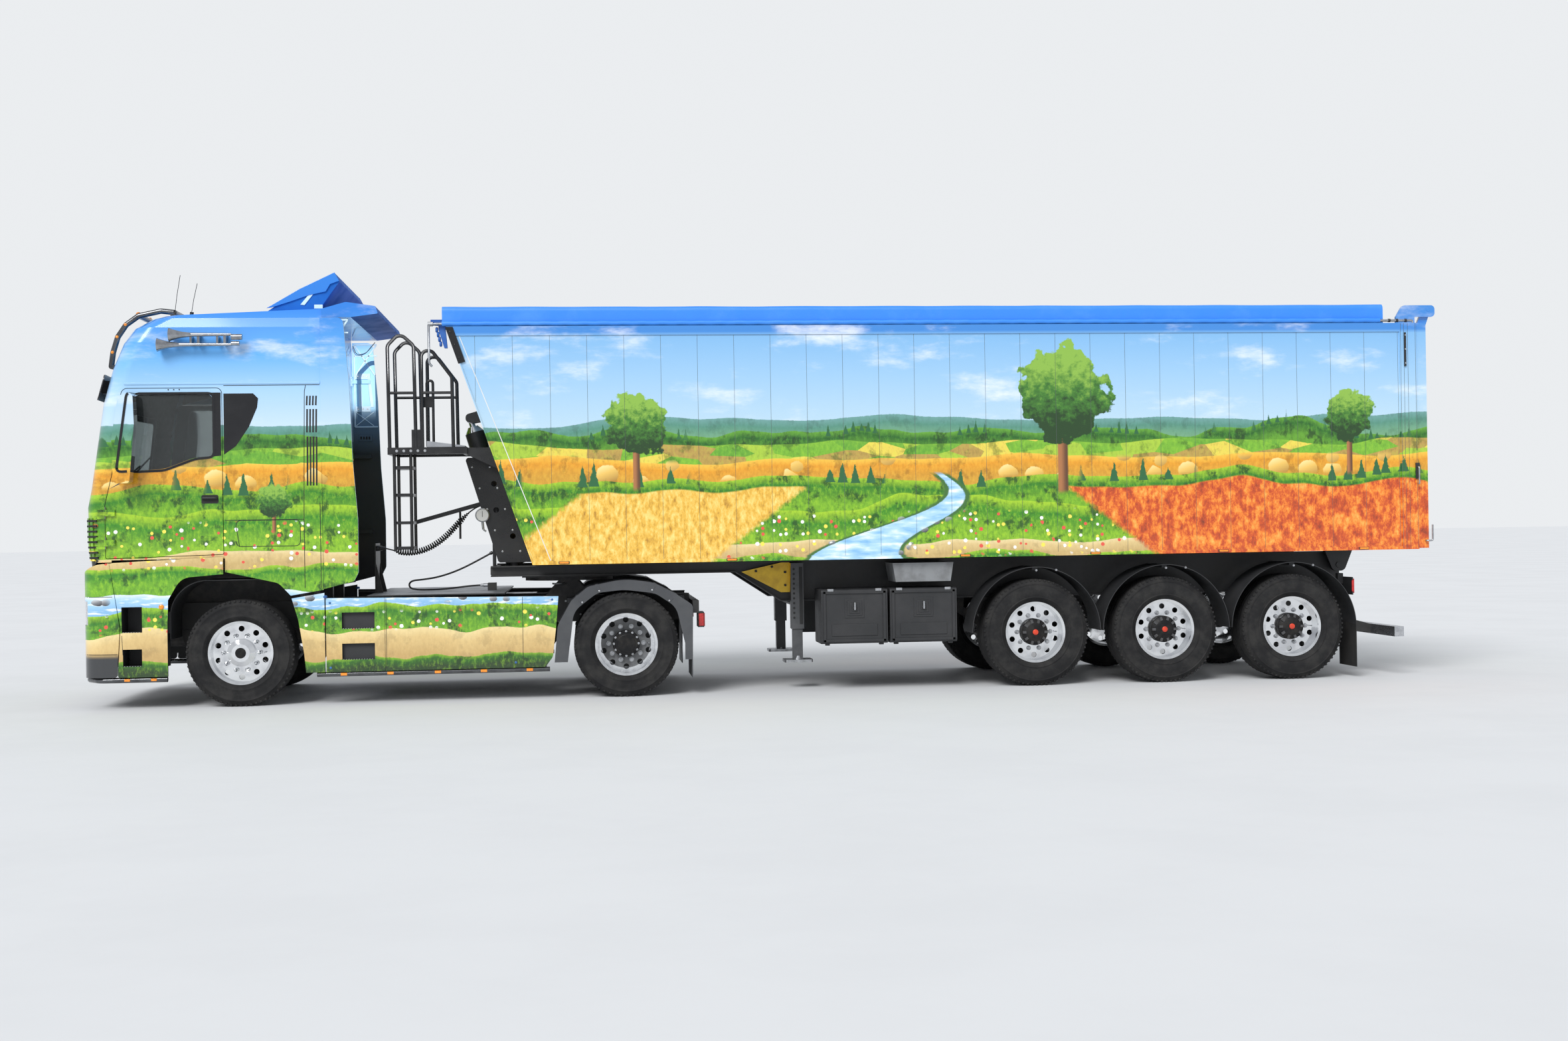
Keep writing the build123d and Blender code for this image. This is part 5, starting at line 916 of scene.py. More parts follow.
lamp_z, front_lamps, side_lamps = 0.90, (-1.02, -0.78), (0.95, 1.38, 1.82, 2.25, 2.68)
step_wells = [  # x from and to, height, depth from the middle
    (-1.052, -0.880, 0.400, 1.250), (-1.060, -0.876, 0.715, 1.250), (0.938, 1.240, 0.418, 1.240),
    (0.938, 1.240, 0.708, 1.240)]
for side, side_name in both_sides:
    lamp = Form(side)
    for y, radius in ((0.895, 0.088), (1.052, 0.070)):
        bowl = [(1, 0.0), (0.96, -0.004), (0.80, 0.045), (0.30, 0.085), (0.012 / radius, 0.09)]
        bulb = [(0.34, 0.062), (0.33, 0.030), (0.20, 0.018), (0.004 / radius, 0.014)]
        for skin, outline, sides in ((0, bowl, 32), (1, bulb, 24)):
            lamp.wear(skin).turned([(radius * share, along) for share, along in outline],
                                   (-1.415 + (y - 0.895) * 0.35, y, lamp_z), (1, 0, 0), sides)
    lamp.wear(2).prism("Z", 0.796, 1.004, [(-1.325, 0.806), (-1.30, 0.806), (-1.20, 1.178), (-1.235, 1.178)])
    lamp.wear(3).prism("Z", 0.80, 0.83, [(-1.425, 0.82), (-1.40, 0.82), (-1.30, 1.15), (-1.33, 1.15)])
    finished(f"headlamp_inside_{side_name}", lamp, [chrome, lamp_clear, black_plastic, lamp_orange], "tractor")

    for x0, x1, low, deep in step_wells:
        bars.plain(f"step_tread_{side_name}_{round(x0 * 100) + 200}_{round(low * 1000)}", alloy_plate, "tractor",
                   "dark_plastic", (x0 + 0.012, side * (deep - 0.035), low + 0.002), Count=int((x1 - x0) / 0.024),
                   Step=(0.024, 0, 0), Size=(0.010, 0.060, 0.006))
    trim = Form(side)
    for places, y, z, wide, high in ((side_lamps, 1.230, 0.2827, 0.030, 0.013),
                                     (front_lamps, 1.228, 0.2737, 0.026, 0.012)):
        for x in places:
            trim.block((x - wide, x + wide), (y, y + 0.014), (z - high, z + high))
    trim.turned([(0.024, -0.004), (0.024, 0.006), (0.016, 0.011), (0.004, 0.012)], (-0.700, 1.250, 0.949), sides=20)
    finished(f"side_lamps_{side_name}", trim, [lamp_orange], "tractor", bevel=0.003)

    seams = Form()
    for skin, start, end, step, width in (
            (bumper_skin, (-1.445, 0.515), (-1.10, 0.515), 0.03, 0.006),
            (bumper_skin, (-1.445, 1.050), (-1.14, 1.050), 0.03, 0.005),
            (steps_skin, (-1.045, 0.330), (-1.06, 0.69), 0.06, 0.004),
            (skirt_skin, (1.347, 0.330), (1.347, 0.985), 0.1, 0.004),
            (skirt_skin, (2.62, 0.330), (2.62, 0.975), 0.1, 0.004)):
        strip(seams, laid([start, end], step, skin.on(side)), width, 0.001)
    finished(f"panel_seams_{side_name}", seams, [seam_black], "tractor")

    caps = Form(side)
    caps.turned([(0.020, 0.0), (0.020, 0.018), (0.012, 0.024), (0.003, 0.025)], (0.787, 1.236, 1.003), (0, 0, 1), 20)
    for x, z in ((0.83, 0.955), (2.90, 0.945), (2.55, 0.355), (0.83, 0.345)):
        caps.turned([(0.011, -0.002), (0.011, 0.002), (0.007, 0.004), (0.002, 0.0045)], (x, 1.240, z), sides=14)
    finished(f"skirt_caps_{side_name}", caps, [cap_blue], "tractor")

plate = Form()
for skin, (wide, low, high, proud) in enumerate(((0.27, 0.70, 0.825, 0.004), (0.26, 0.708, 0.817, 0.006))):
    corners = ((-wide, low), (wide, low), (wide, high), (-wide, high))
    patch(plate.wear(skin), [bumper_skin.front(y, z) for y, z in corners], proud)
finished("front_plate", plate, [black_plastic, plate_white], "tractor")
front_seam = Form()
for y0, y1, z in ((-1.10, 1.10, 1.050), (-1.10, -0.64, 0.655), (0.64, 1.10, 0.655)):
    strip(front_seam, laid([(y0, z), (y1, z)], 0.05, bumper_skin.front), 0.006, 0.001)
finished("front_seams", front_seam, [seam_black], "tractor")
for row in range(6):
    bars.plain(f"intake_mesh_{row}", black_plastic, "tractor", "dark_plastic",
               (-1.392, -0.60 + (row % 2) * 0.015, 0.450 + row * 0.032), roll=math.pi / 2, Count=40,
               Step=(0.030, 0, 0), Size=(0.004, 0.006, 0.030))


# Drive axle mudguards. Grey moulded plastic in three pieces, screwed together over
# the twin wheels, with the tail lamps on the frame's rear beam behind them.
grey_plastic = mottled("grey_plastic", (0.055, 0.058, 0.064), (0.078, 0.081, 0.086), roughness=0.5, grain=0.3)
guard_skin, guard_z, guard_angles = Skin("drive_fenders"), 0.45, (48, 66, 114, 132)
dress("drive_fenders", grey_plastic)
for side, side_name in both_sides:
    guard, bolts = Form(), Form(side)
    for angle in guard_angles:
        out = Vector((math.cos(math.radians(angle)), 0, math.sin(math.radians(angle))))
        strip(guard, [guard_skin.hit(Vector((drive_x, side * y, guard_z)) + out * 1.6, -out)
                      for y in (0.62, 0.85, 1.05, 1.235)], 0.030, 0.004)
        edge = {r: guard_skin.on(side)(drive_x + out.x * r, guard_z + out.z * r) for r in (0.585, 0.62, 0.625, 0.66)}
        strip(guard, [edge[r] for r in (0.585, 0.625, 0.66)], 0.030, 0.003)
        if edge[0.62]:
            bolts.turned([(0.010, -0.002), (0.010, 0.006), (0.006, 0.009), (0.002, 0.0095)],
                         bolts.turn(edge[0.62][0]), sides=6)
    finished(f"guard_joints_{side_name}", guard, [grey_plastic], "tractor", bevel=0.002)
    finished(f"guard_bolts_{side_name}", bolts, [zinc_steel], "tractor")

    tail = Form(side)
    for skin, low_y, high_y in ((0, 0.805, 0.880), (1, 0.884, 0.955), (0, 0.959, 1.035)):
        tail.wear(skin).block((4.357, 4.366), (low_y, high_y), (0.648, 0.777))
    tail.block((4.306, 4.354), (1.0395, 1.046), (0.652, 0.773))
    finished(f"tail_lamp_{side_name}", tail, [lamp_red, lamp_orange], "tractor", bevel=0.004)


# Fifth wheel and air couplings. A cast horseshoe plate, greased bright where the
# trailer's plate rides on it, with its release handle to the left. The air
# couplings stand on a folded bracket behind the cab, the oil ones on the walkway.
grease = mottled("fifth_wheel_grease", (0.030, 0.028, 0.024), (0.10, 0.10, 0.10), 14.0, roughness=0.3, metallic=0.6)
dress("fifth_wheel", cast_iron, (grease, lambda at, normal: normal.z > 0.9 and at.z > 1.13))
handle = Form().tube(bent([(3.02, -0.30, 1.075), (3.02, -0.56, 1.075), (2.98, -0.62, 1.075), (2.90, -0.62, 1.075),
                           (2.90, -0.56, 1.075)], 0.03), 0.009)
finished("coupling_handle", handle, [zinc_steel], "tractor")
couplings = Form().block((1.152, 1.163), (-0.38, 0.02), (1.010, 1.500))
couplings.block((2.245, 2.330), (-0.270, -0.130), (1.010, 1.085))
for y in (-0.36, -0.01):
    couplings.prism("Y", y - 0.004, y + 0.004, [(1.163, 1.010), (1.230, 1.010), (1.163, 1.300)])
for y in (-0.30, -0.20, -0.10):
    couplings.turned([(0.026, 0.0), (0.026, 0.030), (0.016, 0.036), (0.014, 0.070), (0.006, 0.072)],
                     (1.163, y, 1.450), (1, 0, 0), 16)
couplings.wear(1)
for y in (-0.22, -0.17):
    couplings.turned([(0.017, 0.0), (0.017, 0.045), (0.012, 0.050), (0.012, 0.075), (0.004, 0.076)],
                     (2.245, y, 1.062), (-1, 0, 0), 16)
finished("air_couplings", couplings, [frame_black, zinc_steel], "tractor", bevel=0.002)


# Cab. Pressed steel panels, painted all over: door and locker gaps, the folded
# roof gutter, the breather slots behind the sleeper, and the black glazing frame.
cab_skin = Skin("cab_shell", "door_left", "door_right")
gap_z, rear_gap_x, gutter_z, roof_seam_z = 1.745, 0.603, 3.030, 3.008
locker_flap = [(-0.020, 1.497), (0.567, 1.497), (0.567, 1.742), (-0.020, 1.742)]
cab_seams = [
    [(-0.120, gap_z), (rear_gap_x, gap_z)], [(rear_gap_x, 1.100), (rear_gap_x, gap_z), (0.620, 2.950), (0.632, 3.010)],
    [(0.752, 1.100), (0.752, 1.90)], [*loop(locker_flap, 0.05), (0.010, 1.497)],
    [(-0.120, roof_seam_z), (0.760, roof_seam_z)]]
slot_groups, slot_lines = ((2.060, 2.520), (2.560, 2.780), (2.815, 2.905)), (0.640, 0.668, 0.696, 0.724)
quarter_black = [(-0.120, 2.932), (0.150, 2.932), (0.196, 2.885), (0.186, 2.800), (0.110, 2.620), (-0.010, 2.440),
                 (-0.120, 2.360)]
door_window = [(-1.030, 2.212), (-0.660, 2.232), (-0.390, 2.335), (-0.223, 2.345), (-0.223, 2.927), (-0.925, 2.927)]
window_middle = Vector((-0.60, 2.60))
window_frame = [(-0.213, 2.345), (-0.146, 2.352), (-0.146, 2.942), (-0.930, 2.942), (-0.930, 2.930), (-0.213, 2.930)]
vent_low, vent_high = 1.385, 1.785
interior_plastic = mottled("interior_plastic", (0.060, 0.060, 0.064), (0.085, 0.084, 0.086), roughness=0.62, grain=0.35)
headlining = mottled("headlining", (0.24, 0.235, 0.225), (0.19, 0.185, 0.18), 30.0, roughness=0.9, grain=0.12)
mirror_glass = mottled("mirror_glass", (0.75, 0.77, 0.79), (0.68, 0.70, 0.72), roughness=0.03, metallic=1.0)
tinted_glass = mottled("tinted_glass", (0.44, 0.48, 0.48), (0.40, 0.44, 0.44), roughness=0.02,
                       Transmission_Weight=0.96, IOR=1.45)
screen_glass = mottled("screen_glass", (0.50, 0.56, 0.56), (0.46, 0.52, 0.52), roughness=0.02,
                       Transmission_Weight=1.0, IOR=1.45)


def grille_back(at, normal):
    return abs(at.y) < 0.87 and 1.39 < at.z < 1.84 and at.x < -1.20 and (
        normal.x > -0.5 or at.x > -1.412 + at.y ** 2 * 0.06)


dress("cab_shell", headlining, (cab_paint, cab_skin.shows), (black_plastic, grille_back),
      (frame_black, lambda at, normal: at.z < 1.392 and abs(at.y) < 1.19))
for _, side_name in both_sides:
    dress(f"door_{side_name}", interior_plastic,
          (cab_paint, lambda at, normal: abs(at.y) > 1.16 and cab_skin.shows(at, normal)),
          (mirror_glass, lambda at, normal: abs(at.y) > 1.25 and normal.x > 0.85 and at.z < 2.9),
          (black_plastic, lambda at, normal: 1.225 < abs(at.y) < 1.309 and at.z > 2.1))
    dress(f"door_glass_{side_name}", tinted_glass)
dress("windscreen", screen_glass)

for side, side_name in both_sides:
    on_side = cab_skin.on(side)
    seams, slots, gutter = Form(), Form(), Form()
    for line in cab_seams:
        strip(seams, laid(line, 0.05, on_side), 0.006, 0.0008)
    finished(f"cab_seams_{side_name}", seams, [seam_black], "cab")
    # The breather slots are dark strips laid on the skin: their dark is painted shade for the openings.
    for low, high in slot_groups:
        for x in slot_lines:
            strip(slots, laid([(x, low), (x + 0.004, high)], 0.1, on_side), 0.015, 0.0015)
    finished(f"breather_slots_{side_name}", slots, [seam_black], "cab", bevel=0.0008)
    strip(gutter, laid([(-1.020, gutter_z), (0.765, gutter_z)], 0.06, on_side), 0.022, 0.007)
    finished(f"roof_gutter_{side_name}", gutter, [cab_paint], "cab", bevel=0.003)

    glazing, surround = Form(), Form(side)
    patch(glazing, [on_side(x, z) for x, z in quarter_black], 0.003)
    finished(f"quarter_panel_{side_name}", glazing, [gloss_black], "cab", bevel=0.0015)
    patch(surround, [on_side(x, z) for x, z in window_frame], 0.003)
    edge = [point + (point - window_middle).normalized() * 0.014 for point in loop(door_window, 0.05)]
    strip(surround, laid(edge + edge[:2], 0.05, on_side), 0.022, 0.005)
    for x in (-0.62, -0.57, -0.52):
        at = surround.turn(on_side(x, 2.972)[0])
        surround.turned([(0.006, -0.001), (0.006, 0.003), (0.002, 0.004)], at, sides=12)
    finished(f"window_frame_{side_name}", surround, [gloss_black], f"door_{side_name}")

    grip = Form(side).prism("Y", 1.2185, 1.2215, loop([(-0.330, 1.905), (-0.175, 1.905), (-0.175, 1.985),
                                                       (-0.330, 1.985)]))
    grip.wear(1).tube(bent([(-0.318, 1.219, 1.955), (-0.318, 1.244, 1.955), (-0.190, 1.244, 1.955),
                            (-0.190, 1.219, 1.955)], 0.02), 0.010)
    finished(f"door_handle_{side_name}", grip, [seam_black, black_plastic], f"door_{side_name}")

    outward = Vector((-1, side * 0.85, 0)).normalized()
    sideways = Vector((outward.y, -outward.x, 0))

    def on_corner(turn, z):
        return cab_skin.hit(Vector((-1.29, side * 1.10, z)) + outward + sideways * turn, -outward)

    vent = Form()
    for turn in (-0.03, 0.03):
        strip(vent, laid([(turn, vent_low), (turn, vent_high)], 0.05, on_corner), 0.040, 0.012, sunk=0.02)
    # The slots between the vent's slats are dark strips: painted shade for the openings.
    vent.wear(1)
    for z in (vent_low + 0.03 + number * 0.049 for number in range(8)):
        strip(vent, laid([(-0.09, z), (0.09, z)], 0.03, on_corner), 0.018, 0.016, sunk=0.004)
    finished(f"corner_vent_{side_name}", vent, [cab_paint, seam_black], "cab", bevel=0.002)

    horns = Form(side)
    for end, z, radius in ((0.070, 3.455, 0.028), (0.045, 3.395, 0.022)):
        horns.tube([(-0.030, 1.258, z), (end, 1.258, z)], radius, 20)
    for x in (-0.40, -0.16):
        horns.block((x - 0.010, x + 0.010), (1.160, 1.250), (3.400, 3.470))
    finished(f"horn_clamps_{side_name}", horns, [horn_chrome], "cab", bevel=0.002)

dress("roof_trim", gloss_black, (dark_chrome, lambda at, normal: at.z > 3.15 and abs(at.y) < 1.05),
      (horn_chrome, lambda at, normal: abs(at.y) > 1.10 and at.z > 3.2))
lamps = Form()
for y in (-0.72, -0.36, 0.0, 0.36, 0.72):
    lamps.turned([(0.026, -0.008), (0.026, 0.012), (0.018, 0.020), (0.005, 0.022)], (-1.212, y, 3.215),
                 (-1, 0, 0.1), 20)
for y in (-0.90, -0.45, 0.45, 0.90):
    lamps.turned([(0.020, -0.006), (0.020, 0.010), (0.012, 0.016), (0.004, 0.017)], (-0.950, y, 3.714),
                 (-0.4, 0, 1), 18)
for z, x in ((3.345, -1.172), (3.490, -1.128), (3.606, -1.050)):
    for side, _ in both_sides:
        lamps.turned([(0.014, 0.018), (0.014, 0.032), (0.008, 0.036), (0.003, 0.037)], (x, side * 0.950, z),
                     (0, side, 0), 14)
finished("roof_lamps", lamps, [lamp_orange], "cab")
aerials = Form()
for x0, z0, x1, z1, y in ((-0.655, 3.700, -0.598, 4.106, -0.72), (-0.481, 3.712, -0.424, 4.016, -0.80)):
    aerials.tube([(x0, y, z0), (x0 + 0.004, y, z0 + 0.03)], 0.018, 14)
    aerials.tube([(x0, y, z0 + 0.02), ((x0 + x1) / 2 - 0.006, y, (z0 + z1) / 2), (x1, y, z1)], 0.0028, 8)
finished("aerials", aerials, [black_plastic], "cab")

screen_skin, wipers, border = Skin("windscreen"), Form(), Form()
for y0, y1 in ((-0.62, -0.02), (0.10, 0.72)):
    strip(wipers, laid([(y0, 2.135), (y1, 2.33)], 0.1, screen_skin.front), 0.014, 0.024, sunk=-0.014)
    strip(wipers, laid([(y1 - 0.34, 2.17), (y1 + 0.26, 2.43)], 0.06, screen_skin.front), 0.010, 0.016, sunk=-0.001)
finished("wipers", wipers, [black_plastic], "cab")
rim = loop([(-1.00, 2.140), (1.00, 2.140), (0.95, 2.800), (-0.95, 2.800)], 0.08)
strip(border, laid([*rim, *rim[:2]], 0.06, screen_skin.front), 0.055, 0.0012, sunk=0.001)
finished("screen_border", border, [gloss_black], "cab")


# Air deflectors. Painted plastic shells: side fins, roof spoiler and rear wing.
# The fins are ribbed on the inside, with screwed flanges and a short stay cable.
# Inside the fins the colour runs from near black at the foot, through grey-blue, to light blue above about 2.93 m. The
# near black is dark paint and painted shade together; the grey-blue band is painted shade.
fin_inside = Finish("fin_inside")
fin_inside.set(Base_Color=fin_inside.ramp(
    fin_inside.share(fin_inside.z, 1.1, 3.7), (0.0, (0.018, 0.019, 0.021)), (0.52, (0.030, 0.040, 0.046)),
    (0.62, (0.10, 0.17, 0.24)), (0.69, (0.20, 0.34, 0.48)), (0.705, (0.46, 0.78, 0.98)), (1.0, (0.36, 0.70, 0.98))))
fin_inside.bump(fin_inside.noise(200.0), 0.2, 0.001)
fin_inside = fin_inside.material
# The ribs, the fins' rear edges and a strip on each spoiler flange are a lighter blue than the fin inside: a painted
# highlight for the light that catches them.
rib_blue = mottled("rib_blue", (0.70, 0.88, 0.98), (0.60, 0.82, 0.96), 4.0, roughness=0.45)
wing_shade = mottled("wing_shade", (0.014, 0.15, 0.58), (0.010, 0.11, 0.46), roughness=0.55, grain=0.1,
                     Specular_IOR_Level=0.15)


def fin_back(at, normal):
    return abs(at.y) > 1.11 and at.z < 3.66 and (normal.y * at.y < -0.3 or abs(at.y) < 1.1845)


def wing_under(at, normal):
    upright = abs(normal.y) > 0.9
    return at.z > 3.66 and (normal.z < -0.1 or normal.x > 0.55 or abs(at.y) < 0.945 and upright) or (
        at.z > 3.74 and 0.95 < abs(at.y) < 0.97 and upright)


dress("air_deflectors", cab_paint, (fin_inside, fin_back),
      (rib_blue, lambda at, normal: abs(at.y) > 1.18 and normal.x > 0.75 and at.z < 3.6), (wing_shade, wing_under))
fin_y, wing_y = 1.185, 0.9605
fin_braces = [  # x and z of both ends, half the width
    (0.80, 3.29, 1.02, 3.61, 0.010), (1.01, 3.29, 0.80, 3.61, 0.010), (0.855, 2.95, 0.845, 3.26, 0.017),
    (0.975, 2.95, 0.945, 3.26, 0.017), (0.80, 2.75, 0.99, 2.90, 0.006), (0.99, 2.75, 0.80, 2.90, 0.006)]
wing_end = [(0.245, 3.757), (0.560, 3.942), (0.884, 4.098), (0.928, 4.017), (0.842, 3.985), (0.800, 3.915),
            (0.640, 3.880), (0.470, 3.820), (0.300, 3.765)]
for side, side_name in both_sides:
    ribs, depth = Form(side), (fin_y - 0.014, fin_y)
    for x0, z0, x1, z1, wide in fin_braces:
        ribs.prism("Y", *depth, [(x0 - wide, z0), (x0 + wide, z0), (x1 + wide, z1), (x1 - wide, z1)])
    for z in (2.74, 3.50, 3.62):
        ribs.block((0.79, 1.030), depth, (z - 0.007, z + 0.007))
    ribs.block((0.785, 0.800), depth, (2.74, 3.62))
    for z in (2.93, 3.28):
        ribs.block((0.80, 0.96), (fin_y - 0.030, fin_y), (z - 0.030, z + 0.030))
    ribs.wear(1).block((0.83, 0.97), depth, (2.585, 2.655)).wear(2)
    for number in range(4):
        ribs.block((0.845 + number * 0.029, 0.862 + number * 0.029), (fin_y - 0.018, fin_y), (2.605, 2.635))
    finished(f"fin_ribs_{side_name}", ribs, [rib_blue, fin_inside, seam_black], "cab", bevel=0.002)
    flange = Form(side).prism("Y", wing_y, wing_y + 0.014, wing_end).wear(1)
    flange.prism("Y", wing_y, wing_y + 0.008, [(0.560, 3.790), (0.600, 3.785), (0.690, 3.900), (0.655, 3.905)])
    flange.block((0.690, 0.770), (wing_y, wing_y + 0.012), (3.752, 3.790))
    finished(f"spoiler_flange_{side_name}", flange, [cab_paint, rib_blue], "cab", bevel=0.003)
    for z in (2.93, 3.28):
        rounds.plain(f"fin_screws_{side_name}_{round(z * 100)}", zinc_steel, "cab", "bright_metal",
                     (0.83, side * (fin_y - 0.031), z), (0, -side, 0), Count=3, Step=(side * 0.048, 0, 0),
                     Radius=0.009, Height=0.006)
    stay = [(0.79, 1.10, 3.60), (0.83, 1.08, 3.50), (0.93, 1.08, 3.52), (1.02, 1.12, 3.64)]
    finished(f"wing_stay_{side_name}", Form(side).tube(bent(stay, 0.04, 6), 0.004, 8), [black_plastic], "cab")


# Inside the cab. Moulded dashboard with hooded dials, a leather-rimmed wheel, two
# sprung seats and the bunk behind them: foam cushions in woven cloth with piping.
leather = mottled("wheel_leather", (0.020, 0.020, 0.021), (0.035, 0.034, 0.033), 40.0, roughness=0.45, grain=0.5)
wheel_place, dial_x, dial_z = Vector((-0.790, -0.620, 2.015)), -0.985, 2.010
dress("dashboard", interior_plastic, (leather, lambda at, normal: at.z > 1.79 and (at - wheel_place).length < 0.26))
dials = Form()
for y, radius in ((-0.75, 0.055), (-0.62, 0.062), (-0.49, 0.055)):
    dials.wear(0).turned([(radius, -0.030), (radius, 0.012), (radius - 0.006, 0.012), (radius - 0.008, -0.002),
                          (0.005, -0.002)], (dial_x, y, dial_z), (0.8, 0, 0.6), 32)
    dials.wear(1).tube([(-0.982, y, 2.012), (-1.002, y + 0.6 * radius, 2.040)], 0.0015, 6)
dials.wear(0).prism("Y", -0.12, 0.16, [(-0.985, 1.83), (-0.978, 1.83), (-0.958, 1.95), (-0.965, 1.95)])
finished("dials", dials, [gloss_black, plate_white], "cab")


def seat_cloth(name, base, light, thread):
    cloth = Finish(name, roughness=0.9, Sheen_Weight=0.35)
    weave = cloth.math("SINE", (cloth.x + cloth.z) * thread) * cloth.math("SINE", cloth.y * thread)
    cloth.set(Base_Color=cloth.mix(cloth.rise(cloth.noise(160.0), 0.45, 0.62), base, light))
    cloth.bump(weave, 0.15, 0.0012)
    return cloth.material


seat_weave = seat_cloth("seat_cloth", (0.030, 0.036, 0.047), (0.048, 0.055, 0.068), 900.0)
bunk_weave = seat_cloth("bunk_cloth", (0.055, 0.075, 0.12), (0.10, 0.13, 0.19), 700.0)
piping = mottled("seat_piping", (0.012, 0.012, 0.014), (0.02, 0.02, 0.02), roughness=0.7, grain=0.3)
pillow_cloth = mottled("pillow_cloth", (0.62, 0.62, 0.60), (0.54, 0.54, 0.53), 14.0, roughness=0.9, grain=0.3)


def square(x, y, wide, deep):
    """A rectangle's corners about a middle."""
    return [(x - wide, y - deep), (x + wide, y - deep), (x + wide, y + deep), (x - wide, y + deep)]


def cushion(name, size, at, lean, finish, channels, crown, seed, grid=26):
    """A crowned pad with sewn channels along its length, sides drawn in between the corners, and piping."""
    half, form = Vector(size) / 2, Form()
    place = Matrix.Translation(at) @ Matrix.Rotation(math.radians(lean), 4, "Y")
    bmesh.ops.create_cube(form.mesh, size=2.0)
    bmesh.ops.subdivide_edges(form.mesh, edges=form.mesh.edges, cuts=grid, use_grid_fill=True)
    for vert in form.mesh.verts:
        x, y, z = vert.co / sum(abs(c) ** 7 for c in vert.co) ** (1 / 7)
        drawn_x = 1 - 0.035 * (1 - abs(y) ** 3) * abs(x) ** 4
        drawn_y = 1 - 0.030 * (1 - abs(x) ** 3) * abs(y) ** 4
        up = crown * (1 - abs(x) ** 3) * (1 - abs(y) ** 3) if z > 0 else 0.0
        if z > 0.3 and abs(y) < 0.86:
            for channel in range(1, channels):
                off = abs(x - (2 * channel / channels - 1)) * half.x
                up -= 0.012 * math.exp(-(off / 0.008) ** 2)
        up += 0.022 * max(0.0, (abs(y) - 0.62) / 0.38) ** 2 * (z > 0.2)
        up += 0.0018 * noise.noise(Vector((x * 5 + seed, y * 5, z * 2)))
        vert.co = Vector((x * half.x * drawn_x, y * half.y * drawn_y, z * half.z + up))
    form.mesh.transform(place)
    rim = bent([(x, y, 0) for x, y in square(0, 0, half.x * 0.985, half.y * 0.985)], 0.05, 6, closed=True)
    for level in (0.62, -0.62):
        form.wear(1).tube([place @ (point + Vector((0, 0, half.z * level))) for point in rim], 0.0045, 8, closed=True)
    return finished(name, form, [finish, piping], "cab", sharp=60)


for side, side_name in both_sides:
    y = side * 0.620
    for part, size, x, z, lean, channels, crown, seed in (
            ("seat_cushion", (0.50, 0.48, 0.120), -0.312, 1.857, -4, 4, 0.018, 1),
            ("seat_back", (0.60, 0.455, 0.105), 0.022, 2.215, 269.5, 5, 0.014, 3),
            ("head_rest", (0.165, 0.300, 0.095), 0.088, 2.560, 269.5, 2, 0.010, 5)):
        cushion(f"{part}_{side_name}", size, (x, y, z), lean, seat_weave, channels, crown, seed + side)
    base = Form().prism("Z", 1.755, 1.792, loop(square(-0.315, y, 0.235, 0.23), 0.05))
    base.block((-0.42, -0.16), (y - 0.15, y + 0.15), (1.445, 1.50))
    for level in range(7):
        z, wide = 1.515 + level * 0.034, 0.125 if level % 2 else 0.140
        base.prism("Z", z - 0.012, z + 0.012, loop(square(-0.29, y, wide, wide), 0.04))
    for stay_y in (y - 0.07, y + 0.07):
        base.tube([(0.075, stay_y, 2.46), (0.085, stay_y, 2.55)], 0.006)
    base.prism("Y", y - 0.20, y + 0.20, loop([(0.035, 1.95), (0.070, 1.95), (0.150, 2.48), (0.120, 2.50)], 0.015))
    finished(f"seat_base_{side_name}", base, [interior_plastic], "cab", bevel=0.004)
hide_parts("seats")
cushion("bunk_mattress", (0.43, 2.16, 0.155), (0.487, 0, 1.992), 0, bunk_weave, 1, 0.016, 8.0, grid=30)
cushion("bunk_pillow", (0.36, 0.52, 0.12), (0.490, -0.76, 2.115), -3, pillow_cloth, 1, 0.030, 11.0)
bunk_base = Form().block((0.300, 0.714), (-1.05, 1.05), (1.446, 1.895))
bunk_base.block((0.262, 0.714), (-1.095, 1.095), (1.895, 1.915))
finished("bunk_base", bunk_base, [interior_plastic], "cab", bevel=0.01, replaced=["bunk"])


# Semi-trailer chassis. Black beams on three air-sprung axles, with plastic mudguards,
# tool boxes, wind-down legs on plated feet, and lamps at the rear.
chassis_grey = mottled("trailer_black", (0.022, 0.023, 0.025), (0.045, 0.044, 0.042), 4.0, grain=0.2)
leg_grey = mottled("leg_grey", (0.055, 0.058, 0.062), (0.085, 0.086, 0.09), 6.0, grain=0.2)
gusset_yellow = mottled("gusset_yellow", (0.78, 0.50, 0.02), (0.58, 0.34, 0.02), 9.0, roughness=0.45, grain=0.15)
box_grey = mottled("case_grey", (0.25, 0.26, 0.27), (0.18, 0.185, 0.19), 9.0, roughness=0.55, grain=0.3)
flap_rubber = mottled("flap_rubber", (0.016, 0.016, 0.016), (0.03, 0.028, 0.026), 5.0, roughness=0.75, grain=0.3)
tank_grey = mottled("air_tank_grey", (0.20, 0.205, 0.21), (0.14, 0.142, 0.145), 5.0, roughness=0.4, grain=0.1)
dress("trailer_frame", chassis_grey, (bright_steel, lambda at, normal: at.z < 0.51 and at.x > 11.285),
      (grease, lambda at, normal: normal.z < -0.9 and at.z < 1.15 and at.x < 3.6))
dress("trailer_axles", cast_iron, (rubber, lambda at, normal: (
    0.70 < at.z < 0.852 and abs(abs(at.y) - 0.65) < 0.125 and abs(normal.y) < 0.995)))
dress("landing_legs", leg_grey, (gusset_yellow, lambda at, normal: 4.74 < at.x < 5.238 and at.z > 0.94),
      (zinc_steel, lambda at, normal: at.z < 0.30))
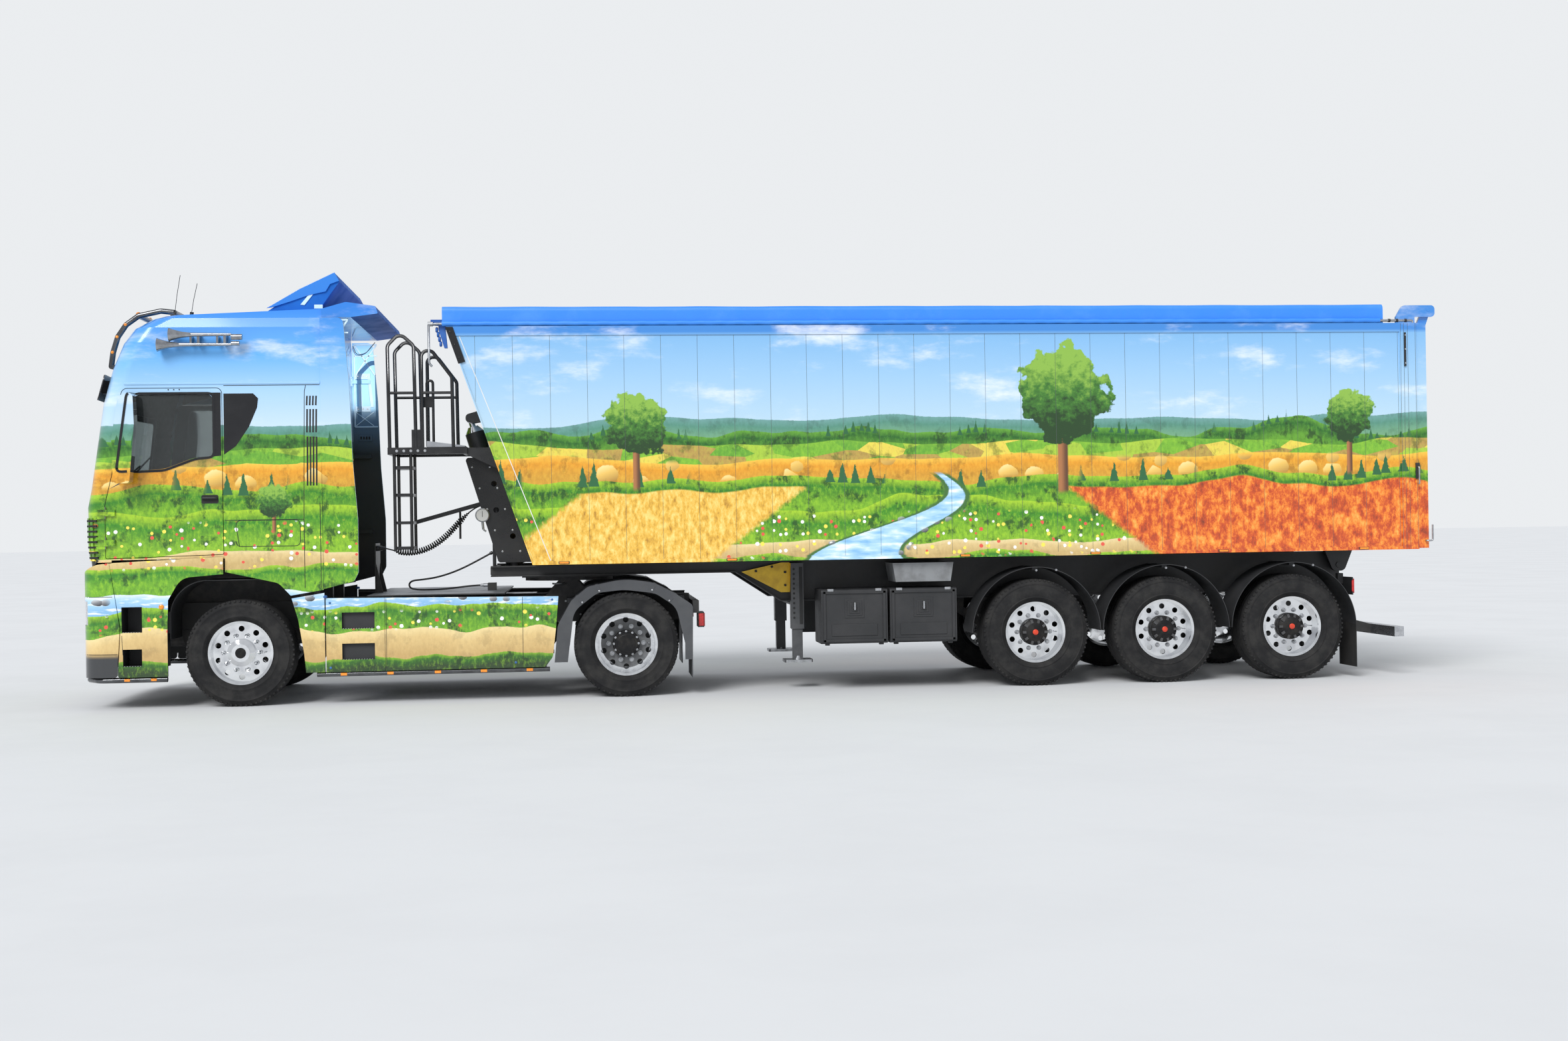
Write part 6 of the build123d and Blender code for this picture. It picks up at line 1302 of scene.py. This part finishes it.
dress("toolboxes", black_plastic, (box_grey, lambda at, normal: at.z > 1.02))
dress("trailer_fenders", black_plastic, (flap_rubber, lambda at, normal: at.x > 10.84 and at.z < 0.55))

leg_x, leg_low = 5.298, 0.263
box_face, box_low, box_high, latch_z = 1.225, 0.457, 0.985, 0.80
for side, side_name in both_sides:
    # The slot and the row of holes in each leg's plate are a dark strip and dark discs: painted shade for the openings.
    leg = Form(side).block((leg_x + 0.020, leg_x + 0.050), (0.835, 0.842), (0.64, 1.20))
    for z in (0.70 + level * 0.048 for level in range(11)):
        leg.turned([(0.0115, -0.001), (0.0115, 0.0012), (0.002, 0.0014)], (leg_x - 0.034, 0.8362, z), sides=14)
    for x, z in ((4.90, 1.165), (5.06, 1.205), (5.19, 1.02), (5.19, 1.15)):
        leg.turned([(0.013, -0.001), (0.013, 0.010), (0.004, 0.011)], (x, 0.722, z), sides=6)
    finished(f"leg_holes_{side_name}", leg, [seam_black], "trailer")
    foot = Form(side).turned([(0.052, 0.026), (0.048, 0.060), (0.020, 0.072)], (leg_x, 0.774, leg_low), (0, 0, 1), 20)
    finished(f"leg_foot_{side_name}", foot, [zinc_steel], "trailer")

    for number, (x0, x1) in enumerate(((5.483, 6.132), (6.157, 6.816)), 1):
        lid, middle = Form(side), (x0 + x1) / 2
        rim = (x0 + 0.018, x0 + 0.046, x1 - 0.046, x1 - 0.018, box_low + 0.018, box_low + 0.044, box_high - 0.044,
               box_high - 0.018)
        raised = [(*rim[i:j:j - i - 1], *rim[k:m:m - k - 1], 0.012) for i, j, k, m in (
            (0, 4, 4, 6), (0, 4, 6, 8), (0, 2, 4, 8), (2, 4, 4, 8))]
        raised.append((x0 + 0.10, x1 - 0.10, box_low + 0.075, box_low + 0.190, 0.007))
        for rise in range(4):
            reach = 0.095 - rise * 0.022
            raised.append((middle - reach, middle + reach, latch_z - reach, latch_z + reach, 0.005 + rise * 0.005))
        for left, right, low, high, proud in raised:
            lid.block((left, right), (box_face - 0.004, box_face + proud), (low, high))
        lid.turned([(0.019, 0.018), (0.019, 0.030), (0.012, 0.034), (0.003, 0.035)], (middle, box_face, latch_z),
                   sides=20)
        for x in (x0 + 0.06, x1 - 0.06):
            lid.block((x - 0.022, x + 0.022), (1.165, 1.205), (box_low - 0.016, box_low + 0.002))
        lid.wear(1).block((middle - 0.008, middle + 0.008), (box_face + 0.030, box_face + 0.040), (0.782, 0.858))
        for x in (x0 + 0.09, x1 - 0.09):
            lid.block((x - 0.030, x + 0.030), (box_face + 0.003, box_face + 0.016),
                      (box_high - 0.020, box_high + 0.006))
        finished(f"toolbox_lid_{side_name}_{number}", lid, [black_plastic, zinc_steel], "trailer",
                 bevel=0.004)

    lamp = Form(side).block((10.853, 10.866), (0.86, 1.20), (0.828, 1.006))
    lamp.block((10.80, 10.858), (0.92, 0.98), (0.93, 1.04))
    for skin, low_y, high_y in ((1, 0.875, 0.975), (2, 0.98, 1.075), (1, 1.08, 1.185)):
        lamp.wear(skin).block((10.866, 10.884), (low_y, high_y), (0.845, 0.990))
    lamp.block((10.846, 10.868), (1.200, 1.212), (0.86, 0.975))
    finished(f"rear_lamps_{side_name}", lamp, [black_plastic, lamp_red, lamp_orange], "trailer",
             bevel=0.005)
    markers = Form(side)
    for x in (3.02, 4.62, 6.90, 8.20, 9.50, 10.95):
        markers.wear(0).block((x - 0.052, x + 0.052), (1.262, 1.279), (1.282, 1.306))
        markers.wear(1).block((x - 0.045, x + 0.045), (1.276, 1.287), (1.285, 1.303))
    finished(f"side_markers_{side_name}", markers, [black_plastic, lamp_orange], "bed", bevel=0.003)
    for number, x in enumerate((7.610, 8.920, 10.230), 1):
        rounds.plain(f"guard_screws_{side_name}_{number}", zinc_steel, "trailer", "bright_metal",
                     (x, side * 1.2405, 1.135), (0, side, 0), Count=2, Step=(side * -0.20, 0, 0), Radius=0.014,
                     Height=0.008)

tanks = Form()
for side, _ in both_sides:
    y = side * 0.42
    tanks.wear(0).turned([(0.04, 0.0), (0.105, 0.022), (0.122, 0.06), (0.122, 0.72), (0.105, 0.758), (0.04, 0.78)],
                         (5.78, y, 0.93), (1, 0, 0), 32).wear(1)
    for x in (5.95, 6.38):
        tanks.turned([(0.1235, 0.0), (0.1265, 0.0), (0.1265, 0.03), (0.1235, 0.03)], (x, y, 0.93), (1, 0, 0), 32)
        tanks.block((x, x + 0.03), (y - 0.012, y + 0.012), (1.045, 1.250))
        tanks.block((x, x + 0.03), (y - 0.012, side * 0.648), (1.12, 1.15))
finished("air_tanks", tanks, [tank_grey, zinc_steel], "trailer", bevel=0.002)


# Tipping body. Smooth aluminium planks, painted outside and bare inside, with a
# seam at each plank's edge, corner posts, strap brackets and the gate's fittings.
body_alloy = mottled("body_alloy", (0.52, 0.53, 0.54), (0.36, 0.36, 0.36), 1.6, roughness=0.42, metallic=1.0, grain=0.2)
body_skin, body_y, floor_z = Skin("bed_body"), 1.265, 1.2765
front_foot_x, front_head_x, wall_foot_z, wall_head_z = 2.723, 1.948, 1.276, 3.545
wall_lean = (front_foot_x - front_head_x) / (wall_head_z - wall_foot_z)


def wall_front(z):
    return front_foot_x - (z - wall_foot_z) * wall_lean


def painted_outside(at, normal):
    side_face = abs(at.y) > 1.20 and abs(normal.y) > 0.3
    front_face = normal.x < -0.3 and at.x < front_foot_x + 0.02
    above = at.z > 3.54 or at.x > 11.2
    outside = normal.z < 0.9 and at.z > floor_z and (side_face or front_face or above) and body_skin.shows(at, normal)
    return outside or at.z > 3.55


dress("bed_body", body_alloy, (bed_paint, painted_outside), (chassis_grey, lambda at, normal: (
    at.z < floor_z or (abs(at.y) < 0.09 and at.x < wall_front(at.z) - 0.006))))
dress("tailgate", bed_paint, (body_alloy, lambda at, normal: normal.x < -0.5))
plank_pitch, first_plank, plank_rear, plank_foot = 0.351, 2.212, 11.35, 1.313
for side, side_name in both_sides:
    planks = Form(side)
    for x in (first_plank + number * plank_pitch for number in range(27)):
        low = plank_foot if x > front_foot_x else max(plank_foot, wall_foot_z + (front_foot_x - x) / wall_lean + 0.06)
        if x < plank_rear:
            planks.block((x - 0.0013, x + 0.0013), (body_y - 0.002, body_y + 0.0007), (low, 3.455))
    for x in (11.366, 11.400, 11.440, 11.520):
        planks.block((x - 0.0015, x + 0.0015), (1.273, 1.2757), (1.285, 3.540))
    front_line = [(wall_front(z) + dx, z) for dx, z in ((0.085, 3.45), (0.093, 3.45), (0.188, 1.315), (0.180, 1.315))]
    finished(f"corner_line_{side_name}", Form(side).prism("Y", body_y - 0.002, body_y + 0.002, front_line),
             [plate_white], "bed")
    seam_shade = mottled(f"seam_shade_{side_name}", (0.10, 0.12, 0.12), (0.06, 0.07, 0.07), roughness=0.6)
    finished(f"plank_seams_{side_name}", planks, [seam_shade], "bed")
    fittings = Form(side).block((11.401, 11.417), (1.274, 1.292), (3.109, 3.448))
    fittings.block((11.500, 11.540), (1.273, 1.290), (1.98, 2.14)).wear(1)
    for z in (3.14, 3.28, 3.42):
        fittings.turned([(0.009, -0.001), (0.009, 0.006), (0.003, 0.008)], (11.409, 1.292, z), sides=12)
    fittings.tube(bent([(11.520, 1.288, 2.10), (11.520, 1.318, 2.10), (11.520, 1.318, 1.93), (11.520, 1.290, 1.93)],
                       0.02), 0.008)
    finished(f"body_fittings_{side_name}", fittings, [black_plastic, zinc_steel], "bed", bevel=0.002)
    strap = Form(side).prism("Y", 1.2755, 1.2815, [(wall_front(z) + dx, z) for dx, z in (
        (-0.012, 3.540), (-0.012, 3.19), (0.060, 3.21), (0.060, 3.540))])
    for z in (3.25, 3.37, 3.49):
        strap.turned([(0.009, 0.004), (0.009, 0.010), (0.003, 0.012)], (wall_front(z) + 0.020, 1.2755, z), sides=12)
    finished(f"front_corner_{side_name}", strap, [gloss_black], "bed", bevel=0.002)

gate = Form()
for y in (-1.10, -0.40, 0.40, 1.10):
    gate.block((11.630, 11.652), (y - 0.035, y + 0.035), (1.305, 1.46))
    gate.tube([(11.650, y - 0.045, 1.345), (11.650, y + 0.045, 1.345)], 0.022, 16)
gate.tube(bent([(11.60, -1.266, 1.36), (11.60, -1.300, 1.36), (11.66, -1.300, 1.36), (11.66, -1.300, 1.52)], 0.02),
          0.009)
finished("gate_latches", gate, [zinc_steel], "tailgate", bevel=0.003)


# Roll cover. Coated blue cloth over bows, its left edge wound on a long tube that
# a crank at the rear turns, and its front edge laced to a cap.
cover_blue = Finish("cover_blue", roughness=0.42)
threads = cover_blue.math("SINE", cover_blue.x * 1400.0) * cover_blue.math("SINE", cover_blue.y * 1400.0)
dust = cover_blue.rise(cover_blue.noise(2.4, detail=6.0, rough=0.65), 0.46, 0.72)
cover_blue.set(Base_Color=cover_blue.mix(dust * 0.35, (0.035, 0.25, 0.84), (0.10, 0.34, 0.80)))
cover_blue.bump(threads + cover_blue.noise(40.0), 0.25, 0.0012)
cover_blue = cover_blue.material
crank_blue = mottled("crank_blue", (0.02, 0.10, 0.40), (0.03, 0.14, 0.46), 5.0, roughness=0.4)
cover_front, cover_rear, cover_half, cover_foot, cover_top = 1.908, 11.202, 1.237, 3.549, 3.752
bow_pitch, cover_steps, cloth_thick = (cover_rear - cover_front) / 11, 190, 0.004
roller_y, roller_z, crank_y = -1.2495, 3.571, -1.238
hem_y, hem_z, hem_radius, hem_pitch, hem_places = -1.2540, 3.5715, 0.0235, 0.05, 186


def cover_ring(x, inset):
    """The cloth's section at x, from edge to edge: it sags between bows and puckers at its sides."""
    slack = 0.5 - 0.5 * math.cos(2 * math.pi * (x - cover_front) / bow_pitch)
    half = [(cover_half, cover_foot), (cover_half, cover_top - 0.014), (0.62, cover_top - 0.003)]
    flat = bent([*((-y, z) for y, z in half), (0.0, cover_top), *reversed(half)], 0.05, 6)
    points = []
    for y, z in flat:
        on_edge = abs(y) >= cover_half - 0.003
        out = Vector((math.copysign(1, y), 0)) if on_edge else Vector((y * 0.5, z - 3.45)).normalized()
        top = 1 - min(1.0, (abs(y) / cover_half) ** 4)
        pucker = 0.0022 * noise.noise(Vector((x * 5.5, y * 2.0, z * 6.0)))
        pucker += 0.0035 * noise.noise(Vector((x * 1.7, y * 3.0, 4.0)))
        moved = pucker - 0.011 * slack * top - 0.0045 * slack * (1 - top) - inset
        points.append((x, y + out.x * moved, z + out.y * moved if z > cover_foot + 0.001 else z))
    return points


cover, hem, roller, crank = Form(), Form(), Form(), Form()
cover.loft([cover_ring(x, 0.0) + cover_ring(x, cloth_thick)[::-1] for x in (
    cover_front + (cover_rear - cover_front) * number / cover_steps for number in range(cover_steps + 1))])
cloth = finished("roll_cover", cover, [cover_blue], "bed", sharp=50, replaced=["tarp_cover"])
hem.tube([(cover_front + hem_pitch * number, hem_y - 0.0015 * math.sin(number * 0.9),
           hem_z + 0.0018 * math.sin(number * 1.7)) for number in range(hem_places)], hem_radius, 14)
finished("cover_hem", hem, [cover_blue], "bed")
roller.tube([(1.84, roller_y, roller_z), (11.49, roller_y, roller_z)], 0.0125, 16)
roller.tube(bent([(11.490, roller_y, roller_z), (11.505, roller_y, roller_z), (11.505, roller_y, 3.46)], 0.012), 0.010)
roller.wear(1)
for x in (11.25, 11.33, 11.42):
    roller.tube([(x, roller_y, roller_z), (x + 0.022, roller_y, roller_z)], 0.017, 16)
for x in (1.925, 11.185):
    roller.tube([(x, -1.236, 3.575), (x, 1.236, 3.575)], 0.016, 14)
finished("cover_tube", roller, [zinc_steel, black_plastic], "bed")
crank.prism("Y", -1.225, -1.215, [(1.985, 3.545), (1.800, 3.560), (1.800, 3.615), (1.985, 3.615)])
crank.prism("Y", -1.215, -1.175, [(1.955, 3.345), (1.925, 3.345), (1.872, 3.520), (1.872, 3.56), (1.935, 3.56)])
for level in range(4):
    crank.turned([(0.020, 0), (0.026, 0.006), (0.026, 0.018), (0.020, 0.024)],
                 (1.868 + level * 0.012, -1.20, 3.52 - level * 0.045), (-1, 0, 0), 16)
crank.wear(1).tube(bent([(1.90, crank_y, roller_z), (1.782, crank_y, roller_z), (1.782, crank_y, 3.20),
                         (1.81, crank_y, 3.17)], 0.02), 0.011)
crank.tube([(1.825, crank_y, roller_z), (1.775, crank_y, roller_z)], 0.022, 16)
finished("cover_crank", crank, [crank_blue, zinc_steel], "bed", bevel=0.002)


# Access platform and ram. Black tube hoops over a step plate, beside the folded
# housing of the telescopic ram, whose stages are hard chromed.
gloss_frame = mottled("platform_black", (0.012, 0.012, 0.013), (0.022, 0.022, 0.023), 6.0, roughness=0.28, grain=0.08)
housing_y, gauge_place = 0.450, (2.215, -0.452, 1.763)
for node in ("access_platform", "ram_barrel"):
    dress(node, gloss_frame)
for stage in range(1, 6):
    dress(f"ram_stage_{stage}", chrome)
chequer.plain("platform_lozenges", alloy_plate, "bed", "black_steel", (1.746, -0.80, 2.411), Wide=0.70, Deep=0.66)
step = Form().prism("Y", -1.135, -0.470, [(1.740, 2.412), (2.100, 2.412), (2.100, 2.424), (1.752, 2.470),
                                          (1.740, 2.470)])
finished("platform_step", step, [alloy_plate], "bed", bevel=0.002)
post = Form().tube(bent([(1.742, -1.06, 2.42), (1.742, -1.06, 3.05), (1.800, -1.06, 3.05), (1.800, -1.06, 2.42)],
                        0.03), 0.013)
post.block((1.690, 1.800), (-1.075, -1.045), (2.795, 2.895))
post.block((1.60, 1.690), (-1.14, -1.05), (2.412, 2.58))
finished("platform_gate_post", post, [gloss_frame], "bed", bevel=0.003)
bolts = Form()
for x_share in (0.22, 0.80):
    for z in (1.40 + number * 0.21 for number in range(5)):
        for side, _ in both_sides:
            bolts.turned([(0.011, -0.001), (0.011, 0.006), (0.004, 0.008)],
                         (wall_front(z) - 0.34 + x_share * 0.30, side * housing_y, z), (0, side, 0), 6)
for number in range(5):
    bolts.turned([(0.013, -0.001), (0.013, 0.003), (0.004, 0.004)], (1.46 + number * 0.066, -1.151, 2.378),
                 (0, -1, 0), 14)
finished("housing_bolts", bolts, [zinc_steel], "bed")
gauge = Form().turned([(0.066, 0.0), (0.070, 0.006), (0.070, 0.038), (0.062, 0.042), (0.060, 0.036), (0.003, 0.036)],
                      gauge_place, (0, -1, 0), 36)
gauge.tube([(2.215, -0.470, 1.70), (2.222, -0.470, 1.62)], 0.012)
gauge.tube([(2.222, -0.470, 1.62), (2.250, -0.470, 1.60)], 0.008)
gauge.wear(1).turned([(0.058, 0.0365), (0.003, 0.0368)], gauge_place, (0, -1, 0), 36)
gauge.wear(2).block((2.213, 2.217), (-0.4915, -0.4895), (1.745, 1.803))
finished("pressure_gauge", gauge, [zinc_steel, plate_white, seam_black], "bed")


# Air and oil lines. A coiled air line hangs from an arm on the trailer's front
# beam, and an oil hose lies on the walkway before it turns up to the same post.
# Both are rubber and end in screwed fittings.
hose_rubber = mottled("hose_rubber", (0.014, 0.014, 0.015), (0.030, 0.029, 0.028), 60.0, roughness=0.45, grain=0.3)
coil_points = [
    (1.235, -0.300, 1.450), (1.290, -0.300, 1.440), (1.370, -0.302, 1.414), (1.480, -0.305, 1.398),
    (1.600, -0.306, 1.416), (1.710, -0.308, 1.462), (1.810, -0.312, 1.530), (1.900, -0.318, 1.612),
    (1.990, -0.312, 1.712), (2.080, -0.308, 1.800), (2.180, -0.302, 1.862), (2.302, -0.300, 1.890)]
oil_points = [
    (2.169, -0.220, 1.062), (2.090, -0.220, 1.060), (1.960, -0.222, 1.046), (1.800, -0.226, 1.029),
    (1.640, -0.230, 1.027), (1.545, -0.232, 1.030), (1.480, -0.234, 1.046), (1.466, -0.236, 1.088),
    (1.500, -0.240, 1.122), (1.600, -0.252, 1.130), (1.750, -0.268, 1.150), (1.930, -0.282, 1.205),
    (2.110, -0.292, 1.288), (2.302, -0.300, 1.392)]
coil_radius, coil_pitch, turn_steps = 0.026, 0.024, 14
plain_start, opens_over, closes_over, plain_end = 0.10, 0.06, 0.12, 0.24


def route(points):
    """Places close together along the smooth line that a hose's points give."""
    curve = bpy.data.curves.new("route", "CURVE")
    curve.dimensions, curve.resolution_u = "3D", 40
    spline = curve.splines.new("NURBS")
    spline.points.add(len(points) - 1)
    for knot, point in zip(spline.points, points):
        knot.co = (*point, 1)
    spline.order_u, spline.use_endpoint_u = 3, True
    line = bpy.data.objects.new("route", curve)
    places = [vertex.co.copy() for vertex in bpy.data.meshes.new_from_object(line).vertices]
    bpy.data.objects.remove(line)
    return [a for a, b in zip(places, places[1:]) if (b - a).length > 1e-5] + places[-1:]


def length(places):
    return sum((b - a).length for a, b in zip(places, places[1:]))


def coiled(places):
    """A helix about a line, which opens out past its plain start and closes before its plain end."""
    turns, gone, whole = [], 0.0, length(places)
    for a, b in zip(places, places[1:]):
        way = (b - a).normalized()
        across = way.cross(Vector((0, 1, 0))).normalized()
        steps = max(1, round((b - a).length / coil_pitch * turn_steps))
        for k in range(steps):
            at = gone + (b - a).length * k / steps
            open_share = min(1.0, (at - plain_start) / opens_over, (whole - plain_end - at) / closes_over)
            turn, wide = 2 * math.pi * at / coil_pitch, coil_radius * max(0.0, open_share)
            turns.append(a.lerp(b, k / steps) + (across * math.cos(turn) + way.cross(across) * math.sin(turn)) * wide)
        gone += (b - a).length
    return turns + [places[-1]]


for name, places, radius, stiffness, sides in (("air_coil", coiled(route(coil_points)), 0.0065, "limp", 8),
                                               ("oil_hose", route(oil_points), 0.009, "medium", 14)):
    there = [(x + front_axle_x, y, z) for x, y, z in places]
    hose = finished(name, Form().tube(places, radius, sides), [hose_rubber],
                    ("tractor", "trailer", there[0], there[-1]), sharp=60)
    length(places)
    radius * 2
arm = Form().block((2.302, 2.336), (-0.320, -0.280), (1.235, 1.925))
arm.prism("Y", -0.315, -0.285, [(1.545, 1.680), (2.310, 1.886), (2.310, 1.930), (1.545, 1.722)])
arm.tube([(1.985, -0.270, 1.800), (1.983, -0.270, 1.530)], 0.011)
arm.turned([(0.016, 0.0), (0.016, 0.030), (0.010, 0.032)], (2.302, -0.300, 1.392), (-1, 0, -0.5), 14)
finished("hose_arm", arm, [gloss_frame], "trailer", bevel=0.003)
